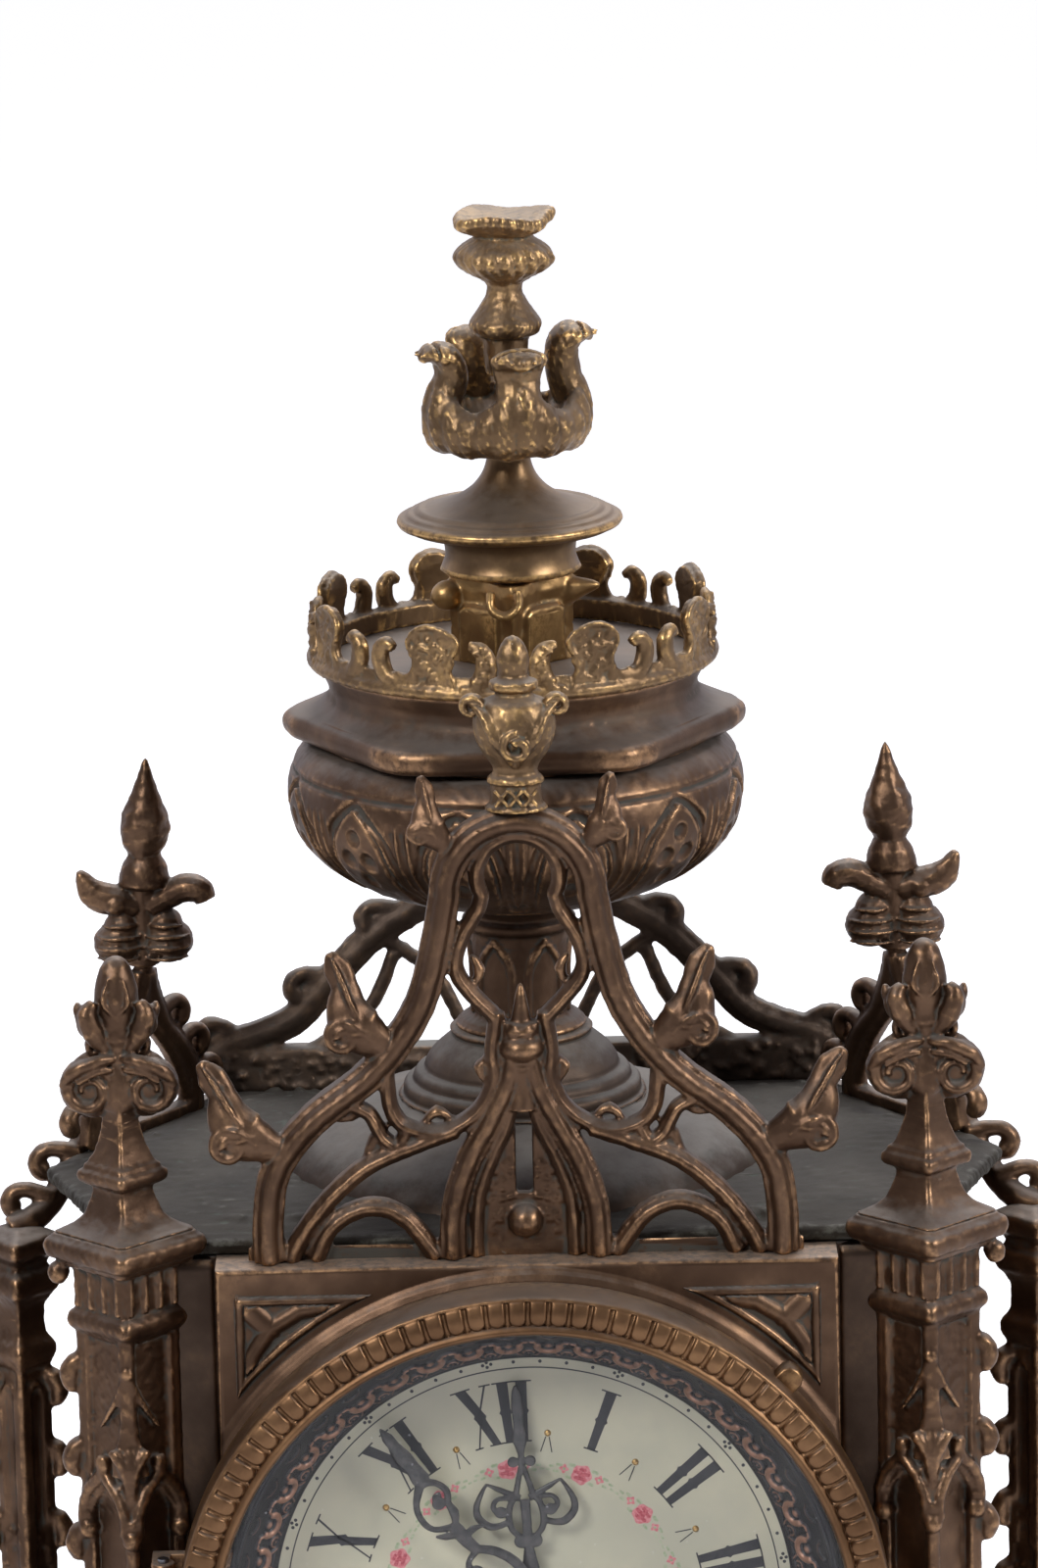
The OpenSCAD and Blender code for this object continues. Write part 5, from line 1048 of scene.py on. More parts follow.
plan = [(-72.2, -51), (72.2, -51), (95, 0), (58, 51), (-58, 51), (-95, 0)]
upperPlan = [plan[0], plan[1], (81, 0), plan[3], plan[4], (-81, 0)]
eaves = node("upper_case")[1][2]
storey = node("lower_case")[1][2]
plinthTop = node("plinth")[1][2]
sideGable = {"lean": 3, "half": 17.0, "rise": 31, "seat": eaves + 3.51, "inset": 3.4}


def onFace(i, outline=plan):
    a, b = np.array(outline[i], float), np.array(outline[(i + 1) % 6], float)
    along = (b - a) / np.linalg.norm(b - a)
    middle = (a + b) / 2

    def change(points):
        x, y = points[:, 0], points[:, 1]
        return np.stack([middle[0] + along[0] * x - along[1] * y,
                         middle[1] + along[1] * x + along[0] * y, points[:, 2]], -1)
    return change


def leanedOnFace(points):
    c, s = math.cos(math.radians(sideGable["lean"])), math.sin(math.radians(sideGable["lean"]))
    x, y, z = points.T
    y, z = y * c + z * s, -y * s + z * c
    return onFace(2)(np.stack([x, y + sideGable["inset"], z + sideGable["seat"]], -1))


def doubleRoll(half, depth):
    # a rib moulded on both its faces
    right = [(1, 0.0), (1, 0.5), (0.88, 0.68), (0.76, 0.52), (0.62, 0.66), (0.42, 0.88),
             (0.2, 0.98)]
    upper = [(x * half, d * depth) for x, d in right] + [(0, depth)]
    upper += [(-x * half, d * depth) for x, d in right[::-1]]
    return np.array(upper + [(x, -d) for x, d in upper[::-1] if d > 0])


def addHook(shape, size=1.0):
    # a rolled leaf: it rises off the rib, turns over and ends in a round knob
    leaf = newShape()
    addSweep(leaf, smoothPath([(-1.6, 0, -1.4), (0.4, 0, 0.8), (2.2, 0, 2.6), (4.2, 0, 3.2),
                               (5.9, 0, 2.2), (6.2, 0, 0.4), (5.2, 0, -0.6)], 5),
             oval(count=14), (1.6, 1.7, 1.5, 1.6, 1.9, 2.0, 1.6),
             (1.5, 1.7, 1.6, 1.8, 2.1, 2.1, 1.6))
    addShape(shape, leaf, lambda p: p * size)


w, rise = sideGable["half"], sideGable["rise"]
sidePath = smoothPath([(0.5, rise), (0.1 * w, 0.86 * rise), (0.34 * w, 0.62 * rise),
                       (0.66 * w, 0.44 * rise), (0.86 * w, 0.24 * rise), (0.9 * w, 0.6)], 6)
sideShape = newShape()
for flip in (1, -1):
    half = newShape()
    addSweep(half, standing(sidePath, 2.0), doubleRoll(2.3, 2.2))
    addSweep(half, standing(smoothPath([(0.84 * w, 1.2), (0.5 * w, 13), (0.2, 22)], 6), 2.0),
             doubleRoll(1.3, 1.6))
    for k in (10, 17, 24):
        hook = newShape()
        addHook(hook, 0.95)
        addShape(half, hook, tilted(sidePath[k][0] + 1.6, sidePath[k][1] + 0.4, 30, 2.0))
    addShape(sideShape, half, lambda p: p * np.array([flip, 1, 1]))
addSweep(sideShape, standing([(0, 19), (0, rise + 2)], 2.0), doubleRoll(1.7, 1.9))
addBox(sideShape, (-w, 0.2, 0), (w, 3.8, 2.4), 0.4)

# their finials: two folded lobes, two leaf arms, a collar and a flame bud
bud = newShape()


def budWave(angle, r, z):
    folds = 0.5 + 0.5 * np.sin(5 * angle + 0.55 * z)
    amount = np.clip((z - 21) / 4, 0, 1) * np.clip((37 - z) / 8, 0, 1)
    return r * (1 - 0.07 * amount * folds) + 0.12 * amount * np.sin(2.2 * z + 2 * angle), z


addLathe(bud, smoothPath([(0, 0), (2.9, 0), (2.8, 3), (2.6, 8), (2.9, 12), (3.2, 14.8),
                          (4.6, 15.6),
                          (4.7, 17), (4.1, 19.4), (3.3, 20.8), (3.1, 21.6), (4.2, 23.6),
                          (4.8, 26.2),
                          (4.4, 29), (3.0, 32.4), (1.7, 35.8), (0.8, 38.6), (0.2, 40)], 5),
         48, wave=budWave)
for s in (-1, 1):
    addBall(bud, (4.6 * s, 0, 4.4), (4.8, 4.6, 4.2), 16)
    addBall(bud, (3.9 * s, 0, 7.6), (3.5, 3.7, 3.2), 12)
    for k in range(4):
        z = 1.8 + 2.1 * k
        wide = (4.3, 4.7, 4.4, 3.5)[k]
        bend = [(s * (4.4 + wide * math.cos(a)), -1.0 - wide * 0.86 * math.sin(a), z)
                for a in np.radians(np.linspace(15, 165, 12))]
        addSweep(bud, bend, oval(count=8), (0.2, 0.5, 0.2), (0.2, 0.45, 0.2), front=(0, 0, 1))
# the right arm is a leaf that turns up to a point, the left one ends in a blunt roll
arm = smoothPath([(1.4, 0, 11.4), (4.6, -0.4, 12.6), (7.6, -0.8, 13.2), (10.0, -1.0, 14.8),
                  (12.2, -1.0, 18.6)], 5)
addSweep(bud, arm, oval(), (2.4, 2.9, 3.1, 2.7, 0.6), (3.2, 3.4, 3.0, 2.2, 0.7))
addBall(bud, (5.2, -2.6, 12.2), (2.3, 1.8, 1.9), 8)
arm = smoothPath([(-1.4, 0, 11.4), (-4.8, -0.6, 13.6), (-8.0, -1.2, 15.0), (-10.6, -1.8, 14.4),
                  (-11.6, -2, 12.6)], 5)
addSweep(bud, arm, oval(), (2.4, 2.7, 2.8, 2.6, 1.9), (3.2, 3.2, 3.1, 2.9, 2.2))
seat = leanedOnFace(np.array([[0, 2.0, rise + 1.6]]))[0]
axis = leanedOnFace(np.array([[0, 2.0, rise + 2.6]]))[0] - seat


def finialPlace(points):
    return seat + points[:, :1] * (1, 0, 0) + points[:, 1:2] * (0, 1, 0) + points[:, 2:] * axis


longLeg = smoothPath([(81.2, 14.4, dialZ + 76), (84.2, 10.6, dialZ + 68.6),
                      (88.2, 6.2, dialZ + 61.6),
                      (92.6, 2.0, dialZ + 58.2), (96.4, 0.6, dialZ + 57)], 6)
for side, flip in (("left", mirrorX), ("right", None)):
    made = newShape()
    placed = newShape()
    addShape(placed, sideShape, leanedOnFace)
    addSweep(placed, longLeg, oval(count=16), (1.6, 2.2, 2.4, 2.6, 2.6), (1.6, 2.4, 2.4, 2.6, 2.4))
    for x, y, z, tilt in ((85.4, 9.6, 69.4, 40), (90.2, 4.6, 62.4, 28)):
        hook = newShape()
        addHook(hook, 1.0)
        addShape(placed, hook, tilted(x, dialZ + z, tilt, y))
    addShape(made, placed, flip)
    cast("side_gable_ribs_" + side, made, brown, nodes=["side_gable_" + side],
         voxel=0.4, keep=0.5, grain=0.04, grainSize=2.4, seed=20)
    made = newShape()
    placed = newShape()
    addShape(placed, bud, finialPlace)
    addShape(made, placed, flip)
    cast("side_finial_flame_" + side, made, brown, nodes=["side_finial_" + side],
         voxel=0.3, keep=0.5, grain=0.06, grainSize=1.6, seed=21)

# rear gable: a wide rounded hood with rolled crockets over a rough ledge

rearLow, rearHigh = node("rear_gable")
rearY = rearLow[1] + 2.5
top = 113.5
rearPath = smoothPath([(0, top), (16, top - 6.5), (28, top - 13.5), (38, top - 24), (43.2, 83.9),
                       (50, 80.7), (57, 78.5), (61, 74.9)], 6)
rearShape = newShape()
half = newShape()
addSweep(half, standing(rearPath, rearY), doubleRoll(2.9, 2.4))
addSweep(half, standing(smoothPath([(44, 75.5), (30, 84.5), (24, 96.5)], 6), rearY),
         doubleRoll(1.3, 1.5))
addSweep(half, standing(smoothPath([(26, top - 14), (16, top - 22), (9, 76.5)], 6), rearY),
         doubleRoll(1.3, 1.5))
for k, tilt in ((9, 34), (17, 40), (33, 12)):
    hook = newShape()
    addHook(hook, 1.0)
    addShape(half, hook, tilted(rearPath[k][0] + 1.4, rearPath[k][1] + 1.0, tilt, rearY))
addShape(rearShape, half)
addShape(rearShape, half, mirrorX)
addBox(rearShape, (-63.6, rearLow[1] + 0.1, 69.6), (63.6, rearHigh[1] - 0.1, 78.4), 0.6)
draw = np.random.default_rng(22)
for _ in range(240):
    addBall(rearShape, (draw.uniform(-62, 62), rearLow[1] + 0.1, draw.uniform(70.5, 77.6)),
            draw.uniform(0.4, 1.0), 5)
rearPlaced = newShape()
addShape(rearPlaced, rearShape, lambda p: p + np.array([0, 0, dialZ]))
cast("rear_gable_hood", rearPlaced, dark, nodes=["rear_gable"], voxel=0.5,
     keep=0.5, grain=0.07, grainSize=2.4, seed=23)

# pinnacles and columns are square, a corner to the front


def addSquare(shape, profile, soften=0.955):
    # a square turned form, its corners to the front and sides and a little rounded
    def wave(angle, r, z):
        return r * np.minimum(1 / (np.abs(np.cos(angle)) + np.abs(np.sin(angle))), soften), z
    addLathe(shape, profile, wave=wave)


def spiral(cx, cz, start, end, first, turns, steps=30):
    t = np.linspace(0, 1, steps)
    around = np.radians(first + 360 * turns * t)
    radius = start + (end - start) * t
    return np.stack([cx + radius * np.cos(around), np.zeros(steps), cz + radius * np.sin(around)],
                    -1)


frontCap = node("front_column_left")[1][2]
pinnacle = newShape()
addSquare(pinnacle, smoothPath([
    (0, -0.2), (12.4, 0), (11.8, 0.7), (9.6, 1.7), (7.4, 3.6), (6.1, 6.4), (5.7, 8.0), (6.4, 8.8),
    (8.0, 9.3), (8.6, 10.3), (8.4, 11.3), (7.6, 11.8), (7.3, 12.0), (7.2, 12.6), (6.4, 13.1),
    (5.2, 15), (4.2, 17.6), (3.5, 20.6), (3.2, 24), (0, 24.4)], 4))
addLathe(pinnacle, smoothPath([(0, 22), (3, 23), (3.3, 27), (2.7, 31), (2.6, 34.4), (3.4, 36),
                               (3.3, 38), (3.8, 40.6), (4.0, 43.2), (3.5, 46.6), (2.4, 49.5),
                               (1.0, 50.8), (0, 51)], 4), 40)
for s in (-1, 1):
    addSweep(pinnacle, spiral(5.4 * s, 26.6, 4.9, 1.3, 90 + 100 * s, -1.55 * s), oval(),
             (1.5, 1.7, 1.4, 1.0), (2.6, 3.6, 3.4, 2.8))
    addBall(pinnacle, (4.6 * s, 0.6, 27.2), (4.9, 2.9, 6.2), 12)
    addSweep(pinnacle, smoothPath([(1.0 * s, -2.8, 30.6), (4.2 * s, -3.8, 30.5),
                                   (7.4 * s, -3.4, 28.4)], 5), oval(count=8), (0.5, 0.9, 0.5))
    addBall(pinnacle, (5.0 * s, -1.2, 39.4), (2.4, 2.2, 3.3), 10)
    addSweep(pinnacle, smoothPath([(0.8 * s, -2.4, 32.6), (4.0 * s, -3.8, 32.4),
                                   (8.2 * s, -3.6, 30.4), (10.2 * s, -2.2, 27.4)], 5),
             oval(count=10), (0.7, 1.3, 1.3, 0.6))
    addSweep(pinnacle, spiral(3.7 * s, 34.4, 2.3, 0.6, 90 + 120 * s, -1.3 * s, 20), oval(count=10),
             (0.8, 0.8, 0.5), (1.6, 1.7, 1.4))
    addSweep(pinnacle, smoothPath([(1.5 * s, 0, 36.4), (4.2 * s, -0.4, 38.2),
                                   (6.6 * s, -0.4, 40.6), (7.0 * s, 0, 42.6)], 5),
             oval(count=10), (1.6, 1.7, 1.2, 0.4))
    addSweep(pinnacle, smoothPath([(2.2 * s, -1.6, 34), (4.2 * s, -2.8, 37.6), (5.2 * s, -3.0, 41),
                                   (4.0 * s, -2.6, 43.2)], 5), oval(count=10),
             (1.2, 2.0, 1.8, 0.9))
    addSweep(pinnacle, smoothPath([(0.4 * s, -3.6, 41), (2.2 * s, -3.9, 43.4),
                                   (1.2 * s, -3.0, 47.4)], 4), oval(count=8),
             (0.35, 0.5, 0.3))

panelDraw = np.random.default_rng(24)


def addFacePair(shape, build):
    # the same relief on the two front faces of a square shaft, x out from the front corner
    for turn in (45, -45):
        face = newShape()
        build(face, 1 if turn > 0 else -1)
        addShape(shape, face, shifted(turn=turn))


shaftFace = 6.72
columnLook = {"core": 8.5, "niche": 7.2}


def addShaft(shape, low, high, niches=()):
    rows = [(0, low), (columnLook["core"], low)]
    for bottom, upper in niches:
        rows += [(columnLook["core"], bottom - 1.2), (columnLook["niche"], bottom),
                 (columnLook["niche"], upper - 3), (columnLook["core"], upper)]
    rows += [(columnLook["core"], high), (0, high)]
    addSquare(shape, rows, 1.0)
    for x in (-7.9, 7.9):
        addSweep(shape, [(x, 0, low), (x, 0, high)], oval(count=14), (1.5,))
        addSweep(shape, [(0, x, low), (0, x, high)], oval(count=14), (1.4,), front=(1, 0, 0))

    def strips(face, s):
        for x in (4.1, 5.3):
            addSweep(face, [(x * s, -shaftFace + 0.55, low), (x * s, -shaftFace + 0.55, high)],
                     oval(count=10), (0.45,), (0.75,))
    addFacePair(shape, strips)


def addSand(shape, low, high, count):
    def grains(face, s):
        for _ in range(count):
            addBall(face, (s * panelDraw.uniform(-3.4, 3.6), -columnLook["core"] * 0.707 + 0.1,
                           panelDraw.uniform(low, high)),
                    (panelDraw.uniform(0.25, 0.6), 0.32, panelDraw.uniform(0.25, 0.6)), 4)
    addFacePair(shape, grains)


def addCanopy(shape, z):
    # two ogee arches on hanging balls, a three-leaved finial where they meet
    def arches(face, s):
        outer = smoothPath([(-5.6, 0), (-5.3, 4), (-3.4, 7.6), (-0.6, 10.4), (0.6, 13.2)], 5)
        outer = np.concatenate([outer, (outer * (-1, 1))[::-1]])
        addSweep(face, standing(outer * (s, 1) + (0, z), -shaftFace - 0.1), rollSection(1.1, 1.5))
        inner = smoothPath([(-4.1, 0.6), (-3.9, 3.6), (-2.2, 6.2), (0, 8.6), (2.2, 6.2),
                            (3.9, 3.6), (4.1, 0.6)], 5)
        addSweep(face, standing(inner + (0, z), -shaftFace + 0.4), oval(0.5, 0.7, 8))
        for x, dz in ((-3.6, 8.6), (3.6, 8.6)):
            addBall(face, (x, -shaftFace, z + dz), (0.9, 0.7, 0.9), 6)
    addFacePair(shape, arches)
    for x, y in ((-8.3, -1.2), (0, -9.1), (8.3, -1.2)):
        addLathe(shape, smoothPath(lifted([(0, -2.6), (1.2, -2.3), (1.9, -0.9), (1.7, 0.5),
                                           (1.0, 1.2), (1.3, 1.8), (1.2, 3), (0, 3.4)], z), 3),
                 20, centre=(x, y))
    for s in (-1, 0, 1):
        petal = smoothPath([(0.5 * s, -8.3, z + 7.6), (0.9 * s, -9.3, z + 12),
                            (2.6 * s, -9.0, z + 15.4),
                            (3.6 * s, -8.3, z + 15.2 + 2.4 * (s == 0))], 4)
        addSweep(shape, petal, oval(count=10), (0.5, 1.0, 1.2, 0.5), (0.6, 1.1, 0.9, 0.5))


def addBumps(shape, low, high, pitch, out, angle):
    c, s = math.cos(math.radians(angle)), math.sin(math.radians(angle))
    for z in np.arange(high, low, -pitch):
        leaf = smoothPath([(out - 1.6, 0, 3.4), (out + 0.4, 0, 2.4), (out + 1.4, 0, 0.2),
                           (out + 0.8, 0, -1.9), (out - 0.6, 0, -2.2)], 4)
        leaf = np.stack([leaf[:, 0] * c, leaf[:, 0] * s, leaf[:, 2] + z], -1)
        addSweep(shape, leaf, oval(), (1.2, 1.8, 2.0, 1.6, 0.7), front=(-s, c, 0))


baseRows = [(0, 0), (15.1, 0), (15.3, 0.8), (15.3, 3.2), (14.6, 4.2), (13.2, 4.8), (12.4, 5.8),
            (12.3, 8.2), (11.6, 9.4), (10.2, 10.4), (9.4, 12), (0, 12.2)]
headLow = frontCap - 18
frontColumn = newShape()
addSquare(frontColumn, lifted(baseRows, plinthTop))
canopies = [dialZ + 17, dialZ - 60]
addShaft(frontColumn, plinthTop + 11, headLow + 1,
         niches=[(plinthTop + 30, canopies[1] + 6), (canopies[1] + 22, canopies[0] + 6)])
addSquare(frontColumn, smoothPath(lifted([
    (0, -1.4), (8.6, -1.2), (9.6, -0.6), (11.1, 0.5), (11.5, 1.7), (11.0, 3), (9.9, 3.8),
    (9.7, 4.6), (9.9, 11), (10.7, 11.7), (12.6, 12.1), (12.9, 12.7), (13.0, 13.2), (14.6, 13.6),
    (15.4, 14.8), (15.5, 15.9), (14.9, 16.9), (13.7, 17.3), (13.3, 17.35), (13.2, 17.9),
    (12.4, 18), (0, 18)], headLow), 3))
for z in canopies:
    addCanopy(frontColumn, z)
addSand(frontColumn, canopies[0] + 15, headLow - 1, 90)
addSand(frontColumn, headLow + 4.6, headLow + 11, 24)


def frieze(face, s):
    for x in (-5.4, -1.9, 1.7, 5.2):
        addBox(face, (x * s - 0.65, -7.7, headLow + 4.4), (x * s + 0.65, -6.6, headLow + 11.2),
               0.3)


addFacePair(frontColumn, frieze)
ridgeTop = canopies[0] + 17
addSweep(frontColumn, smoothPath([(0, -8.2, ridgeTop - 6), (0, -8.0, ridgeTop + 1),
                                  (0, -8.2, ridgeTop + 8), (0, -8.1, headLow)], 6),
         oval(count=14), (3.6, 2.9, 1.8, 1.6, 1.5, 1.6), (1.1, 1.2, 1.3, 1.2, 1.2, 1.2))
addBall(frontColumn, (0, -9.0, headLow - 6.4), (1.2, 0.9, 1.3), 8)
for s in (-1, 1):
    arc = smoothPath([(0.9 * s, -8.5, headLow - 8), (2.6 * s, -7.3, headLow - 12.6),
                      (5.2 * s, -4.9, headLow - 17.4)], 5)
    addSweep(frontColumn, arc, oval(count=9), (0.4, 0.6, 0.4), (0.7, 0.8, 0.6))
addBumps(frontColumn, plinthTop + 20, headLow - 9, 16, 9.4, 0)
addBall(frontColumn, (12.2, 0, headLow + 10.4), (2.0, 1.9, 2.2), 8)

outerHead = node("outer_column_left")[1][2] - 26
slim = {"core": 4.75, "roll": 0.85, "rollAt": 4.5}
outerColumn = newShape()
addSquare(outerColumn, lifted(baseRows, plinthTop))
addShaft(outerColumn, plinthTop + 11, storey + 0.2)
addSquare(outerColumn, lifted(smoothPath([
    (0, 0), (9.6, 0.1), (10.8, 1), (11, 2.4), (10.6, 3.8), (8.8, 5), (7.2, 7.2), (6.2, 9.4),
    (5.4, 12), (0, 12.2)], 3), storey))
addSquare(outerColumn, [(0, storey + 11), (slim["core"], storey + 11),
                        (slim["core"], outerHead + 1), (0, outerHead + 1)], 1.0)
for x in (-slim["rollAt"], slim["rollAt"]):
    addSweep(outerColumn, [(x, 0, storey + 11), (x, 0, outerHead)], oval(), (slim["roll"],))
    addSweep(outerColumn, [(0, x, storey + 11), (0, x, outerHead)], oval(), (slim["roll"],),
             front=(1, 0, 0))
addSquare(outerColumn, lifted(smoothPath([
    (0, -1), (5.2, -0.8), (6.4, 0.4), (7.0, 1.8), (6.7, 3.4), (5.2, 5.2), (4.8, 7), (4.9, 10.4),
    (6.1, 12.4), (7.7, 14), (8.0, 15.8), (7.4, 17.4), (5.7, 18.6), (6.4, 20), (8.4, 21.4),
    (9.0, 23), (8.4, 24.4), (6, 25.2), (3.6, 26), (0, 26)], 3), outerHead))


def lancetPath(half, height, steps=5):
    # a pointed arch standing on the origin
    rise = 1.74 * half
    right = arcPath(-half, height - rise, 2 * half, 0, 60, steps)
    return np.concatenate([[(-half, 0)], (right * (-1, 1)), right[::-1][1:], [(half, 0)]])


def outerTracery(face, s):
    for bottom, height, half, out in (
            (outerHead - 40, 36, 1.8, 3.5), (outerHead - 88, 44, 1.8, 3.5),
            (plinthTop + 82, 56, 2.9, 6.3), (plinthTop + 16, 56, 2.9, 6.3)):
        addSweep(face, standing(lancetPath(half, height) + (0, bottom), -out), oval(0.45, 0.7, 8))
        addSweep(face, standing([(-half, bottom + 3), (half, bottom + 8)], -out + 0.1),
                 oval(0.35, 0.55, 8))
        addSweep(face, standing([(half, bottom + 3), (-half, bottom + 8)], -out + 0.1),
                 oval(0.35, 0.55, 8))


addFacePair(outerColumn, outerTracery)
addBumps(outerColumn, plinthTop + 20, storey - 10, 22, 9.4, 0)
addBumps(outerColumn, storey + 20, outerHead - 6, 14, 5.4, 0)
addBumps(outerColumn, storey + 20, outerHead - 6, 14, 5.4, 180)

rearHead = node("rear_column_left")[1][2] - 8
rearColumn = newShape()
addSquare(rearColumn, lifted(baseRows, plinthTop))
addShaft(rearColumn, plinthTop + 11, rearHead + 1)
addSquare(rearColumn, lifted(smoothPath([
    (0, -1), (8.8, -0.8), (10.6, 0.6), (12.2, 2.2), (12.5, 4), (12.0, 5.8), (10.6, 6.6), (10.4, 8),
    (0, 8)], 3), rearHead))
for bottom in (plinthTop + 16, plinthTop + 84, plinthTop + 152, plinthTop + 212):
    height = 44 if bottom > plinthTop + 200 else 58

    def rearTracery(face, s):
        addSweep(face, standing(lancetPath(2.9, height) + (0, bottom), -6.3), oval(0.55, 0.9, 8))
    addFacePair(rearColumn, rearTracery)

for side, s in (("left", -1), ("right", 1)):
    for label, solid, shape, (x, y, z), size, turn in (
            ("pinnacle_volutes_", "pinnacle_", pinnacle, (72.2, -51, frontCap), 0.3, 0),
            ("front_column_niched_", "front_column_", frontColumn, (72.2, -51, 0), 0.42, 0),
            ("outer_column_panelled_", "outer_column_", outerColumn, (95, 0, 0), 0.5, 0),
            ("rear_column_panelled_", "rear_column_", rearColumn, (58, 51, 0), 0.5, 180)):
        made, placed = newShape(), newShape()
        addShape(placed, shape, shifted(x, y, z, turn))
        addShape(made, placed, mirrorX if s < 0 else None)
        cast(label + side, made, brown, nodes=[solid + side], voxel=size, keep=0.5,
             grain=0.05, grainSize=2.0, seed=25 + s)

# front block: spandrels and ring moulding, as a height over a flat front

block = {"half": 55.8, "tall": 66.5, "front": -60.0, "hole": 56.35,
         "step": -55.6, "seat": 50.9, "back": -51.0, "sideX": 52.4, "sideZ": 61.5, "arc": 67.6}
around = np.radians(np.arange(1440) * 0.25)
c, s = np.abs(np.cos(around)), np.abs(np.sin(around))
reach = np.minimum(block["half"] / np.maximum(c, 1e-6), block["tall"] / np.maximum(s, 1e-6))
reach = np.maximum(reach, block["hole"] + 0.05)
t = np.linspace(0, 1, 110)[:, None]
r = block["hole"] + (reach - block["hole"])[None] * t
x, z = r * np.cos(around), r * np.sin(around)
ax, az = np.abs(x), np.abs(z)
height = np.interp(r, [56.3, 57, 57.6, 58.6, 59.8, 60.6, 61.0, 61.3, 61.8, 62.8, 63.8, 64.9, 65.6,
                       66.2],
                   [0, 0.9, 1.5, 1.85, 1.85, 1.6, 1.1, 0.85, 1.15, 1.5, 1.4, 0.9, 0.35, 0])
depth = np.minimum(np.minimum(block["sideX"] - ax, block["sideZ"] - az), r - block["arc"])
border = 0.85 * np.sqrt(np.clip(1 - ((depth - 0.8) / 0.8) ** 2, 0, 1))
field = np.where(depth > 1.6, -1.3 * np.clip((depth - 1.6) / 0.5, 0, 1), 0)
leafAt = (46.2, 55.6)
leafStrokes = [[leafAt, (50.0, 59.2)], [leafAt, (41, 58.8), (36.8, 59.4)],
               [leafAt, (49.6, 50.4), (50.4, 46.2)], [(43, 52.6), (39.4, 55.4)],
               [(44, 51.6), (47.2, 47.6)]]
for path, width in zip(leafStrokes, (2.4, 1.9, 1.9, 0.7, 0.7)):
    field = np.where(depth > 1.6, np.maximum(field, -0.9 + strokeHeight(ax, az, path, width, 2.0)),
                     field)
field = np.where(depth > 1.6, np.maximum(field, -0.9 + ballHeight(ax, az, 42.4, 50.6, 1.1, 1.6)),
                 field)
height = height + np.where(depth > 0, np.maximum(border, field), 0)
edgeGap = np.minimum(block["half"] - ax, block["tall"] - az)
height = height - 0.5 * np.clip(1 - edgeGap / 0.9, 0, 1) ** 2
height = np.where(reach[None] <= block["hole"] + 0.06, np.minimum(height, 1.0), height)
front = np.stack([x, block["front"] - height, z + dialZ], -1)


def turnedRing(radius, depth, angle):
    return np.stack([radius * np.cos(angle), np.full(len(angle), depth),
                     radius * np.sin(angle) + dialZ], -1)


rings = [turnedRing(block["seat"], block["back"], around),
         turnedRing(block["seat"], block["step"], around),
         turnedRing(block["hole"], block["step"], around), *front,
         turnedRing(reach, block["front"] + 2, around),
         turnedRing(reach, block["back"] + 0.95, around)]
blockShape = newShape()
addRings(blockShape, rings, loop=True)
hingeX, hingeY, knuckle = -66.5, -66.5, 9
for z0, z1 in ((knuckle + 0.3, knuckle + 5.3), (-knuckle - 5.3, -knuckle - 0.3)):
    z0, z1 = z0 + dialZ, z1 + dialZ
    ear = [(2.15, z0), (2.2, z0 + 0.3), (2.2, z1 - 0.3), (1.9, z1), (1.02, z1), (1.02, z0)]
    addLathe(blockShape, ear, 40, centre=(hingeX, hingeY), loop=True)
    addBox(blockShape, (hingeX - 2.1, -61.9, z0 + 0.1), (-54, -60.1, z1 - 0.1), 0.3)
    addBox(blockShape, (hingeX - 2.1, -65.2, z0 + 0.1), (hingeX + 1.1, -60.3, z1 - 0.1), 0.3)
cast("front_block_spandrels", blockShape, brown, nodes=["front_block"], voxel=None,
     grain=0.04, grainSize=5, rounds=12, sharp=50, seed=30)

# bezel: tongues with rounded inner ends, between a rim and a roll

bezel = {"count": 104, "slit": 0.8, "end": 60.4, "outer": 63.5}
pitch = 2 * math.pi * 61 / bezel["count"]
steps = bezel["count"] * 20
around = np.arange(steps) * 2 * math.pi / steps
profile = np.concatenate([
    [(57.0, -68.2), (57.0, -71.6)], smoothPath([(57.1, -72.4), (57.5, -73.2), (58.1, -73.5),
                                               (58.7, -73.2), (59.0, -72.9)], 5),
    [(59.05 + 0.19 * k, -72.95 - 0.75 * math.sin(math.pi * min(1, k / 26) ** 0.9))
     for k in range(24)],
    [(63.55, -73.1), (63.75, -73.25), (64.05, -73.2), (64.3, -72.9), (64.45, -72.2), (64.5, -71.2),
     (64.5, -66), (64.5, -64), (63.4, -62.8), (59.1, -62.6), (59.1, -68.1)]])
r = profile[:, :1] + 0 * around
y = profile[:, 1:2] + 0 * around
u = (np.mod(around, 2 * math.pi / bezel["count"]) - math.pi / bezel["count"])[None] * r
half = (pitch - bezel["slit"]) / 2 * r / 61
gap = np.where(r > bezel["end"], np.abs(u) - half,
               np.hypot(u, (r - bezel["end"])) - half)
pad = 0.3 * np.sqrt(np.clip(1 - np.clip(1 + gap / half, 0, 1) ** 3.4, 0, 1))
groove = -0.6 * np.clip(1 - np.abs(gap - 0.3) / 0.45, 0, 1) ** 0.7
band = (np.abs(y + 73.4) < 1.2) & (r > 59.0) & (r < bezel["outer"] + 0.1)
y = y - np.where(band, pad + groove, 0)
bezelShape = newShape()
addRings(bezelShape, np.stack([r * np.cos(around), y, r * np.sin(around) + dialZ], -1), loop=True)
tab = newShape()
addPlate(tab, [(62.6, -2.3), (66.4, -2.3), (67.6, -1.6), (68.0, 0), (67.6, 1.6), (66.4, 2.3),
               (62.6, 2.3)], -64.6, -68.4, 0.5)
addShape(bezelShape, tab, tilted(0, dialZ, -45))
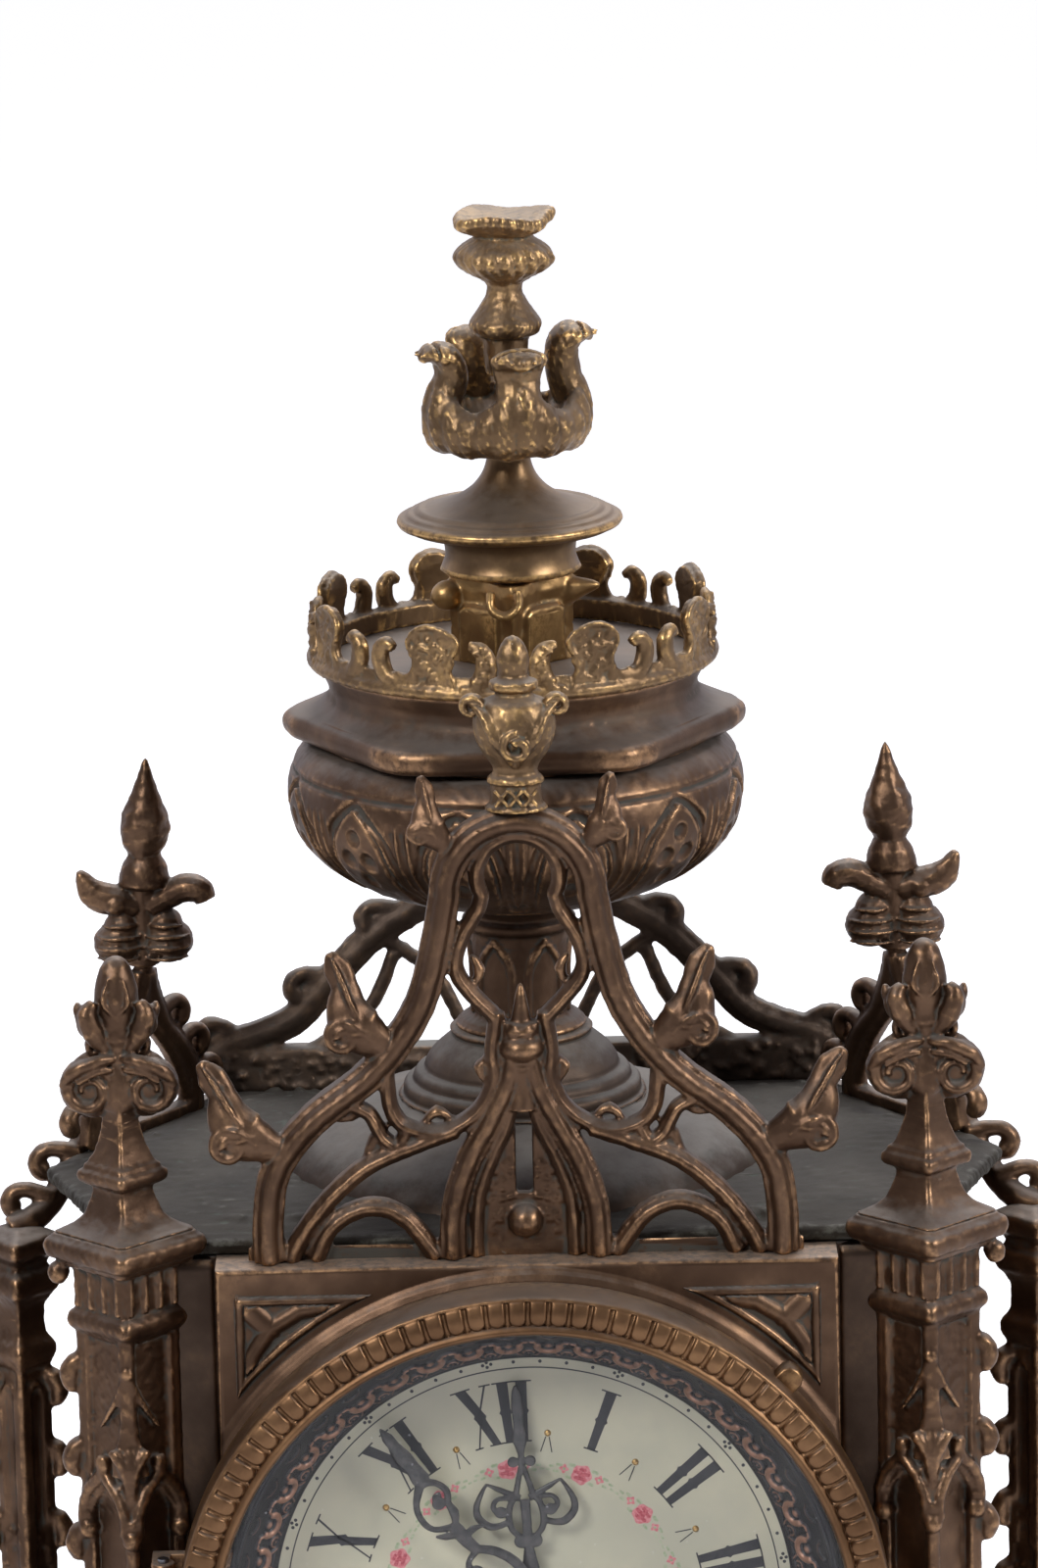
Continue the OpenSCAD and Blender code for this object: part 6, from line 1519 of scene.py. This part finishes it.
knuckleRows = [(2.0, -9), (2.15, -8.7), (2.15, -3), (1.95, -2.8), (1.95, -2.5), (2.15, -2.3),
               (2.15, 8.7), (2.0, 9), (1.07, 9), (1.07, -9)]
addLathe(bezelShape, lifted(knuckleRows, dialZ), 40, centre=(hingeX, hingeY), loop=True)
addBox(bezelShape, (hingeX + 1.3, -68.4, dialZ - 8.8), (-62.4, -65.4, dialZ + 8.8), 0.3)
cast("bezel_ribbed", bezelShape, orange, body="front_door", nodes=["bezel"],
     voxel=None, grain=0.012, grainSize=3, rounds=7, seed=31)

# filigree ring: a running scroll on a dark cone

filigree = {"count": 44, "outer": 55.9, "mouth": -62.3, "throat": -53.9}
pitch = 2 * math.pi * 50 / filigree["count"]
steps = filigree["count"] * 26
around = np.arange(steps) * 2 * math.pi / steps
slope = math.hypot(filigree["outer"] - 47.8, filigree["mouth"] - filigree["throat"])
v = np.linspace(0, slope, 64)[:, None]
r = 47.8 + (filigree["outer"] - 0.7 - 47.8) * v / slope
y = filigree["throat"] + (filigree["mouth"] - filigree["throat"]) * v / slope
cell = (np.mod(around, 2 * math.pi / filigree["count"]) - math.pi / filigree["count"])[None]
u = cell * 50
v = v + 0 * u
strokes = [(arcPath(0, 4.5, 2.05, 165, 375, 16), 0.78, 0.85),
           ([(-4, 0.3), (0, 0.3), (4, 0.3)], 0.35, 0.3),
           ([(-4, 10.7), (0, 10.7), (4, 10.7)], 0.4, 0.3),
           (arcPath(0, 9.6, 1.7, 200, 340, 12), 0.3, 0.4)]
for s in (-1, 1):
    strokes += [(arcPath(s * pitch / 2, 1.7, 1.0, -20, 200, 12), 0.26, 0.55),
                (smoothPath([(s * 2.1, 4.9), (s * 2.5, 6.3), (s * 3.3, 6.5)], 5), 0.34, 0.65),
                (smoothPath([(s * 1.1, 2.6), (s * 1.5, 1.4), (s * 2.2, 0.6)], 5), 0.3, 0.5)]
height = np.maximum(ballHeight(u, v, 0, 4.9, 0.95, 0.6), ballHeight(u, v, 0, 4.9, 0.45, 0.8))
for path, width, rise in strokes:
    height = np.maximum(height, strokeHeight(u, v, path, width, rise))
height = np.maximum(height, ballHeight(np.abs(u), v, pitch / 2, 1.5, 0.4, 0.5))
normalR = (filigree["mouth"] - filigree["throat"]) / slope
normalY = -(filigree["outer"] - 48.5) / slope
rr = (r + 0 * u) + height * normalR
yy = (y + 0 * u) + height * normalY
cone = np.stack([rr * np.cos(around), yy, rr * np.sin(around) + dialZ], -1)
rings = [turnedRing(50.4, -52.6, around), turnedRing(47.05, -52.6, around),
         turnedRing(47.0, -53.4, around), turnedRing(47.3, -53.8, around), *cone,
         turnedRing(55.9, -62.1, around), turnedRing(55.95, -55.7, around),
         turnedRing(50.4, -55.7, around)]
ringShape = newShape()
addRings(ringShape, rings, loop=True)
ring = cast("filigree_scroll_ring", ringShape, filigreeMetal,
            nodes=["filigree_ring"], voxel=None, grain=0, seed=32)
raised = np.concatenate([np.zeros(4 * steps), height.ravel(), np.zeros(3 * steps)])
ring.data.attributes["relief"].data.foreach_set("value", raised.astype(np.float32))

# what is printed on the dial

dial = {"face": node("dial")[0][1], "turn": -9.5, "numeralIn": 31.0, "numeralOut": 42.4,
        "track": 44.9,
        "dots": 46.05, "rose": 25.9, "gold": 32.5, "thick": 0.05}


def addPrint(shape, outline, angle=0.0):
    # a flat print: outline in mm, x across and z outward, wrapped round the dial's centre
    outline = np.asarray(outline, float)
    bend = np.radians(90 - angle) - outline[:, 0] / 35.2
    pts = np.stack([outline[:, 1] * np.cos(bend), outline[:, 1] * np.sin(bend)], -1)
    back = standing(pts + (0, dialZ), dial["face"] + 0.01)
    addRings(shape, [back, back - (0, dial["thick"], 0)])


def addSpot(shape, radius, x, out, angle, sides=14, petals=0, depth=0.0, step=0.0):
    t = np.arange(sides) * 2 * math.pi / sides
    size = radius * (1 + depth * np.cos(petals * t))
    turn = math.radians(90 - angle)
    c, s = math.cos(turn), math.sin(turn)
    pts = np.stack([(out + size * np.sin(t)) * c + (x + size * np.cos(t)) * s,
                    (out + size * np.sin(t)) * s - (x + size * np.cos(t)) * c], -1)
    back = standing(pts + (0, dialZ), dial["face"] + 0.01)
    addRings(shape, [back, back - (0, dial["thick"] + step, 0)])


inner, outer = dial["numeralIn"], dial["numeralOut"]
strokeWidths = {"I": 2.9, "V": 6.0, "X": 6.2}


def addStroke(shape, foot, head, half, angle):
    # a stroke of a numeral with its serifs and, on a thick one, the knot at its middle
    middle, knot = (foot + head) / 2, (0.3 if half > 0.5 else 0)
    z0, z1, zm = inner, outer, (inner + outer) / 2
    addPrint(shape, [(foot - half, z0), (middle - half, zm - 0.5), (middle - half - knot, zm),
                     (middle - half, zm + 0.5), (head - half, z1), (head + half, z1),
                     (middle + half, zm + 0.5), (middle + half + knot, zm),
                     (middle + half, zm - 0.5), (foot + half, z0)], angle)
    for x, z in ((foot, z0), (head, z1)):
        reach = half + 0.7
        addPrint(shape, [(x - reach, z - 0.14), (x + reach, z - 0.14), (x + reach, z + 0.14),
                         (x - reach, z + 0.14)], angle)


numerals = ["XII", "I", "II", "III", "IIII", "V", "VI", "VII", "VIII", "IX", "X", "XI"]
ink, roses, roseShade, leaves, beads = (newShape() for _ in range(5))
for hour, word in enumerate(numerals):
    angle = hour * 30 + dial["turn"]
    x = -sum(strokeWidths[letter] for letter in word) / 2
    for letter in word:
        wide = strokeWidths[letter]
        middle = x + wide / 2
        spreadOut = wide / 2 - 1.2
        if letter == "I":
            addStroke(ink, middle, middle, 0.85, angle)
        elif letter == "V":
            addStroke(ink, middle + 0.2, middle - spreadOut, 0.85, angle)
            addStroke(ink, middle + 0.4, middle + spreadOut, 0.17, angle)
        else:
            addStroke(ink, middle + spreadOut, middle - spreadOut, 0.85, angle)
            addStroke(ink, middle - spreadOut, middle + spreadOut, 0.17, angle)
        x += wide
    addSpot(roses, 1.85, 0, dial["rose"], angle, 24, 5, 0.09)
    for k in range(5):
        turn = k * 72 + 20 * (hour % 3)
        addSpot(roseShade, 0.5, 0.95 * math.cos(math.radians(turn)),
                dial["rose"] + 0.95 * math.sin(math.radians(turn)), angle, 12, 2, 0.4, 0.02)
    addSpot(roseShade, 0.55, 0, dial["rose"], angle, 12, 3, 0.2, 0.025)
    for side in (-1, 1):
        addSpot(roses, 0.75, 0, dial["rose"] + 0.3, angle + side * 7.4, 16, 4, 0.28)
        addSpot(leaves, 0.28, 0, dial["rose"] + 0.3, angle + side * 7.4, 8, 0, 0, 0.02)
        for away, out, size in ((4.6, 1.3, 0.5), (5.0, -1.1, 0.45), (9.6, 0.9, 0.42),
                                (10.6, -0.4, 0.4), (12.4, 0.5, 0.36), (13.8, -0.2, 0.3)):
            addSpot(leaves, size, 0, dial["rose"] + out, angle + side * away, 10, 2, 0.45)
    goldAngle = angle + 15
    goldX = dial["gold"] * math.sin(math.radians(goldAngle))
    goldZ = dial["gold"] * math.cos(math.radians(goldAngle))
    addBall(beads, (goldX, dial["face"], dialZ + goldZ), (0.62, 0.45, 0.62), 8)
    for side in (-1, 1):
        foot, far = side * 0.35, side * 1.25
        addPrint(ink, [(foot - 0.1, dial["gold"] - 0.7), (far - 0.1, dial["gold"] - 3.6),
                       (far + 0.14, dial["gold"] - 3.6),
                       (foot + 0.14, dial["gold"] - 0.7)], goldAngle)
for minute in range(60):
    angle = minute * 6 + dial["turn"]
    if minute % 5:
        addSpot(ink, 0.33, 0, dial["dots"], angle, 10)
    else:
        for dx, dz in ((0, 0.75), (0, -0.55), (0.75, 0.1), (-0.75, 0.1)):
            addSpot(ink, 0.32, dx, dial["dots"] + dz * 0.7, angle, 10)
turn = np.radians(np.arange(240) * 1.5)
track = [turnedRing(dial["track"] + 0.12, dial["face"] + 0.01, turn),
         turnedRing(dial["track"] + 0.12, dial["face"] - 0.04, turn),
         turnedRing(dial["track"] - 0.12, dial["face"] - 0.04, turn),
         turnedRing(dial["track"] - 0.12, dial["face"] + 0.01, turn)]
addRings(ink, track, loop=True)
for name, shape, finish, slotName in (("dial_numerals", ink, inkPaint, "black_hands"),
                                      ("dial_roses", roses, rosePaint, "dial_enamel"),
                                      ("dial_rose_petals", roseShade, petalPaint, "dial_enamel"),
                                      ("dial_leaves", leaves, leafPaint, "dial_enamel"),
                                      ("dial_gold_beads", beads, beadGold, "worn_bronze")):
    cast(name, shape, finish, voxel=None, grain=0, rounds=1, sharp=40)

# pierced hands


def handPlace(y, turn):
    c, s = math.cos(math.radians(turn)), math.sin(math.radians(turn))

    def change(points):
        x, z = points[:, 0], points[:, 2]
        return np.stack([x * c + z * s, points[:, 1] + y, -x * s + z * c + dialZ], -1)
    return change


barThick = 0.34


def addBar(shape, path, widths):
    addSweep(shape, standing(smoothPath(path, 6)), oval(), widths, (barThick,))


def addDisc(shape, x, z, radius, hole=0.0):
    rows = [(radius - 0.12, -0.33), (radius, -0.2), (radius, 0.2), (radius - 0.12, 0.33)]
    rows += [(hole, 0.33), (hole, -0.33)] if hole else []
    disc = newShape()
    if hole:
        addLathe(disc, rows, 40, loop=True)
    else:
        addLathe(disc, [(0, -0.33)] + rows + [(0, 0.33)], 30)
    addShape(shape, disc, lambda p: np.stack([p[:, 0] + x, p[:, 2], p[:, 1] + z], -1))


hourHand = newShape()
addDisc(hourHand, 0, 0, 4.4, 3.08)
addBar(hourHand, [(0, 3.6), (0, 7), (0, 11.6)], (1.3, 1.65, 0.7))
for s in (-1, 1):
    addDisc(hourHand, 1.15 * s, 12.4, 1.25)
    addBar(hourHand, [(0.7 * s, 12.6), (2.5 * s, 14.6), (2.9 * s, 17), (2.4 * s, 19.4),
                      (1.2 * s, 20.8)], (0.55, 0.6, 0.55))
    addBar(hourHand, [(2.8 * s, 16.2), (4.6 * s, 15.5), (6.4 * s, 15.6), (8.0 * s, 17.2),
                      (8.2 * s, 19.2), (7.4 * s, 21.2), (6.2 * s, 23.3)],
           (0.55, 0.6, 0.75, 0.7, 0.6, 0.45, 0.2))
    addBar(hourHand, [(6.2 * s, 23.2), (4.4 * s, 22.2), (2.6 * s, 21.2), (0.8 * s, 20.2)],
           (0.2, 0.5, 0.6, 0.7))
    addBar(hourHand, [(2.6 * s, 20.4), (4.6 * s, 20.3), (5.4 * s, 19.0), (4.8 * s, 17.9)],
           (0.5, 0.45, 0.5, 0.6))
    addDisc(hourHand, 4.2 * s, 17.9, 1.05)
    addBar(hourHand, [(1.5 * s, 20.6), (0.9 * s, 23.2), (0.25 * s, 25.8)], (0.6, 0.5, 0.5))
    addDisc(hourHand, 1.45 * s, 26.9, 0.95)
addBar(hourHand, [(0, 11.8), (0, 15), (0, 20)], (0.9, 0.85, 0.9))
addBar(hourHand, [(0, 25.4), (0, 28.2), (0, 30.4), (0, 31.2), (0, 33.4), (0, 37), (0, 39.6),
                  (0, 40.7)], (0.6, 0.55, 1.25, 1.2, 0.9, 1.05, 0.7, 0.15))
minuteHand = newShape()
addDisc(minuteHand, 0, 0, 3.7, 2.28)
addBar(minuteHand, [(0.4, 3.2), (2.6, 5.2), (3.0, 9.4), (1.6, 13.2), (-0.6, 15.6)],
       (0.9, 0.85, 0.95, 0.9, 0.8))
addBar(minuteHand, [(-0.6, 15.4), (-3.0, 14.6), (-4.0, 12.6)], (0.7, 0.55, 0.8))
addDisc(minuteHand, -3.4, 12.0, 1.55)
addBar(minuteHand, [(-0.6, 15.4), (-1.0, 18), (-1.0, 20.6), (-0.6, 22)], (1.0, 1.2, 1.3, 0.7))
addBar(minuteHand, [(-1, 18.6), (1.2, 18.9), (3.0, 18.2)], (0.8, 0.7, 0.15))
addBar(minuteHand, [(-1, 19.6), (-3.2, 20.8), (-4.6, 21.9)], (0.8, 0.7, 0.15))
addBar(minuteHand, [(-1.6, 21.6), (-4.0, 23.2), (-4.6, 25.6), (-3.8, 28.4), (-1.2, 31)],
       (0.7, 0.55, 0.6, 0.6, 0.9))
addBar(minuteHand, [(-0.4, 21.8), (0.5, 23.4), (0.8, 25.4), (1.9, 27.4), (1.4, 29.6),
                    (-0.2, 31.2)],
       (0.6, 0.9, 0.6, 0.65, 0.6, 0.9))
addDisc(minuteHand, -0.5, 26.4, 1.15)
addBar(minuteHand, [(0.8, 27.6), (-0.3, 27.8), (-0.9, 26.9)], (0.5, 0.5, 0.4))
addBar(minuteHand, [(-0.4, 30.2), (-0.2, 32), (0, 34.6), (0, 37), (0, 39.6), (0, 41.6), (0, 43.7)],
       (0.9, 1.7, 1.35, 1.5, 1.0, 1.05, 0.12))
handLook = {"hour": {"turn": -3.5, "longer": 1.045}, "minute": {"turn": -37.5, "longer": 1.02},
            "wider": 1.08, "hub": 4.6}
for body, shape in (("hour", hourHand), ("minute", minuteHand)):
    hand = body + "_hand"
    low, high = node(hand)
    made, longer = newShape(), newShape()
    stretch = np.array([handLook["wider"], 1, handLook[body]["longer"]])
    addShape(longer, shape, lambda p: np.where(np.hypot(p[:, :1], p[:, 2:]) > handLook["hub"],
                                               p * stretch, p))
    addShape(made, longer, handPlace((low[1] + high[1]) / 2, handLook[body]["turn"]))
    cast(hand + "_pierced", made, handBlack, body=body, nodes=[hand], voxel=0.14,
         keep=0.6, grain=0.015, grainSize=1.4, rounds=6, seed=33)

# plinth, feet, roof and wall tracery


def planRing(outset, z, corner=2.0, outline=plan):
    # the plan's outline moved outward by outset, its corners rounded
    p = np.array(outline, float)
    edge = np.roll(p, -1, 0) - p
    edge = edge / np.linalg.norm(edge, axis=1, keepdims=True)
    out = np.stack([edge[:, 1], -edge[:, 0]], -1)
    before = np.roll(out, 1, 0)
    moved = p + outset * (out + before) / (1 + (out * before).sum(1, keepdims=True))
    points = []
    for i in range(6):
        a, b = moved[i], moved[(i + 1) % 6]
        along = (b - a) / np.linalg.norm(b - a)
        previous = (a - moved[i - 1]) / np.linalg.norm(a - moved[i - 1])
        for t in np.linspace(0, 1, 6):
            start, end = a - previous * corner, a + along * corner
            points.append((1 - t) ** 2 * start + 2 * t * (1 - t) * a + t * t * end)
        inner = np.linspace(0, 1, 26)[1:-1, None]
        points += list(a + along * corner + (b - a - 2 * along * corner) * inner)
    points = np.array(points)
    return np.column_stack([points, np.full(len(points), z)])


footPlaces = {"front_left": (-72.2, -51), "front_right": (72.2, -51), "rear_right": (58, 51),
              "rear_left": (-58, 51)}
plinthLow = node("plinth")[0][2]
plinthShape = newShape()
addRings(plinthShape, [planRing(o - 0.1, plinthLow + h, 2.5) for o, h in (
    (18.4, 0), (29.2, 0), (29.9, 0.7), (30, 2), (30, 6.4), (29.4, 7.3), (28.0, 7.9), (26.8, 8.3),
    (26.4, 9.2), (26.2, 10.6), (25.6, 11.6), (24.4, 12.2), (24, 13), (24, 18), (24, 24),
    (24.4, 24.9), (25.6, 25.5), (26.7, 26.2), (27, 27.4), (26.7, 28.6), (25.6, 29.4), (23.8, 30),
    (22.4, 31), (21.4, 32.6), (21, 34.4), (20.9, 35.4), (20.4, 36), (-12, 36), (-12, 32),
    (18, 32), (18, 1))], loop=True)
for x, y in footPlaces.values():
    addLathe(plinthShape, lifted([(0, 0), (12.9, 0), (12.9, 32.4), (0, 32.4)], plinthLow), 48,
             centre=(x, y))
for i in range(6):
    a, b = np.array(plan[i]), np.array(plan[(i + 1) % 6])
    length = np.linalg.norm(b - a) + 24
    count = int(length // 11)
    row = newShape()
    for k in range(count):
        x = (k - (count - 1) / 2) * length / count
        arch = arcPath(0, 18.2, length / count / 2 - 0.9, 0, 180, 12)
        arch = np.concatenate([[(arch[0][0], 13.4)], arch, [(arch[-1][0], 13.4)]])
        addSweep(row, standing(arch + (x, plinthLow), -23.9), oval(0.7, 0.7, 8))
        addBall(row, (x, -24, plinthLow + 17), (1.5, 0.9, 1.5), 6)
    addShape(plinthShape, row, onFace(i))
cast("plinth_moulded", plinthShape, brown, nodes=["plinth"], voxel=None, grain=0.05,
     grainSize=7, rounds=5, sharp=60, seed=40)


for name, (x, y) in footPlaces.items():
    foot = newShape()
    addLathe(foot, smoothPath([(0, 0.15), (8.8, 0.15), (10.2, 0.5), (12.2, 2), (12.9, 4.4),
                               (12.2, 6.8),
                               (10.2, 8.6), (8.2, 9.4), (8.0, 10.2), (9.4, 11.2), (9.7, 12.4),
                               (0, 12.4)], 4), 72, centre=(x, y))
    cast("foot_bun_" + name, foot, brown, nodes=["foot_" + name], voxel=None,
         grain=0.05, grainSize=5, rounds=6, seed=41)

roofLow = node("roof")[0][2]
roofShape = newShape()
addLathe(roofShape, lifted(smoothPath([
    (0, 2.4), (45.1, 2.6), (45.2, 3.6), (44.8, 4.6), (44.0, 6.2), (41.6, 8.8), (38, 10.8),
    (33, 12.8), (28, 14), (23, 15.3), (21, 15.4), (0, 15.4)], 4), roofLow), 144)
cast("roof_curved", roofShape, dark, nodes=["roof"], voxel=None, grain=0.09,
     grainSize=6, rounds=6, seed=42)
ledge = newShape()
ledgePlan = [plan[0], plan[1], (89.8, 0), plan[3], plan[4], (-89.8, 0)]
addRings(ledge, [planRing(o, roofLow + h, 1.5, ledgePlan) for o, h in (
    (-40, 0.1), (-1.0, 0.1), (-0.5, 0.6), (-0.5, 2.2), (-1.2, 2.9), (-3.2, 3.2), (-5, 3.5),
    (-7, 3.9), (-9, 4.2), (-11, 4.5), (-13, 4.7), (-15, 4.8), (-18, 4.9), (-22, 4.9), (-26, 4.8),
    (-30, 4.7), (-40, 4.6))])
draw = np.random.default_rng(45)
for _ in range(420):
    x, y = draw.uniform(-88, 88), draw.uniform(-46, 46)
    if abs(x) + 0.66 * abs(y) < 80:
        addBall(ledge, (x, y, roofLow + 4.2), (draw.uniform(0.8, 2.4), draw.uniform(0.8, 1.8),
                                               0.8), 5)
cast("roof_ledge_rough", ledge, sooty, voxel=0.7, keep=0.4, grain=0.12,
     grainSize=2.6, rounds=6, seed=46)

lowerTracery = newShape()
lancetHeight = storey - plinthTop - 34
for i in range(6):
    a, b = np.array(plan[i]), np.array(plan[(i + 1) % 6])
    count = {0: 5, 3: 4}.get(i, 2)
    pitch = (np.linalg.norm(b - a) - 23) / count
    row = newShape()
    for k in range(count):
        x = (k - (count - 1) / 2) * pitch
        half = pitch / 2 - 2
        outline = lancetPath(half, lancetHeight, 8)
        addSweep(row, standing(outline + (x, plinthTop + 14), -0.1), rollSection(1.2, 1.5))
        inner = outline * ((half - 1.9) / half, 0.985)
        addSweep(row, standing(inner + (x, plinthTop + 14.4), 0.9), oval(0.5, 0.8, 8))
        crown = plinthTop + 14 + lancetHeight - 1.74 * half
        for side in (-1, 1):
            cusp = arcPath(side * half * 0.5, 0, half * 0.46, 90 - 120 * side, 90 + 60 * side, 10)
            addSweep(row, standing(cusp + (x, crown), 0.7), oval(0.55, 0.9, 8))
        loop = arcPath(0, half * 0.8, half * 0.42, -40, 220, 14)
        addSweep(row, standing(loop + (x, crown), 0.7), oval(0.55, 0.9, 8))
        addSweep(row, standing([(x, plinthTop + 14.4), (x, crown - 0.2)], 1.2), oval(0.7, 0.8, 8))
    addShape(lowerTracery, row, onFace(i))
for z, bulge in ((plinthTop + 6, 3.4), (storey - 10, 3.4), (storey - 3, 3.2)):
    addRings(lowerTracery, [planRing(bulge + 0.9 * math.cos(t), z + 0.9 * math.sin(t), 1.0)
                            for t in np.arange(10) * math.pi / 5], loop=True)
cast("lower_case_tracery", lowerTracery, brown, voxel=None, grain=0.03, grainSize=3,
     rounds=4, seed=43)

upperTracery = newShape()
for i in (1, 2, 4, 5):
    a, b = np.array(upperPlan[i]), np.array(upperPlan[(i + 1) % 6])
    length = np.linalg.norm(b - a)
    row = newShape()
    for s in (-1, 1):
        half = length * 0.12
        tall = 2 * block["tall"] - 40
        outline = lancetPath(half, tall, 8)
        at = (s * length * 0.16, storey + 18)
        addSweep(row, standing(outline + at, -0.1), rollSection(1.1, 1.3))
        addSweep(row, standing(outline * (0.74, 0.985) + at + (0, 0.4), 0.8), oval(0.45, 0.7, 8))
        addSweep(row, standing([(at[0], at[1] + 0.4), (at[0], at[1] + tall - 14)], 1.0),
                 oval(0.55, 0.7, 8))
    addShape(upperTracery, row, onFace(i, upperPlan))
for x in (-60.2, 60.2):
    strip = [(x, -51.05, z) for z in np.linspace(storey + 1, eaves - 0.4, 60)]
    edge = [(-3.8 + 0.76 * k, 0.45) for k in range(11)]
    addSweep(upperTracery, strip, np.array(edge + [(-a, -b) for a, b in edge]))
cast("upper_case_tracery", upperTracery, caseBronze, voxel=None, grain=0.03, grainSize=3,
     rounds=4, seed=44)

# finishes of the solids that stay

brassNodes = ["front_plate", "back_plate", "barrel", "minute_wheel", "hour_wheel", "third_wheel",
              "escape_wheel", "cannon_pinion", "door_catch", "hand_nut", "bell", "pendulum"]
steelNodes = ["centre_arbor", "winding_arbor", "anchor", "hammer", "tie_rod", "bezel_hinge_pin",
              "door_hinge", "pillars_and_screws"]
for name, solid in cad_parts.items():
    finish = caseBronze
    if name in brassNodes:
        finish = brass
    elif name in steelNodes:
        finish = steel
    elif name == "dial":
        finish = enamel
    elif name == "glass":
        finish = clearGlass
    for place in solid.material_slots:
        place.material = finish
print("solids finished")


low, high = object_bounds()
